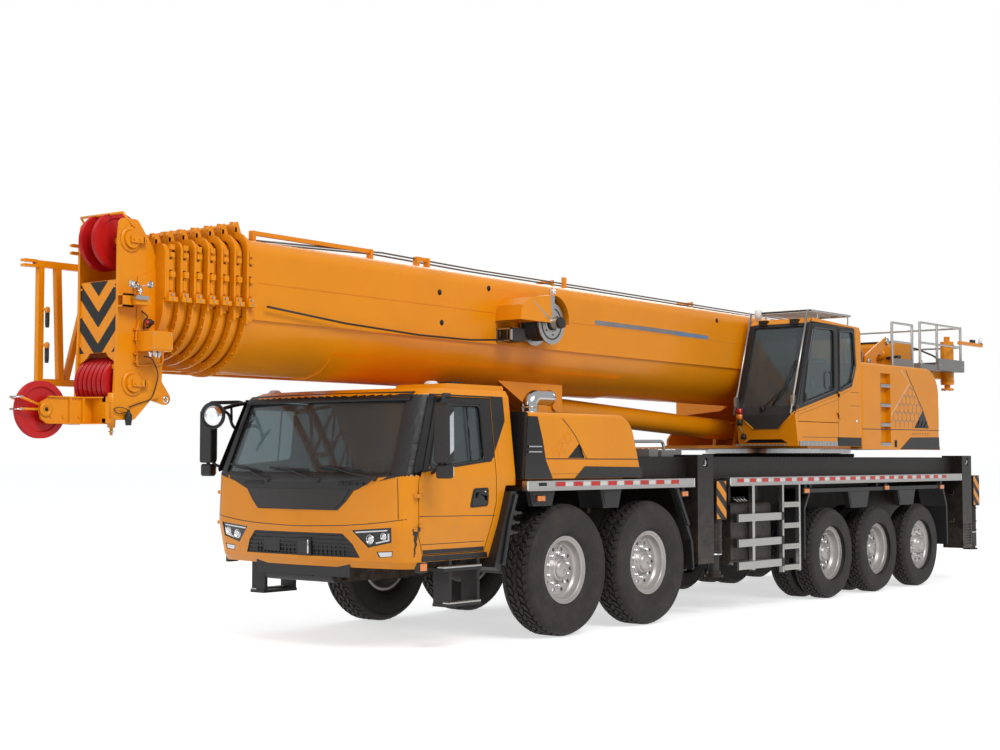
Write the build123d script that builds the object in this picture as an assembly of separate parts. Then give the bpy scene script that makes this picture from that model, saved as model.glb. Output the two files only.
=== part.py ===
"""Five-axle mobile crane with a seven-section telescopic boom, in millimetres.

+X is forward, +Y is left and +Z is up, with Z = 0 on the ground. Places along the machine are given
as stations, which count forward from axle 1. A telescopic boom rests on its luffing cylinder, tilted
slightly up, so its pieces are drawn along the boom and then set in place.
"""

from build123d import *
from math import atan2, cos, degrees, hypot, radians, sin
import os

os.makedirs("parts", exist_ok=True)

# ---------------------------------------------------------------- driving dimensions
FRONT_TIP = 5600  # station of the auxiliary sheave's front
REAR_TIP = -11300  # station of the rear lamp arm's end
AXLE_1_X = -(FRONT_TIP + REAR_TIP) / 2  # centres the whole machine on the origin
HALF_WIDTH = 1500
SEAT_GAP = 0.3  # between pieces of one body that rest on each other
RUN_GAP = 0.08  # round a pin or spindle in its bore
MOVE_GAP = 8  # between a moving piece and what it passes

AXLE_STATION = {1: 0, 2: -1525, 3: -5775, 4: -7125, 5: -8475}
FRONT_AXLES = (1, 2)
STEERED_AXLES = (1, 2, 5)

# Tyres: outer radius, width, seat radius on the rim, and middle plane of the outer tyre.
FRONT_TYRE = {"radius": 680, "width": 385, "seat": 318, "middle": 1275}
REAR_TYRE = {"radius": 590, "width": 300, "seat": 318, "middle": 1295}
TWIN_SPACING = 350
SPINDLE_RADIUS = 60
KINGPIN_Y = 1000
KINGPIN_RADIUS = 38

DECK_TOP = 1845
STRIP_TOP = 1600
STRIP_HEIGHT = 100
FRAME_HALF = 430
FRAME_BOTTOM = 900
FRAME_TOP = 1240
FRAME_WALL = 20
DECK_SKIN = 12
TOW_EYE_STATION = -10710
TOW_EYE_Z = 630
TOW_EYE_THICK = 50
TOW_EYE_BORE = 21

SLEW_STATION = -6900
SLEW_RADIUS = 1050
SLEW_PLANE = 1900  # between the fixed and the turning ring
SLEW_RING_HEIGHT = 60  # of the turning ring
TURNTABLE_BASE = SLEW_PLANE + SLEW_RING_HEIGHT
TURNTABLE_PLATE = 40

BOOM_FOOT_STATION = -8400
BOOM_FOOT_Z = 3050
BOOM_TILT = 0.5
BOOM_TOP = 660  # above the boom's axis
BOOM_BELLY = -535
BOOM_HALF = 550
BOOM_WALL = 8
BOOM_NEST = 30  # each section is this much smaller all round than the one outside it
BOOM_SHOULDER = 150
BOOM_SKIRT = -80  # lower edge of the upper shell
BOOM_LIP = 25
SECTION_COUNT = 6  # telescoping sections inside the base section
BASE_FRONT = 12040
COLLAR_PITCH = 126
COLLAR_THICKNESS = 86
COLLAR_FLANGE = 24

LUFF_BASE = (-5600, 2200)  # station and height of the luffing cylinder's foot pin
LUFF_EYE = (-1230, 2425)  # and of its rod's eye, on the boom
LUFF_BARREL_RADIUS = 135
LUFF_ROD_RADIUS = 95

CAB_REAR = 780
CAB_FRONT = 2470
CAB_HALF = 1380
CAB_WALL = 55
CAB_FLOOR = 860
CAB_BELT = 1654
CAB_ROOF = 2500
CAB_ROOF_RAISED = 2550
ARCH_TOP = (930, 1560)  # the cab's slanted back edge over the wheel
ARCH_LOW = (1180, 830)

OPCAB_FRONT = -4690
OPCAB_REAR = -6520
OPCAB_INNER_Y = 640
OPCAB_OUTER_Y = 1500
OPCAB_SEAT = 25  # plate under the operator's cab
OPCAB_BASE = TURNTABLE_BASE + OPCAB_SEAT
OPCAB_ROOF = 3640
OPCAB_WALL = 45

# Outriggers: for each side of each end, the station of the beam that slides out on that side.
OUTRIGGER = {
    "front_left": {"beam": -2925, "side": 1},
    "front_right": {"beam": -2575, "side": -1},
    "rear_left": {"beam": -10330, "side": 1},
    "rear_right": {"beam": -9980, "side": -1},
}
BEAM_WIDTH = 230
BEAM_TOP = 1550
BEAM_BOTTOM = 1130
JACK_RADIUS = 95
JACK_ROD_RADIUS = 62
JACK_Y = 1385
JACK_FOOT_Z = 440
FLOAT_RADIUS = 110


# ---------------------------------------------------------------- drawing helpers
def at(station):
    """X of a station."""
    return AXLE_1_X + station


def block(s0, s1, y0, y1, z0, z1):
    """Box between two stations, two widths and two heights."""
    size = Box(abs(s1 - s0), abs(y1 - y0), abs(z1 - z0))
    return Pos(at((s0 + s1) / 2), (y0 + y1) / 2, (z0 + z1) / 2) * size


def outline(points, radius=0):
    """Face inside a closed outline, with its corners rounded by radius."""
    if radius:
        return make_face(FilletPolyline(*points, radius=radius, close=True))
    return make_face(Polyline(*points, close=True))


def side_shape(points, y0, y1, radius=0):
    """Outline of (station, height) points, thick from y0 to y1."""
    placed = [(at(s), z) for s, z in points]
    return Pos(0, y0, 0) * extrude(Plane.XZ * outline(placed, radius), amount=-(y1 - y0))


def front_shape(points, s0, s1, radius=0):
    """Outline of (y, height) points, thick from station s0 to s1."""
    return Pos(at(s0), 0, 0) * extrude(Plane.YZ * outline(points, radius), amount=s1 - s0)


def plan_shape(points, z0, z1, radius=0):
    """Outline of (station, y) points, thick from z0 to z1."""
    placed = [(at(s), y) for s, y in points]
    return Pos(0, 0, z0) * extrude(Plane.XY * outline(placed, radius), amount=z1 - z0)


def hood(points, y0, y1, rounded, edge):
    """Cover drawn in side view, its listed corners rounded in profile and its outer edge softened."""
    face = outline([(at(s), z) for s, z in points]).face()
    for s, z, radius in rounded:
        corner = min(face.vertices(), key=lambda v: hypot(v.X - at(s), v.Y - z))
        face = face.fillet_2d(radius, [corner])
    solid = Pos(0, y0, 0) * extrude(Plane.XZ * face, amount=-(y1 - y0))
    outer = [e for e in solid.edges() if abs(e.center().Y - y1) < 1 and e.center().Z > points[0][1] + 1]
    return fillet(outer, edge) if edge else solid


def bar(start, end, radius):
    """Round bar between two (station, y, z) points."""
    p = Vector(at(start[0]), start[1], start[2])
    q = Vector(at(end[0]), end[1], end[2])
    return extrude(Plane(origin=p, z_dir=q - p) * Circle(radius), amount=(q - p).length)


def square_bar(start, end, width):
    """Square bar between two (station, y, z) points."""
    p = Vector(at(start[0]), start[1], start[2])
    q = Vector(at(end[0]), end[1], end[2])
    return extrude(Plane(origin=p, z_dir=q - p) * Rectangle(width, width), amount=(q - p).length)


def bent_tube(points, radius, bend):
    """Round tube along (station, y, z) points with bent corners."""
    path = FilletPolyline(*[(at(s), y, z) for s, y, z in points], radius=bend)
    start = Plane(origin=path @ 0, z_dir=path % 0)
    return sweep(start * Circle(radius), path=path)


def drum(station, y0, y1, z, radius):
    """Cylinder across the machine."""
    turn = Rot(90, 0, 0) * Cylinder(radius, abs(y1 - y0))
    return Pos(at(station), (y0 + y1) / 2, z) * turn


def post(station, y, z0, z1, radius):
    """Upright cylinder."""
    return Pos(at(station), y, (z0 + z1) / 2) * Cylinder(radius, z1 - z0)


def both_sides(shape):
    """A left-hand shape together with its mirror image."""
    return Part() + [shape, mirror(shape, about=Plane.XZ)]


def fuse(shapes):
    """One part out of many shapes."""
    first, *rest = shapes
    return first + rest if rest else first


def save(shape, name):
    """Write one piece; solids that don't touch stay apart in it."""
    solids = shape.solids()
    whole = solids[0] if len(solids) == 1 else Compound(children=list(solids))
    export_step(whole, f"parts/{name}.step")


# ---------------------------------------------------------------- chassis
DECK_HALF = 1340
DECK_FRONT = -1400
RIB_STATIONS = (-3500, -4150, -4700, -5900, -7900, -9100)
SHELF_HALF = 1440
SHELF_TOP = 1540
DECK_REAR = -10150
SIDE_BODY_BOTTOM = 1480
TOWER_BOTTOM = {"front": 615, "rear": 480}
TOWER_TOP = 1870
TOWER_HALF = 170
BAY_WALL = 22
BAY_END = 1180
BUMPER_BACK = 2340  # back face of the beam behind the bumper's edge
BUMPER_TUBE = 70  # radius of the tank under the bumper
NOSE_FRONT = 2150
NOSE_REAR = 700
NOSE_BOTTOM = 640


def outrigger_room():
    """Space in the chassis for the cross boxes, the fixed towers and the beams' ends."""
    half = BEAM_WIDTH / 2 + MOVE_GAP
    room = []
    for end, low in TOWER_BOTTOM.items():
        left = OUTRIGGER[end + "_left"]["beam"]
        right = OUTRIGGER[end + "_right"]["beam"]
        wall = BAY_WALL + SEAT_GAP
        room.append(block(left - half - wall, right + half + wall, -BAY_END - SEAT_GAP, BAY_END + SEAT_GAP,
                          BEAM_BOTTOM - MOVE_GAP - wall, BEAM_TOP + MOVE_GAP + wall))
        for middle, side in ((right, 1), (left, -1)):
            room.append(block(middle - TOWER_HALF - SEAT_GAP, middle + TOWER_HALF + SEAT_GAP,
                              side * (BAY_END - 10), side * 1600, low, DECK_TOP + 10))
        for middle, side in ((left, 1), (right, -1)):
            room.append(block(middle - half, middle + half, side * (BAY_END - 10), side * 1600,
                              600, BEAM_TOP + 30))
    return room


def frame_side(inset):
    """Side outline of the box frame, smaller all round by inset."""
    low, top, rear_top = FRAME_BOTTOM + inset, FRAME_TOP - inset, SIDE_BODY_BOTTOM - inset
    return [(NOSE_REAR, NOSE_BOTTOM + inset), (NOSE_REAR, top), (-2300 + inset, top),
            (-2900 + inset, rear_top), (-10100, rear_top), (-10100, low), (400, low), (680, NOSE_BOTTOM + inset)]


def frame_nose():
    """Low front end of the frame under the cab, with the cab's mounts and the towing beam."""
    half, wall, front, top = FRAME_HALF, FRAME_WALL, NOSE_FRONT, CAB_FLOOR - 20
    rear = NOSE_REAR + SEAT_GAP
    nose = block(front, rear, -half, half, NOSE_BOTTOM, top)
    nose -= block(front - wall, rear + wall, -half + wall, half - wall, NOSE_BOTTOM + wall, top - wall)
    mounts = [block(s, s - 120, -half, half, top - 1, CAB_FLOOR - SEAT_GAP) for s in (2000, 1300)]
    tow_end = BUMPER_BACK - 2 * BUMPER_TUBE - MOVE_GAP
    tow = block(front - 10, tow_end, -360, 360, NOSE_BOTTOM + 5, 760)
    return fuse([nose, tow] + mounts)


def chassis_frame():
    """Box frame, stepped up over the rear axles, with the tail and its tow eye."""
    half, wall = FRAME_HALF, FRAME_WALL
    rails = side_shape(frame_side(0), -half, half) - side_shape(frame_side(wall), -half + wall, half - wall)
    bulkheads = [block(s, s - wall, -half + 1, half - 1, low, high)
                 for s, low, high in ((NOSE_REAR, NOSE_BOTTOM + 1, FRAME_TOP - 1), (-10100 + wall, FRAME_BOTTOM, 1480),
                                      (-5300, FRAME_BOTTOM + 1, 1479), (-8200, FRAME_BOTTOM + 1, 1479))]
    frame = fuse([rails] + bulkheads)
    for room in outrigger_room():
        frame -= room
    tail = fuse([
        block(-10090, -10640, -380, 380, 900, 1060),
        block(-10560, -10640, -1340, 1340, 560, 700),
        both_sides(block(-10600, -10690, 930, 1340, 470, 700)),
        block(-10500, -10640, -420, 420, 560, 950),
        block(-10630, -10760, -60, 60, TOW_EYE_Z - TOW_EYE_THICK / 2, TOW_EYE_Z + TOW_EYE_THICK / 2),
    ])
    tail -= post(TOW_EYE_STATION, 0, 0, TOW_EYE_Z + 50, TOW_EYE_BORE)
    return fuse([frame, tail])


def deck():
    """Deck over the frame with its ribs, the slewing ring's base and the shelf behind the cab."""
    half, wall = FRAME_HALF, FRAME_WALL
    top, skin = DECK_TOP, DECK_SKIN
    deck = block(DECK_FRONT, DECK_REAR, -DECK_HALF, DECK_HALF, SIDE_BODY_BOTTOM + 20, top)
    inner = DECK_HALF - skin
    deck -= block(DECK_FRONT - skin, DECK_REAR + skin, -inner, inner, SIDE_BODY_BOTTOM, top - skin)
    ribs = [block(s, s - 12, -DECK_HALF + 5, DECK_HALF - 5, SIDE_BODY_BOTTOM + 20, top - 5)
            for s in RIB_STATIONS]
    saddle = [block(s, s - 40, -half, half, SIDE_BODY_BOTTOM + SEAT_GAP, SIDE_BODY_BOTTOM + 90)
              for s in (-3600, -5200, -6900, -8600, -10050)]
    hood_floor = block(-1000, DECK_FRONT - 5, -half, half, FRAME_TOP + SEAT_GAP, 1700)
    hood_floor -= block(-1000 - wall, DECK_FRONT - 10, -half + wall, half - wall, FRAME_TOP, 1700 - wall)
    body = [deck, hood_floor] + ribs + saddle
    ring_base = post(SLEW_STATION, 0, top - 5, SLEW_PLANE - 6, SLEW_RADIUS)
    ring_base += post(SLEW_STATION, 0, SIDE_BODY_BOTTOM + SEAT_GAP, top, SLEW_RADIUS - 60)
    ring_base += post(SLEW_STATION, 0, SLEW_PLANE - 20, SLEW_PLANE + 28, RACE_RADIUS)
    ring_base -= post(SLEW_STATION, 0, SIDE_BODY_BOTTOM - 5, SLEW_PLANE + 40, RACE_RADIUS - 60)
    upper = fuse(body)
    for room in outrigger_room():
        upper -= room
    shelf = block(740, DECK_FRONT - 20, -SHELF_HALF, SHELF_HALF, 1500, SHELF_TOP)
    beams = [block(700, 640, -1140, 1140, FRAME_TOP + SEAT_GAP, 1505)]
    beams.append(both_sides(block(-760, -820, half - 110, 1140, FRAME_TOP + SEAT_GAP, 1505)))
    return fuse([upper, ring_base, shelf] + beams)


def housing(end):
    """One end's pair of bays with the fixed tower beyond each bay's closed side."""
    left = OUTRIGGER[end + "_left"]["beam"]
    right = OUTRIGGER[end + "_right"]["beam"]
    half = BEAM_WIDTH / 2 + MOVE_GAP
    low, high = BEAM_BOTTOM - MOVE_GAP, BEAM_TOP + MOVE_GAP
    body = block(left - half - BAY_WALL, right + half + BAY_WALL, -BAY_END, BAY_END,
                 low - BAY_WALL, high + BAY_WALL)
    for middle in (left, right):
        body -= block(middle - half, middle + half, -BAY_END - 10, BAY_END + 10, low, high)
    towers = [block(middle - TOWER_HALF, middle + TOWER_HALF, side * BAY_END, side * HALF_WIDTH,
                    TOWER_BOTTOM[end], TOWER_TOP) for middle, side in ((right, 1), (left, -1))]
    for index, (middle, side) in enumerate(((right, 1), (left, -1))):
        face = sorted((side * (HALF_WIDTH - 14), side * (HALF_WIDTH + 5)))
        towers[index] -= block(middle - 45, middle + 45, *face, TOWER_TOP - 145, TOWER_TOP - 35)
        seam = sorted((side * (HALF_WIDTH - 4), side * (HALF_WIDTH + 5)))
        for z in (TOWER_TOP - 265, TOWER_BOTTOM[end] + 420):
            towers[index] -= block(middle - TOWER_HALF - 5, middle + TOWER_HALF + 5, *seam, z, z + 6)
        if end == "rear":
            for z in range(TOWER_BOTTOM[end] + 60, TOWER_BOTTOM[end] + 380, 40):
                towers[index] -= block(middle - 120, middle + 120, *face, z, z + 20)
    # Wear pads that the beams slide on.
    for middle in (left, right):
        for y in (-BAY_END + 100, BAY_END):
            towers.append(block(middle - 70, middle + 70, y - 100, y, low - 1, BEAM_BOTTOM - SEAT_GAP))
    return fuse([body] + towers)


def outrigger_beam(name):
    """Sliding beam with its striped end plate and the outer tube of its jack."""
    place = OUTRIGGER[name]
    middle, side = place["beam"], place["side"]
    half = BEAM_WIDTH / 2
    wall = 16
    inner = -side * 1100
    beam = block(middle - half, middle + half, inner, side * 1290, BEAM_BOTTOM, BEAM_TOP)
    beam -= block(middle - half + wall, middle + half - wall, inner - side * 10, side * 1270,
                  BEAM_BOTTOM + wall, BEAM_TOP - wall)
    jack_tube = post(middle, side * JACK_Y, 700, BEAM_TOP + 20, JACK_RADIUS)
    webs = block(middle - 40, middle + 40, side * 1280, side * JACK_Y, BEAM_BOTTOM + 20, BEAM_TOP - 20)
    plate = block(middle - half, middle + half, side * (HALF_WIDTH - 22), side * (HALF_WIDTH - 4),
                  BEAM_BOTTOM - 20, BEAM_TOP + 20)
    stay = block(middle - 30, middle + 30, side * JACK_Y, side * (HALF_WIDTH - 20), BEAM_BOTTOM, BEAM_TOP)
    body = fuse([beam, jack_tube, webs, plate, stay])
    bore = post(middle, side * JACK_Y, 600, BEAM_TOP - 30, JACK_ROD_RADIUS + RUN_GAP)
    return body - bore


def outrigger_jack(name):
    """Jack rod with its round float."""
    place = OUTRIGGER[name]
    y = place["side"] * JACK_Y
    middle = place["beam"]
    rod = post(middle, y, JACK_FOOT_Z + 30, BEAM_TOP - 40, JACK_ROD_RADIUS)
    flange = post(middle, y, JACK_FOOT_Z + 20, JACK_FOOT_Z + 70, 80)
    pad = post(middle, y, JACK_FOOT_Z, JACK_FOOT_Z + 24, FLOAT_RADIUS)
    return fuse([rod, flange, pad])


def axle_housings():
    """Axle beams with their differential bowls, springs and steering dampers."""
    shapes = []
    for number, station in AXLE_STATION.items():
        tyre = FRONT_TYRE if number in FRONT_AXLES else REAR_TYRE
        z = tyre["radius"]
        if number in STEERED_AXLES:
            tip = KINGPIN_Y - 70
        else:
            tip = REAR_TYRE["middle"] - TWIN_SPACING - 150 - MOVE_GAP
        beam = drum(station, -tip, tip, z, 75)
        bowl = Pos(at(station), 0, z) * Sphere(190)
        shapes += [beam, bowl]
        for side in (-1, 1):
            shapes.append(block(station - 60, station + 60, side * (FRAME_HALF + SEAT_GAP), side * 540,
                                z, FRAME_BOTTOM + 180))
            # The fixed jaws round the kingpin, or the spindle of a twin wheel.
            if number in STEERED_AXLES:
                for low, high in ((-190, -110), (110, 190)):
                    jaw = post(station, side * KINGPIN_Y, z + low, z + high, 62)
                    arm = block(station - 45, station + 45, side * (tip - 60), side * KINGPIN_Y,
                                z + low, z + high)
                    shapes.append(jaw + arm - post(station, side * KINGPIN_Y, z + low - 5, z + high + 5,
                                                   KINGPIN_RADIUS + RUN_GAP))
                shapes.append(block(station - 45, station + 45, side * (tip - 110), side * (tip - 20),
                                    z - 190, z + 190))
            else:
                shapes.append(drum(station, side * tip, side * 1300, z, SPINDLE_RADIUS))
    return fuse(shapes)


def knuckle(number, side):
    """Steering knuckle: kingpin, block and the wheel's spindle."""
    station = AXLE_STATION[number]
    tyre = FRONT_TYRE if number in FRONT_AXLES else REAR_TYRE
    z = tyre["radius"]
    pin = post(station, side * KINGPIN_Y, z - 195, z + 195, KINGPIN_RADIUS)
    body = post(station, side * KINGPIN_Y, z - 104, z + 104, 58)
    spindle = drum(station, side * KINGPIN_Y, side * (tyre["middle"] + 40), z, SPINDLE_RADIUS)
    return fuse([pin, body, spindle])


# ---------------------------------------------------------------- wheels
def ring(points, station, z):
    """Revolve (y, radius) points about a wheel's axle."""
    face = make_face(Polyline(*[(radius, y) for y, radius in points], close=True))
    turned = revolve(Plane.XY * face, axis=Axis.Y)
    return Pos(at(station), 0, z) * turned


def tyre_ring(tyre, middle, station):
    """Tyre with its shoulders, side walls and bead."""
    radius, half, seat = tyre["radius"], tyre["width"] / 2, tyre["seat"]
    points = [
        (middle - half + 45, radius - 4), (middle, radius), (middle + half - 45, radius - 4),
        (middle + half - 12, radius - 30), (middle + half, radius - 150),
        (middle + half - 18, seat + 90), (middle + half - 60, seat + 38), (middle + half - 62, seat),
        (middle - half + 62, seat), (middle - half + 60, seat + 38), (middle - half + 18, seat + 90),
        (middle - half, radius - 150), (middle - half + 12, radius - 30),
    ]
    return ring(points, station, radius)


HAND_HOLES = {"count": 10, "radius": 20, "ring": 215}


def rim_ring(tyre, middle, station, disc_y, hub_radius=165, capped=True):
    """Rim barrel with flanges, its disc at disc_y from the middle plane, and the hub with its domed cap."""
    half = tyre["width"] / 2 - 56
    seat = tyre["seat"] - SEAT_GAP
    flange = seat + 34
    bore = SPINDLE_RADIUS + RUN_GAP
    face = middle + disc_y + 52
    cap = [(face, 95), (face + 26, 86), (face + 42, 64), (face + 50, 34), (face + 52, 0), (face, 0)]
    points = [
        (middle + half, flange), (middle + half, seat - 20), (middle + half - 40, seat - 34),
        (middle + disc_y + 16, seat - 60), (middle + disc_y + 16, hub_radius),
        (face, hub_radius - 30), *(cap if capped else []), (face, bore),
        (middle + disc_y - 60, bore), (middle + disc_y - 60, hub_radius - 20),
        (middle + disc_y, hub_radius), (middle + disc_y, seat - 60), (middle - half + 30, seat - 24),
        (middle - half, seat - 20), (middle - half, flange), (middle - half + 8, flange),
        (middle - half + 8, seat), (middle + half - 8, seat), (middle + half - 8, flange),
    ]
    rim = ring(points, station, tyre["radius"])
    if capped:
        for index in range(HAND_HOLES["count"]):
            turn = radians(360 * (index + 0.5) / HAND_HOLES["count"])
            rim -= drum(station + HAND_HOLES["ring"] * sin(turn), middle + disc_y - 5, middle + disc_y + 21,
                        tyre["radius"] + HAND_HOLES["ring"] * cos(turn), HAND_HOLES["radius"])
    return rim


def wheel(number, side):
    """Tyre on its rim, twinned on axles 3 and 4, with the spindle's cap."""
    station = AXLE_STATION[number]
    tyre = FRONT_TYRE if number in FRONT_AXLES else REAR_TYRE
    middle = tyre["middle"]
    pieces = [tyre_ring(tyre, middle, station)]
    if number in FRONT_AXLES:
        rim = rim_ring(tyre, middle, station, 20)
    elif number == 5:
        rim = rim_ring(tyre, middle, station, 60)
    else:
        rim = rim_ring(tyre, middle, station, -40)
        inner = middle - TWIN_SPACING
        pieces.append(tyre_ring(tyre, inner, station))
        rim += rim_ring(tyre, inner, station, 60, capped=False)
        rim += ring([(inner + 70, 120), (inner + 70, 165), (middle - 40, 165), (middle - 40, 120)],
                    station, tyre["radius"])
    pieces.append(rim)
    shape = Part() + pieces
    if side < 0:
        shape = mirror(shape, about=Plane.XZ)
    return shape


# ---------------------------------------------------------------- carrier cab
def cab_plan(inset, z, front, half):
    """Cab's plan outline at one height: bowed front, round corners, flat back."""
    rear = CAB_REAR + inset
    front -= inset
    half -= inset
    bow = 110
    corner_x, corner_y = 330, 190
    points = Plane.XY.offset(z)
    with BuildSketch(points) as sketch:
        with BuildLine():
            a = (at(rear), -half)
            b = (at(front - corner_x), -half)
            c = (at(front - bow), -half + corner_y)
            d = (at(front - bow), half - corner_y)
            e = (at(front - corner_x), half)
            f = (at(rear), half)
            Line(f, a)
            Line(a, b)
            mid = (at(front - bow - 85), -half + 52)
            ThreePointArc(b, mid, c)
            ThreePointArc(c, (at(front), 0), d)
            ThreePointArc(d, (mid[0], -mid[1]), e)
            Line(e, f)
        make_face()
    return sketch.sketch.face()


# Cab's sections: height, front station and half width.
CAB_SECTIONS = [
    (CAB_FLOOR, 2420, 1350),
    (1180, 2470, CAB_HALF),
    (CAB_BELT, 2450, CAB_HALF),
    (2440, 2150, 1290),
    (CAB_ROOF, 2000, 1250),
]


def cab_body(inset):
    """Solid cab, smaller all round by inset."""
    shells = []
    last = len(CAB_SECTIONS) - 1
    for index in range(last):
        faces = []
        for step in (index, index + 1):
            z, front, half = CAB_SECTIONS[step]
            if step == 0:
                z += inset
            if step == last:
                z -= inset
            faces.append(cab_plan(inset, z, front, half))
        shells.append(loft(faces, ruled=True))
    top = ARCH_TOP[1] + inset
    arch = [(CAB_REAR - 300, top), (arch_station(top) + inset, top), (arch_station(600) + inset, 600),
            (CAB_REAR - 300, 600)]
    return fuse(shells) - side_shape(arch, -1500, 1500)


def arch_station(z):
    """Station of the cab's slanted lower back edge at a height."""
    (s0, z0), (s1, z1) = ARCH_TOP, ARCH_LOW
    return s0 + (z - z0) * (s1 - s0) / (z1 - z0)


HINGE_PIN = 8
# Door hinges: station and y of the upright axis, and the heights of its two lugs.
CARRIER_HINGE = {"station": 2196, "y": 1390, "lugs": (1150, 1460)}
OPCAB_HINGE = {"station": -5866, "y": 1514, "lugs": (2360, 2640)}
LUG_HEIGHT = 36


def hinge_pins(hinge):
    """Door's half of its hinges: an arm over each lug, with a pin down through it."""
    s, y = hinge["station"], hinge["y"]
    inward = -1 if s > 0 else 1
    arms = []
    for z in hinge["lugs"]:
        top = z + LUG_HEIGHT + 6
        arm = post(s, y, top, top + 22, 12) + block(s, s + inward * 40, y - 9, y + 9, top, top + 22)
        root = block(s + inward * 14, s + inward * 40, y - 34, y + 9, top, top + 22)
        arms.append(fuse([arm, root, post(s, y, z + 4, top + 5, HINGE_PIN)]))
    return arms


def hinge_lugs(hinge):
    """Cab's half of its hinges: a lug with a bore for each pin."""
    s, y = hinge["station"], hinge["y"]
    outward = 1 if s > 0 else -1
    lugs = []
    for z in hinge["lugs"]:
        lug = post(s, y, z, z + LUG_HEIGHT, 12) + block(s, s + outward * 46, y - 6, y + 9, z, z + LUG_HEIGHT)
        lug += block(s + outward * 14, s + outward * 46, y - 38, y + 9, z, z + LUG_HEIGHT)
        lugs.append(lug - post(s, y, z - 1, z + LUG_HEIGHT + 1, HINGE_PIN + RUN_GAP))
    return lugs


def hinge_notches(hinge):
    """Room in a door's edge for the cab's lugs."""
    s, y = hinge["station"], hinge["y"]
    return [post(s, y, z - MOVE_GAP, z + LUG_HEIGHT + MOVE_GAP, 20) for z in hinge["lugs"]]


WINDSCREEN = [(-1150, 1655), (-180, 1605), (660, 1605), (1150, 1660), (1085, 2425), (-1085, 2425)]
DOOR = [(1244, 930), (2120, 930), (2190, 1120), (2190, 1600), (1880, 2410), (1080, 2410), (1080, 1400)]
DOOR_WINDOW = [(1240, 1810), (2060, 1735), (1850, 2350), (1240, 2350)]
QUARTER_WINDOW = [(860, 1950), (1010, 1800), (1010, 2330), (860, 2330)]


def cab_side_prism(points, side, grow=0, radius=0):
    """Prism through one side wall over an outline of (station, height) points."""
    face = outline([(at(s), z) for s, z in points], radius)
    if grow:
        face = offset(face, amount=grow, kind=Kind.INTERSECTION)
    prism = extrude(Plane.XZ * face, amount=-400)
    return Pos(0, 1100 if side > 0 else -1500, 0) * prism


def windscreen_prism():
    """Prism through the front wall over the windscreen."""
    return front_shape(WINDSCREEN, 1500, 2700, radius=60)


def cab_shell():
    """Hollow cab body before its openings."""
    return cab_body(0) - cab_body(CAB_WALL)


# Recesses in the cab's lower front, as (y, height) outlines.
GRILLE = [(-610, 1117), (610, 1117), (720, 1020), (790, 892), (-790, 892), (-720, 1020)]
HEADLAMP = [(730, 1150), (1180, 1185), (1165, 1045), (900, 990)]
FOG_LAMP = [(985, 955), (1165, 965), (1155, 912), (1010, 900)]
RECESS = 24
GRILLE_SLATS = (925, 965, 1005, 1045, 1085)


def front_fitting(points, depth, grow=0):
    """Prism over an outline in the cab's lower front."""
    face = outline(points)
    if grow:
        face = offset(face, amount=grow, kind=Kind.INTERSECTION)
    return Pos(at(2100), 0, 0) * extrude(Plane.YZ * face, amount=depth)


def front_recesses(grow=0):
    """Prisms over the grille, the headlamps and the fog lamps."""
    prisms = [front_fitting(GRILLE, 500, grow)]
    for points in (HEADLAMP, FOG_LAMP):
        prisms.append(both_sides(front_fitting(points, 500, grow)))
    return prisms


def carrier_cab(shell):
    """Cab body with its window and door openings, front recesses and raised left roof."""
    body = shell - windscreen_prism()
    skin = cab_body(-5) - cab_body(RECESS)
    for prism in front_recesses():
        body -= skin & prism
    for side in (-1, 1):
        body -= cab_side_prism(DOOR, side, grow=MOVE_GAP)
        body -= cab_side_prism(QUARTER_WINDOW, side, radius=30)
    raised = side_shape(
        [(CAB_REAR + 10, CAB_ROOF - 30), (1750, CAB_ROOF - 30), (1700, CAB_ROOF_RAISED - 12),
         (1640, CAB_ROOF_RAISED), (CAB_REAR + 30, CAB_ROOF_RAISED), (CAB_REAR + 10, CAB_ROOF_RAISED - 20)],
        620, 1230)
    lugs = [both_sides(lug) for lug in hinge_lugs(CARRIER_HINGE)]
    return fuse([body, raised] + lugs)


def carrier_cab_glass():
    """Windscreen and quarter windows, 10 thick, inside the wall."""
    pane = cab_body(18) - cab_body(30)
    panes = [pane & windscreen_prism()]
    panes += [pane & cab_side_prism(QUARTER_WINDOW, side, radius=30) for side in (-1, 1)]
    return Part() + panes


def carrier_cab_interior():
    """Two seats, the dashboard and the steering wheel."""
    floor = CAB_FLOOR + CAB_WALL
    dash = block(2020, 2240, -1050, 1050, floor + 420, floor + 740)
    shapes = [dash + block(2150, 2240, -1050, 1050, floor + SEAT_GAP, floor + 430)]
    for y in (-720, 720):
        seat = block(1300, 1700, y - 240, y + 240, floor + SEAT_GAP, floor + 480)
        back = side_shape([(1140, floor + 400), (1340, floor + 400), (1210, floor + 1150),
                           (1080, floor + 1150)], y - 230, y + 230)
        shapes.append(seat + back)
    shapes.append(bar((2080, 720, floor + 600), (1900, 720, floor + 730), 30))
    wheel_plane = Plane(origin=(at(1900), 720, floor + 730), z_dir=(-0.81, 0, 0.585))
    shapes.append(extrude(wheel_plane * Circle(225), amount=25))
    return Part() + shapes


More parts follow.
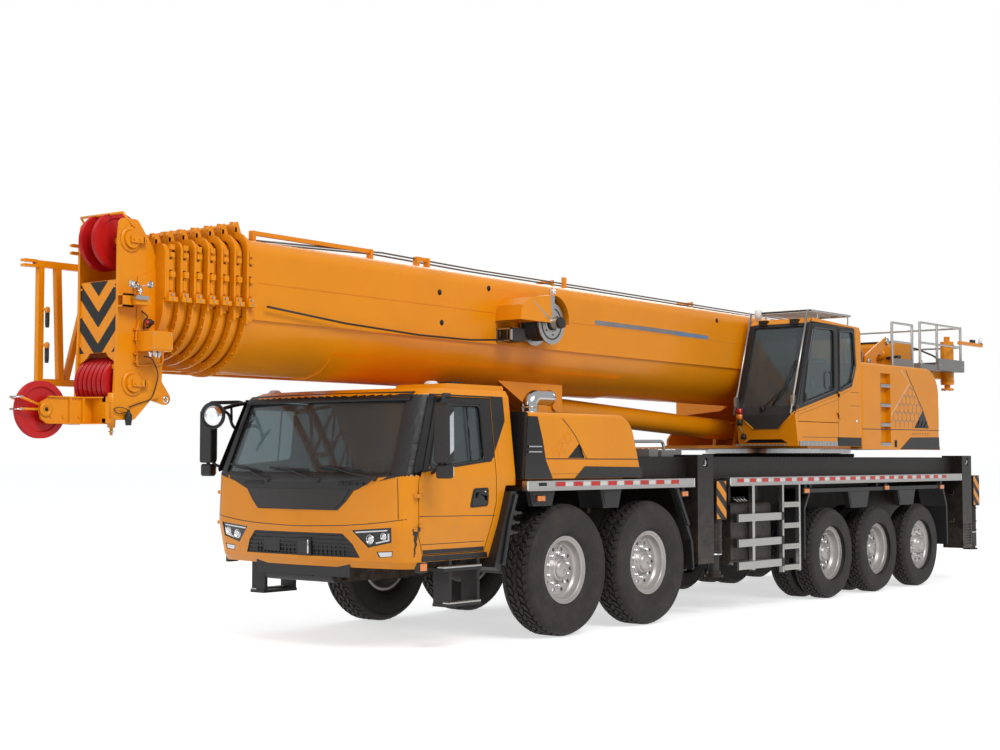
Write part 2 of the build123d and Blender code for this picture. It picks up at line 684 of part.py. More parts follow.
def carrier_door(shell, side):
    """Door panel with its window cut and its pane in place."""
    window = cab_side_prism(DOOR_WINDOW, side, radius=40)
    panel = (shell & cab_side_prism(DOOR, side)) - window
    pane = (cab_body(18) - cab_body(30)) & window
    mirror_head = block(2110, 2210, 1560, 1745, 1780, 2330)
    mirror_head = fillet(mirror_head.edges(), 24)
    lower_head = fillet(block(2110, 2200, 1575, 1735, 1640, 1770).edges(), 24) + post(2160, 1650, 1740, 1800, 20)
    upper_arm = bent_tube([(1845, 1262, 2365), (1890, 1480, 2420), (2160, 1640, 2410),
                           (2160, 1650, 2300)], 20, 40)
    fitted = fuse([mirror_head, lower_head, upper_arm] + hinge_pins(CARRIER_HINGE))
    notches = hinge_notches(CARRIER_HINGE)
    if side < 0:
        fitted = mirror(fitted, about=Plane.XZ)
        notches = [mirror(notch, about=Plane.XZ) for notch in notches]
    for notch in notches:
        panel -= notch
    return Part() + [panel + fitted, pane]


def cab_front():
    """Bumper's lower edge that follows the cab's plan, and the grille and lamps in the cab's recesses."""
    top, low, wall = CAB_FLOOR - SEAT_GAP, 795, 40
    _, front, half = CAB_SECTIONS[0]
    lip = loft([cab_plan(0, low, front - 30, half - 25), cab_plan(0, top, front, half)], ruled=True)
    lip -= loft([cab_plan(wall, low - 5, front - 30, half - 25), cab_plan(wall, top + 5, front, half)], ruled=True)
    lip -= block(CAB_REAR - 50, 2080, -HALF_WIDTH, HALF_WIDTH, low - 10, top + 10)
    beam = block(BUMPER_BACK, BUMPER_BACK + 30, -650, 650, 700, low + 40)
    tube_station = BUMPER_BACK - BUMPER_TUBE
    tube = drum(tube_station, -560, 380, 700, BUMPER_TUBE - 2) + drum(tube_station, -600, 420, 700, 30)
    hanger = block(BUMPER_BACK - 80, BUMPER_BACK + 10, -120, 120, 690, 780)
    skin = cab_body(6) - cab_body(RECESS - SEAT_GAP)
    grille = [skin & front_fitting(GRILLE, 500, -SEAT_GAP)]
    bars = cab_body(4) - cab_body(12)
    opening = front_fitting(GRILLE, 500, -14)
    grille = [grille[0] - (bars & opening)]
    for z in GRILLE_SLATS:
        grille.append(bars & opening & block(1900, 2600, -900, 900, z - 7, z + 7))
    lamps = []
    for points in (HEADLAMP, FOG_LAMP):
        lamps.append(both_sides(skin & front_fitting(points, 500, -SEAT_GAP)))
    return Part() + [fuse([lip, beam, tube, hanger]), fuse(grille)] + lamps


# ---------------------------------------------------------------- engine bay
ENGINE_FRONT = 720
ENGINE_REAR = -1370
ENGINE_COVER_TOP = 2295
ENGINE_INNER_Y = 560
ENGINE_BASE = 1620
ENGINE_SKIN = 30
# Finned vent in an engine cover and in a side cover, as (station, height) outlines.
ENGINE_VENT = [(0, 1830), (-290, 1830), (-203, 1985)]
LOUVRE_STATIONS = (ENGINE_FRONT + 20, 455)
LOUVRES = (1850, 1905, 1960, 2015, 2070)


def vent(points, y):
    """Finned triangular vent sunk in a cover's outer face: the cut and its fins."""
    cut = side_shape(points, y - 14, y + 5)
    low = min(z for _, z in points)
    fins = []
    for index in range(1, 4):
        z = low + index * 35
        slat = block(points[0][0] + 50, points[1][0] - 50, y - 15, y - 4, z, z + 9)
        fins.append(slat & side_shape(points, y - 20, y + 5))
    return cut, fins


def engine_covers():
    """Left and right hollow covers with a louvred front band, a vent and a round rear shoulder."""
    def cover_solid(inset, y1, radius, edge):
        i = inset
        points = [(ENGINE_FRONT - i, ENGINE_BASE), (ENGINE_FRONT - 60 - i, ENGINE_COVER_TOP - i),
                  (ENGINE_REAR + 224 + i, ENGINE_COVER_TOP - i), (ENGINE_REAR + i, ENGINE_BASE)]
        return hood(points, ENGINE_INNER_Y + i, y1, [(*points[2], radius)], edge)
    skin, face = ENGINE_SKIN, 1450
    cover = cover_solid(0, face, 300, 45)
    cover -= cover_solid(skin, face - 2 * skin, 300 - skin, 0)
    for z in LOUVRES:
        cover -= block(*LOUVRE_STATIONS, face - 14, face + 50, z, z + 26)
    floor = block(ENGINE_FRONT - 10, ENGINE_REAR + 10, ENGINE_INNER_Y + 5, face - 10, ENGINE_BASE, ENGINE_BASE + 20)
    cut, fins = vent(ENGINE_VENT, face)
    cover = fuse([cover - cut, floor] + fins)
    bay = block(600, ENGINE_REAR + 400, -ENGINE_INNER_Y + 60, ENGINE_INNER_Y - 60, SHELF_TOP + SEAT_GAP, 1960)
    bay -= block(560, ENGINE_REAR + 430, -ENGINE_INNER_Y + 90, ENGINE_INNER_Y - 90, 1500, 1930)
    feet = block(500, -1200, ENGINE_INNER_Y + 100, 1300, SHELF_TOP + SEAT_GAP, ENGINE_BASE + 5)
    cover += feet
    return Part() + [cover, mirror(cover, about=Plane.XZ), bay]


def engine_block():
    """The engine as one plain block between the rails."""
    return block(250, -950, -300, 300, FRAME_TOP + SEAT_GAP, 1499)


def exhaust():
    """Upright exhaust pipe with an elbow that points rearwards."""
    z = ENGINE_COVER_TOP
    return bent_tube([(60, 1000, z + SEAT_GAP), (60, 1000, z + 172), (-260, 1000, z + 172)], 80, 90)


# ---------------------------------------------------------------- sides
def side_strips():
    """Aluminium edge strips of the walkways, on the shelf in front and on the deck's side behind."""
    low, high = STRIP_TOP - STRIP_HEIGHT, STRIP_TOP
    front = block(745, -2340, SHELF_HALF + SEAT_GAP, HALF_WIDTH, low, high)
    rear = block(-3110, -9780, HALF_WIDTH - 60, HALF_WIDTH, low, high)
    rear += block(-3110, -9780, DECK_HALF + SEAT_GAP, HALF_WIDTH - 50, high - 20, high)
    return both_sides(front) + both_sides(rear)


def mudguards():
    """Slanted flaps before and behind the wheels."""
    shapes = []
    under = STRIP_TOP - STRIP_HEIGHT - SEAT_GAP
    edge = [arch_station(z) - 1.1 * SEAT_GAP for z in (under, 770)]
    front = side_shape([(edge[0], under), (edge[1], 770), (edge[1] - 80, 730), (edge[0] - 90, under)], 1080, 1460)
    middle = side_shape([(-560, under), (-960, under), (-900, 1300), (-620, 1300)], 1150, 1450)
    rear = side_shape([(-1960, under), (-2060, under), (-2330, 900), (-2360, 560), (-2320, 560),
                       (-2290, 900)], 1400, 1470)
    hang_front = side_shape([(-4990, 560), (-4960, 560), (-4960, 1200), (-5120, 1440), (-9180, 1440),
                             (-9320, 1150), (-9330, 560), (-9300, 560), (-9280, 1120), (-9160, 1390),
                             (-5130, 1390), (-4990, 1170)], 1080, 1470)
    hangers = [block(s, s - 60, 1290, 1420, 1435, under) for s in (-5200, -7100, -9100)]
    for shape in (front, middle, rear, fuse([hang_front] + hangers)):
        shapes.append(both_sides(shape))
    return Part() + shapes


def steps_and_guards():
    """Cab steps, ladder and the three side guard rails."""
    shapes = []
    ladder = []
    for s in (-4370, -4790):
        ladder.append(block(s, s - 40, 1440, 1490, 420, 1500 - SEAT_GAP))
    for z in (440, 700, 960, 1220):
        ladder.append(block(-4400, -4800, 1430, 1495, z, z + 60))
    for z in (500, 770, 1070):
        ladder.append(block(-3290, -4400, 1455, 1490, z, z + 90))
    ladder.append(block(-3700, -3760, 1405, 1456, 480, 1500 - SEAT_GAP))
    shapes.append(both_sides(fuse(ladder)))
    steps = [block(1320, 1880, 1180, 1400, 760, 790), block(1320, 1790, 1180, 1390, 420, 450),
             block(1330, 1370, 1180, 1380, 420, CAB_FLOOR - SEAT_GAP),
             block(1740, 1780, 1180, 1380, 420, CAB_FLOOR - SEAT_GAP)]
    shapes.append(both_sides(fuse(steps)))
    tank = block(-3300, -4250, 700, 1390, 560, 1300)
    tank = fillet(tank.edges().filter_by(Axis.X), 60)
    hangers = [block(s + 24, s - 36, 700, 1250, 1290, 1500 - SEAT_GAP) for s in RIB_STATIONS[:2]]
    shapes.append(both_sides(fuse([tank] + hangers)))
    return Part() + shapes


# ---------------------------------------------------------------- superstructure
CHEEK_Y = (BOOM_HALF + 20, BOOM_HALF + 50)
CHEEK_FOOT_PIN = 90
TAIL_BEAM_TOP = 2600
RACE_RADIUS = 880
COVER_SEAT = TURNTABLE_BASE + 20
COVER_BASE = COVER_SEAT + 10
COVER_FRONT = -6540
COVER_REAR = -9030
COVER_TOP = 3135
COVER_SKIN = 30
COVER_VENT = [(-8160, 2262), (-8640, 2262), (-8458, 2518)]
STEP_SLOT = (-7100, -7410)
STEP_HEIGHTS = (2000, 2270, 2540, 2810)
PLATFORM_POSTS = (-9000, -9600, -10470)
COVER_POSTS = (-7900, -8560)
GRIP_STATIONS = (-6850, -7250)


def turntable():
    """Turning ring, floor plate and the two cheeks that hold the boom's foot and the luffing cylinder."""
    ring_top = post(SLEW_STATION, 0, SLEW_PLANE, TURNTABLE_BASE + 10, SLEW_RADIUS - 30)
    ring_top -= post(SLEW_STATION, 0, SLEW_PLANE - 10, SLEW_PLANE + 36, RACE_RADIUS + RUN_GAP)
    floor = block(-4900, -9900, -CHEEK_Y[1], CHEEK_Y[1], TURNTABLE_BASE, TURNTABLE_BASE + TURNTABLE_PLATE)
    fork = LUFF_BASE
    cheek_points = [(-4950, TURNTABLE_BASE), (-4950, 2080), (-5350, 2420), (-6300, 2500), (-7700, 3080),
                    (-8100, 3340), (-8650, 3370), (-9250, 3060), (-9900, 2560), (-9900, TURNTABLE_BASE)]
    cheek = side_shape(cheek_points, *CHEEK_Y)
    cheeks = both_sides(cheek)
    foot_pin = drum(BOOM_FOOT_STATION, -CHEEK_Y[1] - 30, CHEEK_Y[1] + 30, BOOM_FOOT_Z, CHEEK_FOOT_PIN)
    jaws = both_sides(side_shape([(fork[0] - 170, TURNTABLE_BASE), (fork[0] - 90, fork[1] + 90),
                                  (fork[0] + 90, fork[1] + 90), (fork[0] + 170, TURNTABLE_BASE)], 130, 180))
    fork_pin = drum(fork[0], -200, 200, fork[1], 55)
    outriggers = both_sides(block(-5200, -6400, CHEEK_Y[1] - 5, 1400, TURNTABLE_BASE, OPCAB_BASE - SEAT_GAP))
    beams = both_sides(block(-6700, -8900, CHEEK_Y[1] - 5, 1380, TURNTABLE_BASE, COVER_SEAT))
    tail_beam = block(-9700, -9900, -1100, 1100, TAIL_BEAM_TOP - 300, TAIL_BEAM_TOP)
    return fuse([ring_top, floor, cheeks, foot_pin, jaws, fork_pin, outriggers, beams, tail_beam])


def winches():
    """Two rope drums behind the boom's foot."""
    station, z = -9330, 2500
    return fuse([
        drum(station, -330, 330, z, 170), drum(station, -360, -330, z, 270), drum(station, 330, 360, z, 270),
        drum(station, -CHEEK_Y[0] + SEAT_GAP, CHEEK_Y[0] - SEAT_GAP, z, 90),
    ])


def side_covers():
    """Rounded hollow covers on both sides behind the operator's cab, with a slot of steps."""
    near, skin, base = CHEEK_Y[1] + 60, COVER_SKIN, COVER_BASE

    def cover_solid(inset, y0, y1, radius, edge):
        i = inset
        points = [(COVER_FRONT - i, base), (COVER_FRONT - i, COVER_TOP - i), (COVER_REAR + i, COVER_TOP - i),
                  (COVER_REAR + i, base)]
        return hood(points, y0, y1, [(*points[2], radius), (*points[1], 45)], edge)
    cover = cover_solid(0, near, HALF_WIDTH, 400, 50)
    cover -= cover_solid(skin, near + skin, HALF_WIDTH - 3 * skin, 400 - skin, 0)
    floor = block(COVER_FRONT - 10, COVER_REAR + 10, near + 10, HALF_WIDTH - 10, base, base + 20)
    skirt = block(COVER_FRONT, COVER_REAR, HALF_WIDTH - 20, HALF_WIDTH, 1950, base + 5)
    cover -= block(*STEP_SLOT, HALF_WIDTH - 70, HALF_WIDTH + 10, base + 25, 3005)
    cut, fins = vent(COVER_VENT, HALF_WIDTH)
    cover -= cut
    steps = [block(*STEP_SLOT, HALF_WIDTH - 75, HALF_WIDTH - 2, z, z + 45) for z in STEP_HEIGHTS]
    feet = block(-6800, -8800, near + 10, 1300, COVER_SEAT + SEAT_GAP, base + 5)
    return both_sides(fuse([cover, floor, skirt, feet] + steps + fins))


def platform_rails():
    """Rear platform and the rails over the side covers, the two lifting cylinders and the lamp arm."""
    floor = block(-8950, -10500, -1250, 1250, 3160, 3235)
    floor -= block(-8900, -9900, -700, 700, 3100, 3300)
    posts = [post(s, y, 3230, 3860, 20) for s in PLATFORM_POSTS for y in (-1220, 1220)]
    rails = [bar((PLATFORM_POSTS[0], y, z), (PLATFORM_POSTS[-1], y, z), 16) for y in (-1220, 1220)
             for z in (3550, 3850)]
    rails += [bar((PLATFORM_POSTS[-1], -1220, z), (PLATFORM_POSTS[-1], 1220, z), 16) for z in (3550, 3850)]
    boards = [block(-9560, -10500, side * 1242, side * 1262, 3165, 3340) for side in (-1, 1)]
    boards.append(block(-10490, -10510, -1262, 1262, 3165, 3340))
    seat = COVER_TOP + SEAT_GAP
    front = [post(s, 1300, seat, 3780, 20) for s in COVER_POSTS]
    front += [bar((COVER_POSTS[0], 1300, z), (COVER_POSTS[1], 1300, z), 16) for z in (3500, 3770)]
    front += [block(COVER_POSTS[0] - 20, COVER_POSTS[1] + 20, 1292, 1312, seat, 3260)]
    grips = []
    for s in GRIP_STATIONS:
        grips.append(bent_tube([(s, 1150, seat), (s, 1150, 3330), (s + 150, 1150, 3330), (s + 150, 1150, seat)],
                               17, 50))
    cylinders = [fuse([post(-10350, y, 2970, 3640, 100), post(-10350, y, 3640, 3720, 45),
                       post(-10350, y, 2900, 2975, 45), post(-10350, y, 2885, 2915, 95)])
                 for y in (-1050, 1050)]
    arm = block(-10450, REAR_TIP, 1180, 1240, 3600, 3650)
    legs = [block(-9840, -9900, y - 40, y + 40, TAIL_BEAM_TOP + SEAT_GAP, 3165) for y in (-900, 900)]
    tail = block(-9900, -10400, -1000, 1000, 3060, 3165)
    platform = fuse([floor, tail] + posts + rails + boards + cylinders + [arm] + legs)
    return Part() + [platform, both_sides(fuse(front))] + [both_sides(grip) for grip in grips]


def opcab_profile(inset):
    """Operator's cab side outline."""
    i = inset
    return [(OPCAB_FRONT - 80 - i, OPCAB_BASE + i), (OPCAB_FRONT - i, 2380), (OPCAB_FRONT - 210 - i, 3000),
            (OPCAB_FRONT - 400 - i, 3580 - i), (OPCAB_FRONT - 480 - i, OPCAB_ROOF - i),
            (OPCAB_REAR + 40 + i, OPCAB_ROOF - 50 - i), (OPCAB_REAR + i, OPCAB_ROOF - 120 - i),
            (OPCAB_REAR + i, OPCAB_BASE + i)]


def opcab_solid(inset):
    """Solid operator's cab, smaller all round by inset."""
    return side_shape(opcab_profile(inset), OPCAB_INNER_Y + inset, OPCAB_OUTER_Y - inset)


OPCAB_WINDSCREEN = [(700, 2410), (860, 2255), (1270, 2255), (1440, 2410), (1440, 3550), (700, 3550)]
OPCAB_DOOR = [(-4780, 2300), (-5860, 2300), (-5860, 3575), (-5150, 3575), (-4960, 3060), (-4780, 2500)]
OPCAB_DOOR_WINDOW = [(-4900, 2530), (-5740, 2720), (-5740, 3520), (-5190, 3520), (-5030, 3060)]
OPCAB_REAR_WINDOW = [(-5890, 2720), (-6230, 2840), (-6330, 3080), (-6290, 3520), (-5890, 3520)]


def opcab_side_prism(points, grow=0, radius=0):
    """Prism through the operator's cab's outer wall."""
    face = outline([(at(s), z) for s, z in points], radius)
    if grow:
        face = offset(face, amount=grow, kind=Kind.INTERSECTION)
    return Pos(0, OPCAB_OUTER_Y - 150, 0) * extrude(Plane.XZ * face, amount=-200)


def opcab_windscreen_prism():
    """Prism through the operator's cab's front wall."""
    return front_shape(OPCAB_WINDSCREEN, -5450, -4500, radius=30)


def operator_cab(shell):
    """Operator's cab body with its openings."""
    body = shell - opcab_windscreen_prism()
    body -= opcab_side_prism(OPCAB_DOOR, grow=MOVE_GAP)
    body -= opcab_side_prism(OPCAB_REAR_WINDOW, radius=30)
    body -= side_shape([(-5000, 2450), (-6300, 2700), (-6300, 3480), (-5300, 3480)], 600, 720, radius=40)
    body -= front_shape([(760, 2600), (1380, 2600), (1380, 3450), (760, 3450)], -6600, -6400, radius=40)
    guard = [bar((-5200, y, 3735), (-6300, y, 3735), 10) for y in (680, 850, 1020, 1190, 1360, 1460)]
    guard += [block(-5200, -5215, 670, 1470, 3722, 3748), block(-6285, -6300, 670, 1470, 3722, 3748)]
    guard += [post(s, y, 3600, 3735, 9) for s in (-5400, -6250) for y in (690, 1450)]
    return fuse([body] + guard + hinge_lugs(OPCAB_HINGE))


def operator_cab_glass():
    """Fixed panes of the operator's cab."""
    pane = opcab_solid(15) - opcab_solid(25)
    panes = [pane & opcab_windscreen_prism(), pane & opcab_side_prism(OPCAB_REAR_WINDOW, radius=30)]
    panes.append(pane & side_shape([(-5000, 2450), (-6300, 2700), (-6300, 3480), (-5300, 3480)],
                                   600, 720, radius=40))
    panes.append(pane & front_shape([(760, 2600), (1380, 2600), (1380, 3450), (760, 3450)],
                                    -6600, -6400, radius=40))
    return Part() + panes


def operator_cab_door(shell):
    """Operator's door with its pane."""
    window = opcab_side_prism(OPCAB_DOOR_WINDOW, radius=40)
    panel = (shell & opcab_side_prism(OPCAB_DOOR)) - window
    pane = (opcab_solid(15) - opcab_solid(25)) & window
    for notch in hinge_notches(OPCAB_HINGE):
        panel -= notch
    return Part() + [fuse([panel] + hinge_pins(OPCAB_HINGE)), pane]


def operator_cab_interior():
    """Operator's seat with its arm rests and the floor plinth."""
    floor = OPCAB_BASE + OPCAB_WALL
    seat = fuse([
        block(-5550, -6050, 850, 1290, floor + SEAT_GAP, floor + 480),
        side_shape([(-5950, floor + 400), (-6070, floor + 400), (-6180, floor + 1180), (-6060, floor + 1180)],
                   860, 1280),
        block(-5450, -5950, 780, 850, floor + 560, floor + 680),
        block(-5450, -5950, 1290, 1360, floor + 560, floor + 680),
        block(-5900, -5960, 780, 1360, floor + 470, floor + 680),
    ])
    return seat


# ---------------------------------------------------------------- boom
def boom_outline(inset):
    """Section across the boom: flat top, round shoulders, skirt edge and half-round belly."""
    half = BOOM_HALF - inset
    top = BOOM_TOP - inset
    belly = BOOM_BELLY + inset
    shoulder = BOOM_SHOULDER - min(inset, 90) * 0.6
    skirt = BOOM_SKIRT + inset
    lip = half - BOOM_LIP
    bend = shoulder * (1 - cos(radians(45)))
    with BuildSketch(Plane.YZ) as sketch:
        with BuildLine():
            for side in (-1, 1):
                Line((0, top), (side * (half - shoulder), top))
                ThreePointArc((side * (half - shoulder), top), (side * (half - bend), top - bend),
                              (side * half, top - shoulder))
                Polyline((side * half, top - shoulder), (side * half, skirt), (side * lip, skirt))
            ThreePointArc((-lip, skirt), (0, belly), (lip, skirt))
        make_face()
    return sketch.sketch.face()


def boom_solid(inset, u0, u1):
    """Solid of the boom's outline between two places along the boom."""
    return Pos(u0, 0, 0) * extrude(boom_outline(inset), amount=u1 - u0)


def boom_tube(inset, u0, u1, wall=BOOM_WALL):
    """Hollow boom section."""
    return boom_solid(inset, u0, u1) - boom_solid(inset + wall, u0 - 1, u1 + 1)


def boom_block(u0, u1, y0, y1, w0, w1):
    """Box in the boom's own directions."""
    return Pos((u0 + u1) / 2, (y0 + y1) / 2, (w0 + w1) / 2) * Box(abs(u1 - u0), abs(y1 - y0), abs(w1 - w0))


def boom_drum(u, y0, y1, w, radius):
    """Cylinder across the boom."""
    return Pos(u, (y0 + y1) / 2, w) * (Rot(90, 0, 0) * Cylinder(radius, abs(y1 - y0)))


def boom_plate(points, y0, y1, radius=0):
    """Outline of (u, w) points, thick from y0 to y1."""
    return Pos(0, y0, 0) * extrude(Plane.XZ * outline(points, radius), amount=-(y1 - y0))


def on_boom(shape):
    """Set a shape drawn along the boom in its place."""
    return Pos(at(BOOM_FOOT_STATION), 0, BOOM_FOOT_Z) * (Rot(0, -BOOM_TILT, 0) * shape)


def along(station, z):
    """Boom directions (u, w) of a station and height."""
    dx, dz = station - BOOM_FOOT_STATION, z - BOOM_FOOT_Z
    c, s = cos(radians(BOOM_TILT)), sin(radians(BOOM_TILT))
    return dx * c + dz * s, dz * c - dx * s


def collar(inset, front):
    """Reinforcing collar round a section's mouth: a flange before a lower band, rollers and wear pads."""
    u0, u1 = front - COLLAR_THICKNESS, front
    half = BOOM_HALF - inset
    top = BOOM_TOP - inset
    band = boom_solid(inset - 26, u0, u1 - COLLAR_FLANGE + 1)
    flange = boom_solid(inset - 52, u1 - COLLAR_FLANGE, u1)
    crown = boom_block(u1 - COLLAR_FLANGE, u1, -half + 120, half - 120, top, top + 95)
    lugs = [boom_block(u0 + 8, u1 - 10, side * (half - 330), side * (half - 190), top + 15, top + 70)
            for side in (-1, 1)]
    ears = [boom_plate([(u0 + 6, top + 20), (u1 - 2, top + 20), (u1 - 2, top + 150), (u0 + 34, top + 150)],
                       side * (half - 185) - 14, side * (half - 185) + 14) for side in (-1, 1)]
    roller = boom_drum((u0 + u1) / 2 + 8, -half + 180, half - 180, top + 118, 20)
    side_pads = [boom_block(u0 + 10, u1 - 5, side * (half + 10), side * (half + 42), w, w + 90)
                 for side in (-1, 1) for w in (120, 300)]
    body = fuse([band, flange, crown, roller] + lugs + ears + side_pads)
    return body - boom_solid(inset + BOOM_WALL, u0 - 1, u1 + 1)


PAD_HALF = 140
PAD_LENGTH = 120


def wear_pads(outer, inner, u0, u1):
    """Pads above and below, between the outlines of two nested sections."""
    pads = boom_solid(outer, u0, u1) - boom_solid(inner, u0 - 1, u1 + 1)
    return pads & boom_block(u0 - 1, u1 + 1, -PAD_HALF, PAD_HALF, -2 * BOOM_TOP, 2 * BOOM_TOP)


def mouth_pads(inset, front):
    """Pads inside a section's mouth, on which the next section slides."""
    return wear_pads(inset + BOOM_WALL - 1, inset + BOOM_NEST - SEAT_GAP, front - COLLAR_THICKNESS, front)


def tail_pads(inset, rear):
    """Pads outside a section's rear end, which slide in the section around it."""
    return wear_pads(inset - BOOM_NEST + BOOM_WALL + SEAT_GAP, inset + 1, rear, rear + PAD_LENGTH)


BASE_REAR = 420
DOUBLER = 20  # thickness of the belly's outer plate
DOUBLER_SPAN = (6000, 10800)
DOUBLER_CUT = (DOUBLER_SPAN[0] - 100, DOUBLER_SPAN[1] + 100)
DOUBLER_EDGE = -330  # height of the plate's upper edge under the boom's axis


def base_boom():
    """Base section with its foot cheeks and belly plate."""
    tube = boom_tube(0, BASE_REAR, BASE_FRONT - COLLAR_THICKNESS)
    mouth = collar(0, BASE_FRONT)
    foot_points = [(-230, -120), (-230, 150), (-120, 260), (500, BOOM_TOP - 180), (900, BOOM_TOP - 160),
                   (900, BOOM_SKIRT + 10), (200, -260), (-120, -240)]
    cheeks = []
    for side in (-1, 1):
        y0, y1 = sorted((side * (BOOM_HALF - 70), side * (BOOM_HALF - 1)))
        cheeks.append(boom_plate(foot_points, y0, y1))
    barrel = boom_drum(0, -BOOM_HALF + 1, BOOM_HALF - 1, 0, 190)
    rear_plate = boom_solid(0, BASE_REAR, BASE_REAR + 16)
    foot = fuse(cheeks + [barrel, boom_block(-60, BASE_REAR + 10, -BOOM_HALF + 2, BOOM_HALF - 2, -120, 120)])
    foot -= boom_solid(BOOM_WALL, BASE_REAR + 16, 2000)
    doubler = boom_solid(-DOUBLER, *DOUBLER_SPAN) - boom_block(*DOUBLER_CUT, -700, 700, DOUBLER_EDGE, 900)
    doubler -= boom_solid(0, *DOUBLER_CUT)
    body = fuse([tube, mouth, rear_plate, foot, doubler, mouth_pads(0, BASE_FRONT)])
    body -= boom_drum(0, -BOOM_HALF - 5, BOOM_HALF + 5, 0, CHEEK_FOOT_PIN + RUN_GAP)
    return on_boom(body)


def boom_bracket():
    """Gusset plates under the boom with the pins for the luffing cylinder's eye."""
    eye_u, eye_w = along(*LUFF_EYE)
    bracket_points = [(eye_u - 150, eye_w - 70), (eye_u - 150, BOOM_SKIRT + 60), (eye_u + 1850, BOOM_SKIRT + 60),
                      (eye_u + 380, eye_w - 80)]
    bracket = []
    for side in (-1, 1):
        y0, y1 = sorted((side * 125, side * 330))
        bracket.append(boom_plate(bracket_points, y0, y1))
        pin_y = sorted((side * 330, side * 360))
        bracket.append(boom_drum(eye_u, pin_y[0], pin_y[1], eye_w, 60))
    span = (eye_u - 400, eye_u + 2400)
    under_plate = boom_solid(-DOUBLER - SEAT_GAP, *span)
    under_plate -= boom_block(*span, -700, 700, DOUBLER_EDGE + SEAT_GAP, 900)
    return on_boom(fuse(bracket) - boom_solid(-SEAT_GAP, *span) - under_plate)


def section_front(number):
    """Front of a telescoping section's collar, along the boom."""
    return BASE_FRONT + 18 + COLLAR_THICKNESS + (number - 1) * COLLAR_PITCH + 20


def boom_section(number):
    """Telescoping section with its collar; the innermost one carries the head."""
    inset = BOOM_NEST * number
    front = section_front(number)
    rear = BASE_REAR + 16 + 60 * number
    tube = boom_tube(inset, rear, front - COLLAR_THICKNESS + 1)
    body = tube + collar(inset, front) + tail_pads(inset, rear)
    if number == SECTION_COUNT:
        body += boom_head(front)
    else:
        body += mouth_pads(inset, front)
    return on_boom(body)


REEL = (-500, 3330)  # station and height of the cable reel's cover centre
REEL_FACE = 900
REEL_COVER = 270
REEL_RADIUS = 230
TOP_RAILS = ((10100, 11700), (9250, 9450))
ROPE_GUIDES = (3900, 6900)
# Sheaves of the head: station, height, radius and the places of its discs across the head.
HEAD_SHEAVES = {
    "upper": (4672, 3700, 250, (-90, 90)),
    "lower": (4640, 2467, 235, (-192, -128, -64, 0, 64, 128, 192)),
}
AUX_SHEAVE = (5360, 2230, 240)
ARM_CHEEKS = (60, 80)


def boom_head(front):
    """Head plates with the cross plate, sheave pins and the auxiliary sheave's arm."""
    points = [(4330, 2360), (4300, 3300), (4440, 3662), (4600, 3880), (4780, 3880), (4800, 3684),
              (4800, 2915), (4834, 2149), (4616, 2154), (4438, 2330)]
    plates = []
    for side in (-1, 1):
        y0, y1 = sorted((side * 255, side * 285))
        plates.append(boom_plate([along(s, z) for s, z in points], y0, y1, radius=50))
        for s, z, _, _ in HEAD_SHEAVES.values():
            u, w = along(s, z)
            boss = sorted((side * 280, side * 318))
            plates.append(boom_drum(u, *boss, w, 75))
    box_u, box_w = along(4610, 2740)
    junction = boom_block(box_u - 200, box_u, 280, 520, box_w, box_w + 170)
    closing = boom_solid(BOOM_NEST * SECTION_COUNT - 50, front - 2, front + 18)
    face_u, face_w = along(4790, 2730)
    chevron = boom_block(face_u - 14, face_u, -256, 256, face_w, face_w + 620)
    pins = []
    for station, z, _, _ in HEAD_SHEAVES.values():
        u, w = along(station, z)
        pins.append(boom_drum(u, -300, 300, w, 40))
    arm_points = [along(s, z) for s, z in ((4740, 2118), (4740, 2196), (4890, 2202), (4890, 2345), (5330, 2330),
                                           (5405, 2290), (5425, 2225), (5400, 2150), (5340, 2112))]
    for side in (-1, 1):
        y0, y1 = sorted((side * ARM_CHEEKS[0], side * ARM_CHEEKS[1]))
        plates.append(boom_plate(arm_points, y0, y1))
    web_u, web_w = along(4905, 2125)
    plates.append(boom_block(web_u, web_u + 16, -ARM_CHEEKS[0] - 1, ARM_CHEEKS[0] + 1, web_w, web_w + 200))
    au, aw = along(AUX_SHEAVE[0], AUX_SHEAVE[1])
    pins.append(boom_drum(au, -ARM_CHEEKS[1] - 15, ARM_CHEEKS[1] + 15, aw, 30))
    lu, lw = along(4790, 2152)
    lower_cross = boom_block(lu - 60, lu - 10, -256, 256, lw, lw + 50)
    return fuse(plates + [closing, chevron, lower_cross, junction] + pins)


def head_sheaves():
    """Rope sheaves of the head and of the auxiliary arm."""
    shapes = []
    for station, z, radius, places in HEAD_SHEAVES.values():
        u, w = along(station, z)
        for y in places:
            shapes.append(grooved_disc(u, y, w, radius, 40 + RUN_GAP))
    u, w = along(AUX_SHEAVE[0], AUX_SHEAVE[1])
    shapes.append(grooved_disc(u, 0, w, AUX_SHEAVE[2], 30 + RUN_GAP))
    return on_boom(Part() + shapes)


def grooved_disc(u, y, w, radius, bore):
    """Sheave: rim with a rope groove, thin web and hub."""
    half = 24
    points = [(bore, half), (bore + 30, half), (bore + 30, 8), (radius - 60, 8), (radius - 50, half),
              (radius, half), (radius - 28, 0), (radius, -half), (radius - 50, -half), (radius - 60, -8),
              (bore + 30, -8), (bore + 30, -half), (bore, -half)]
    disc = revolve(Plane.XY * make_face(Polyline(*points, close=True)), axis=Axis.Y)
    return Pos(u, y, w) * disc


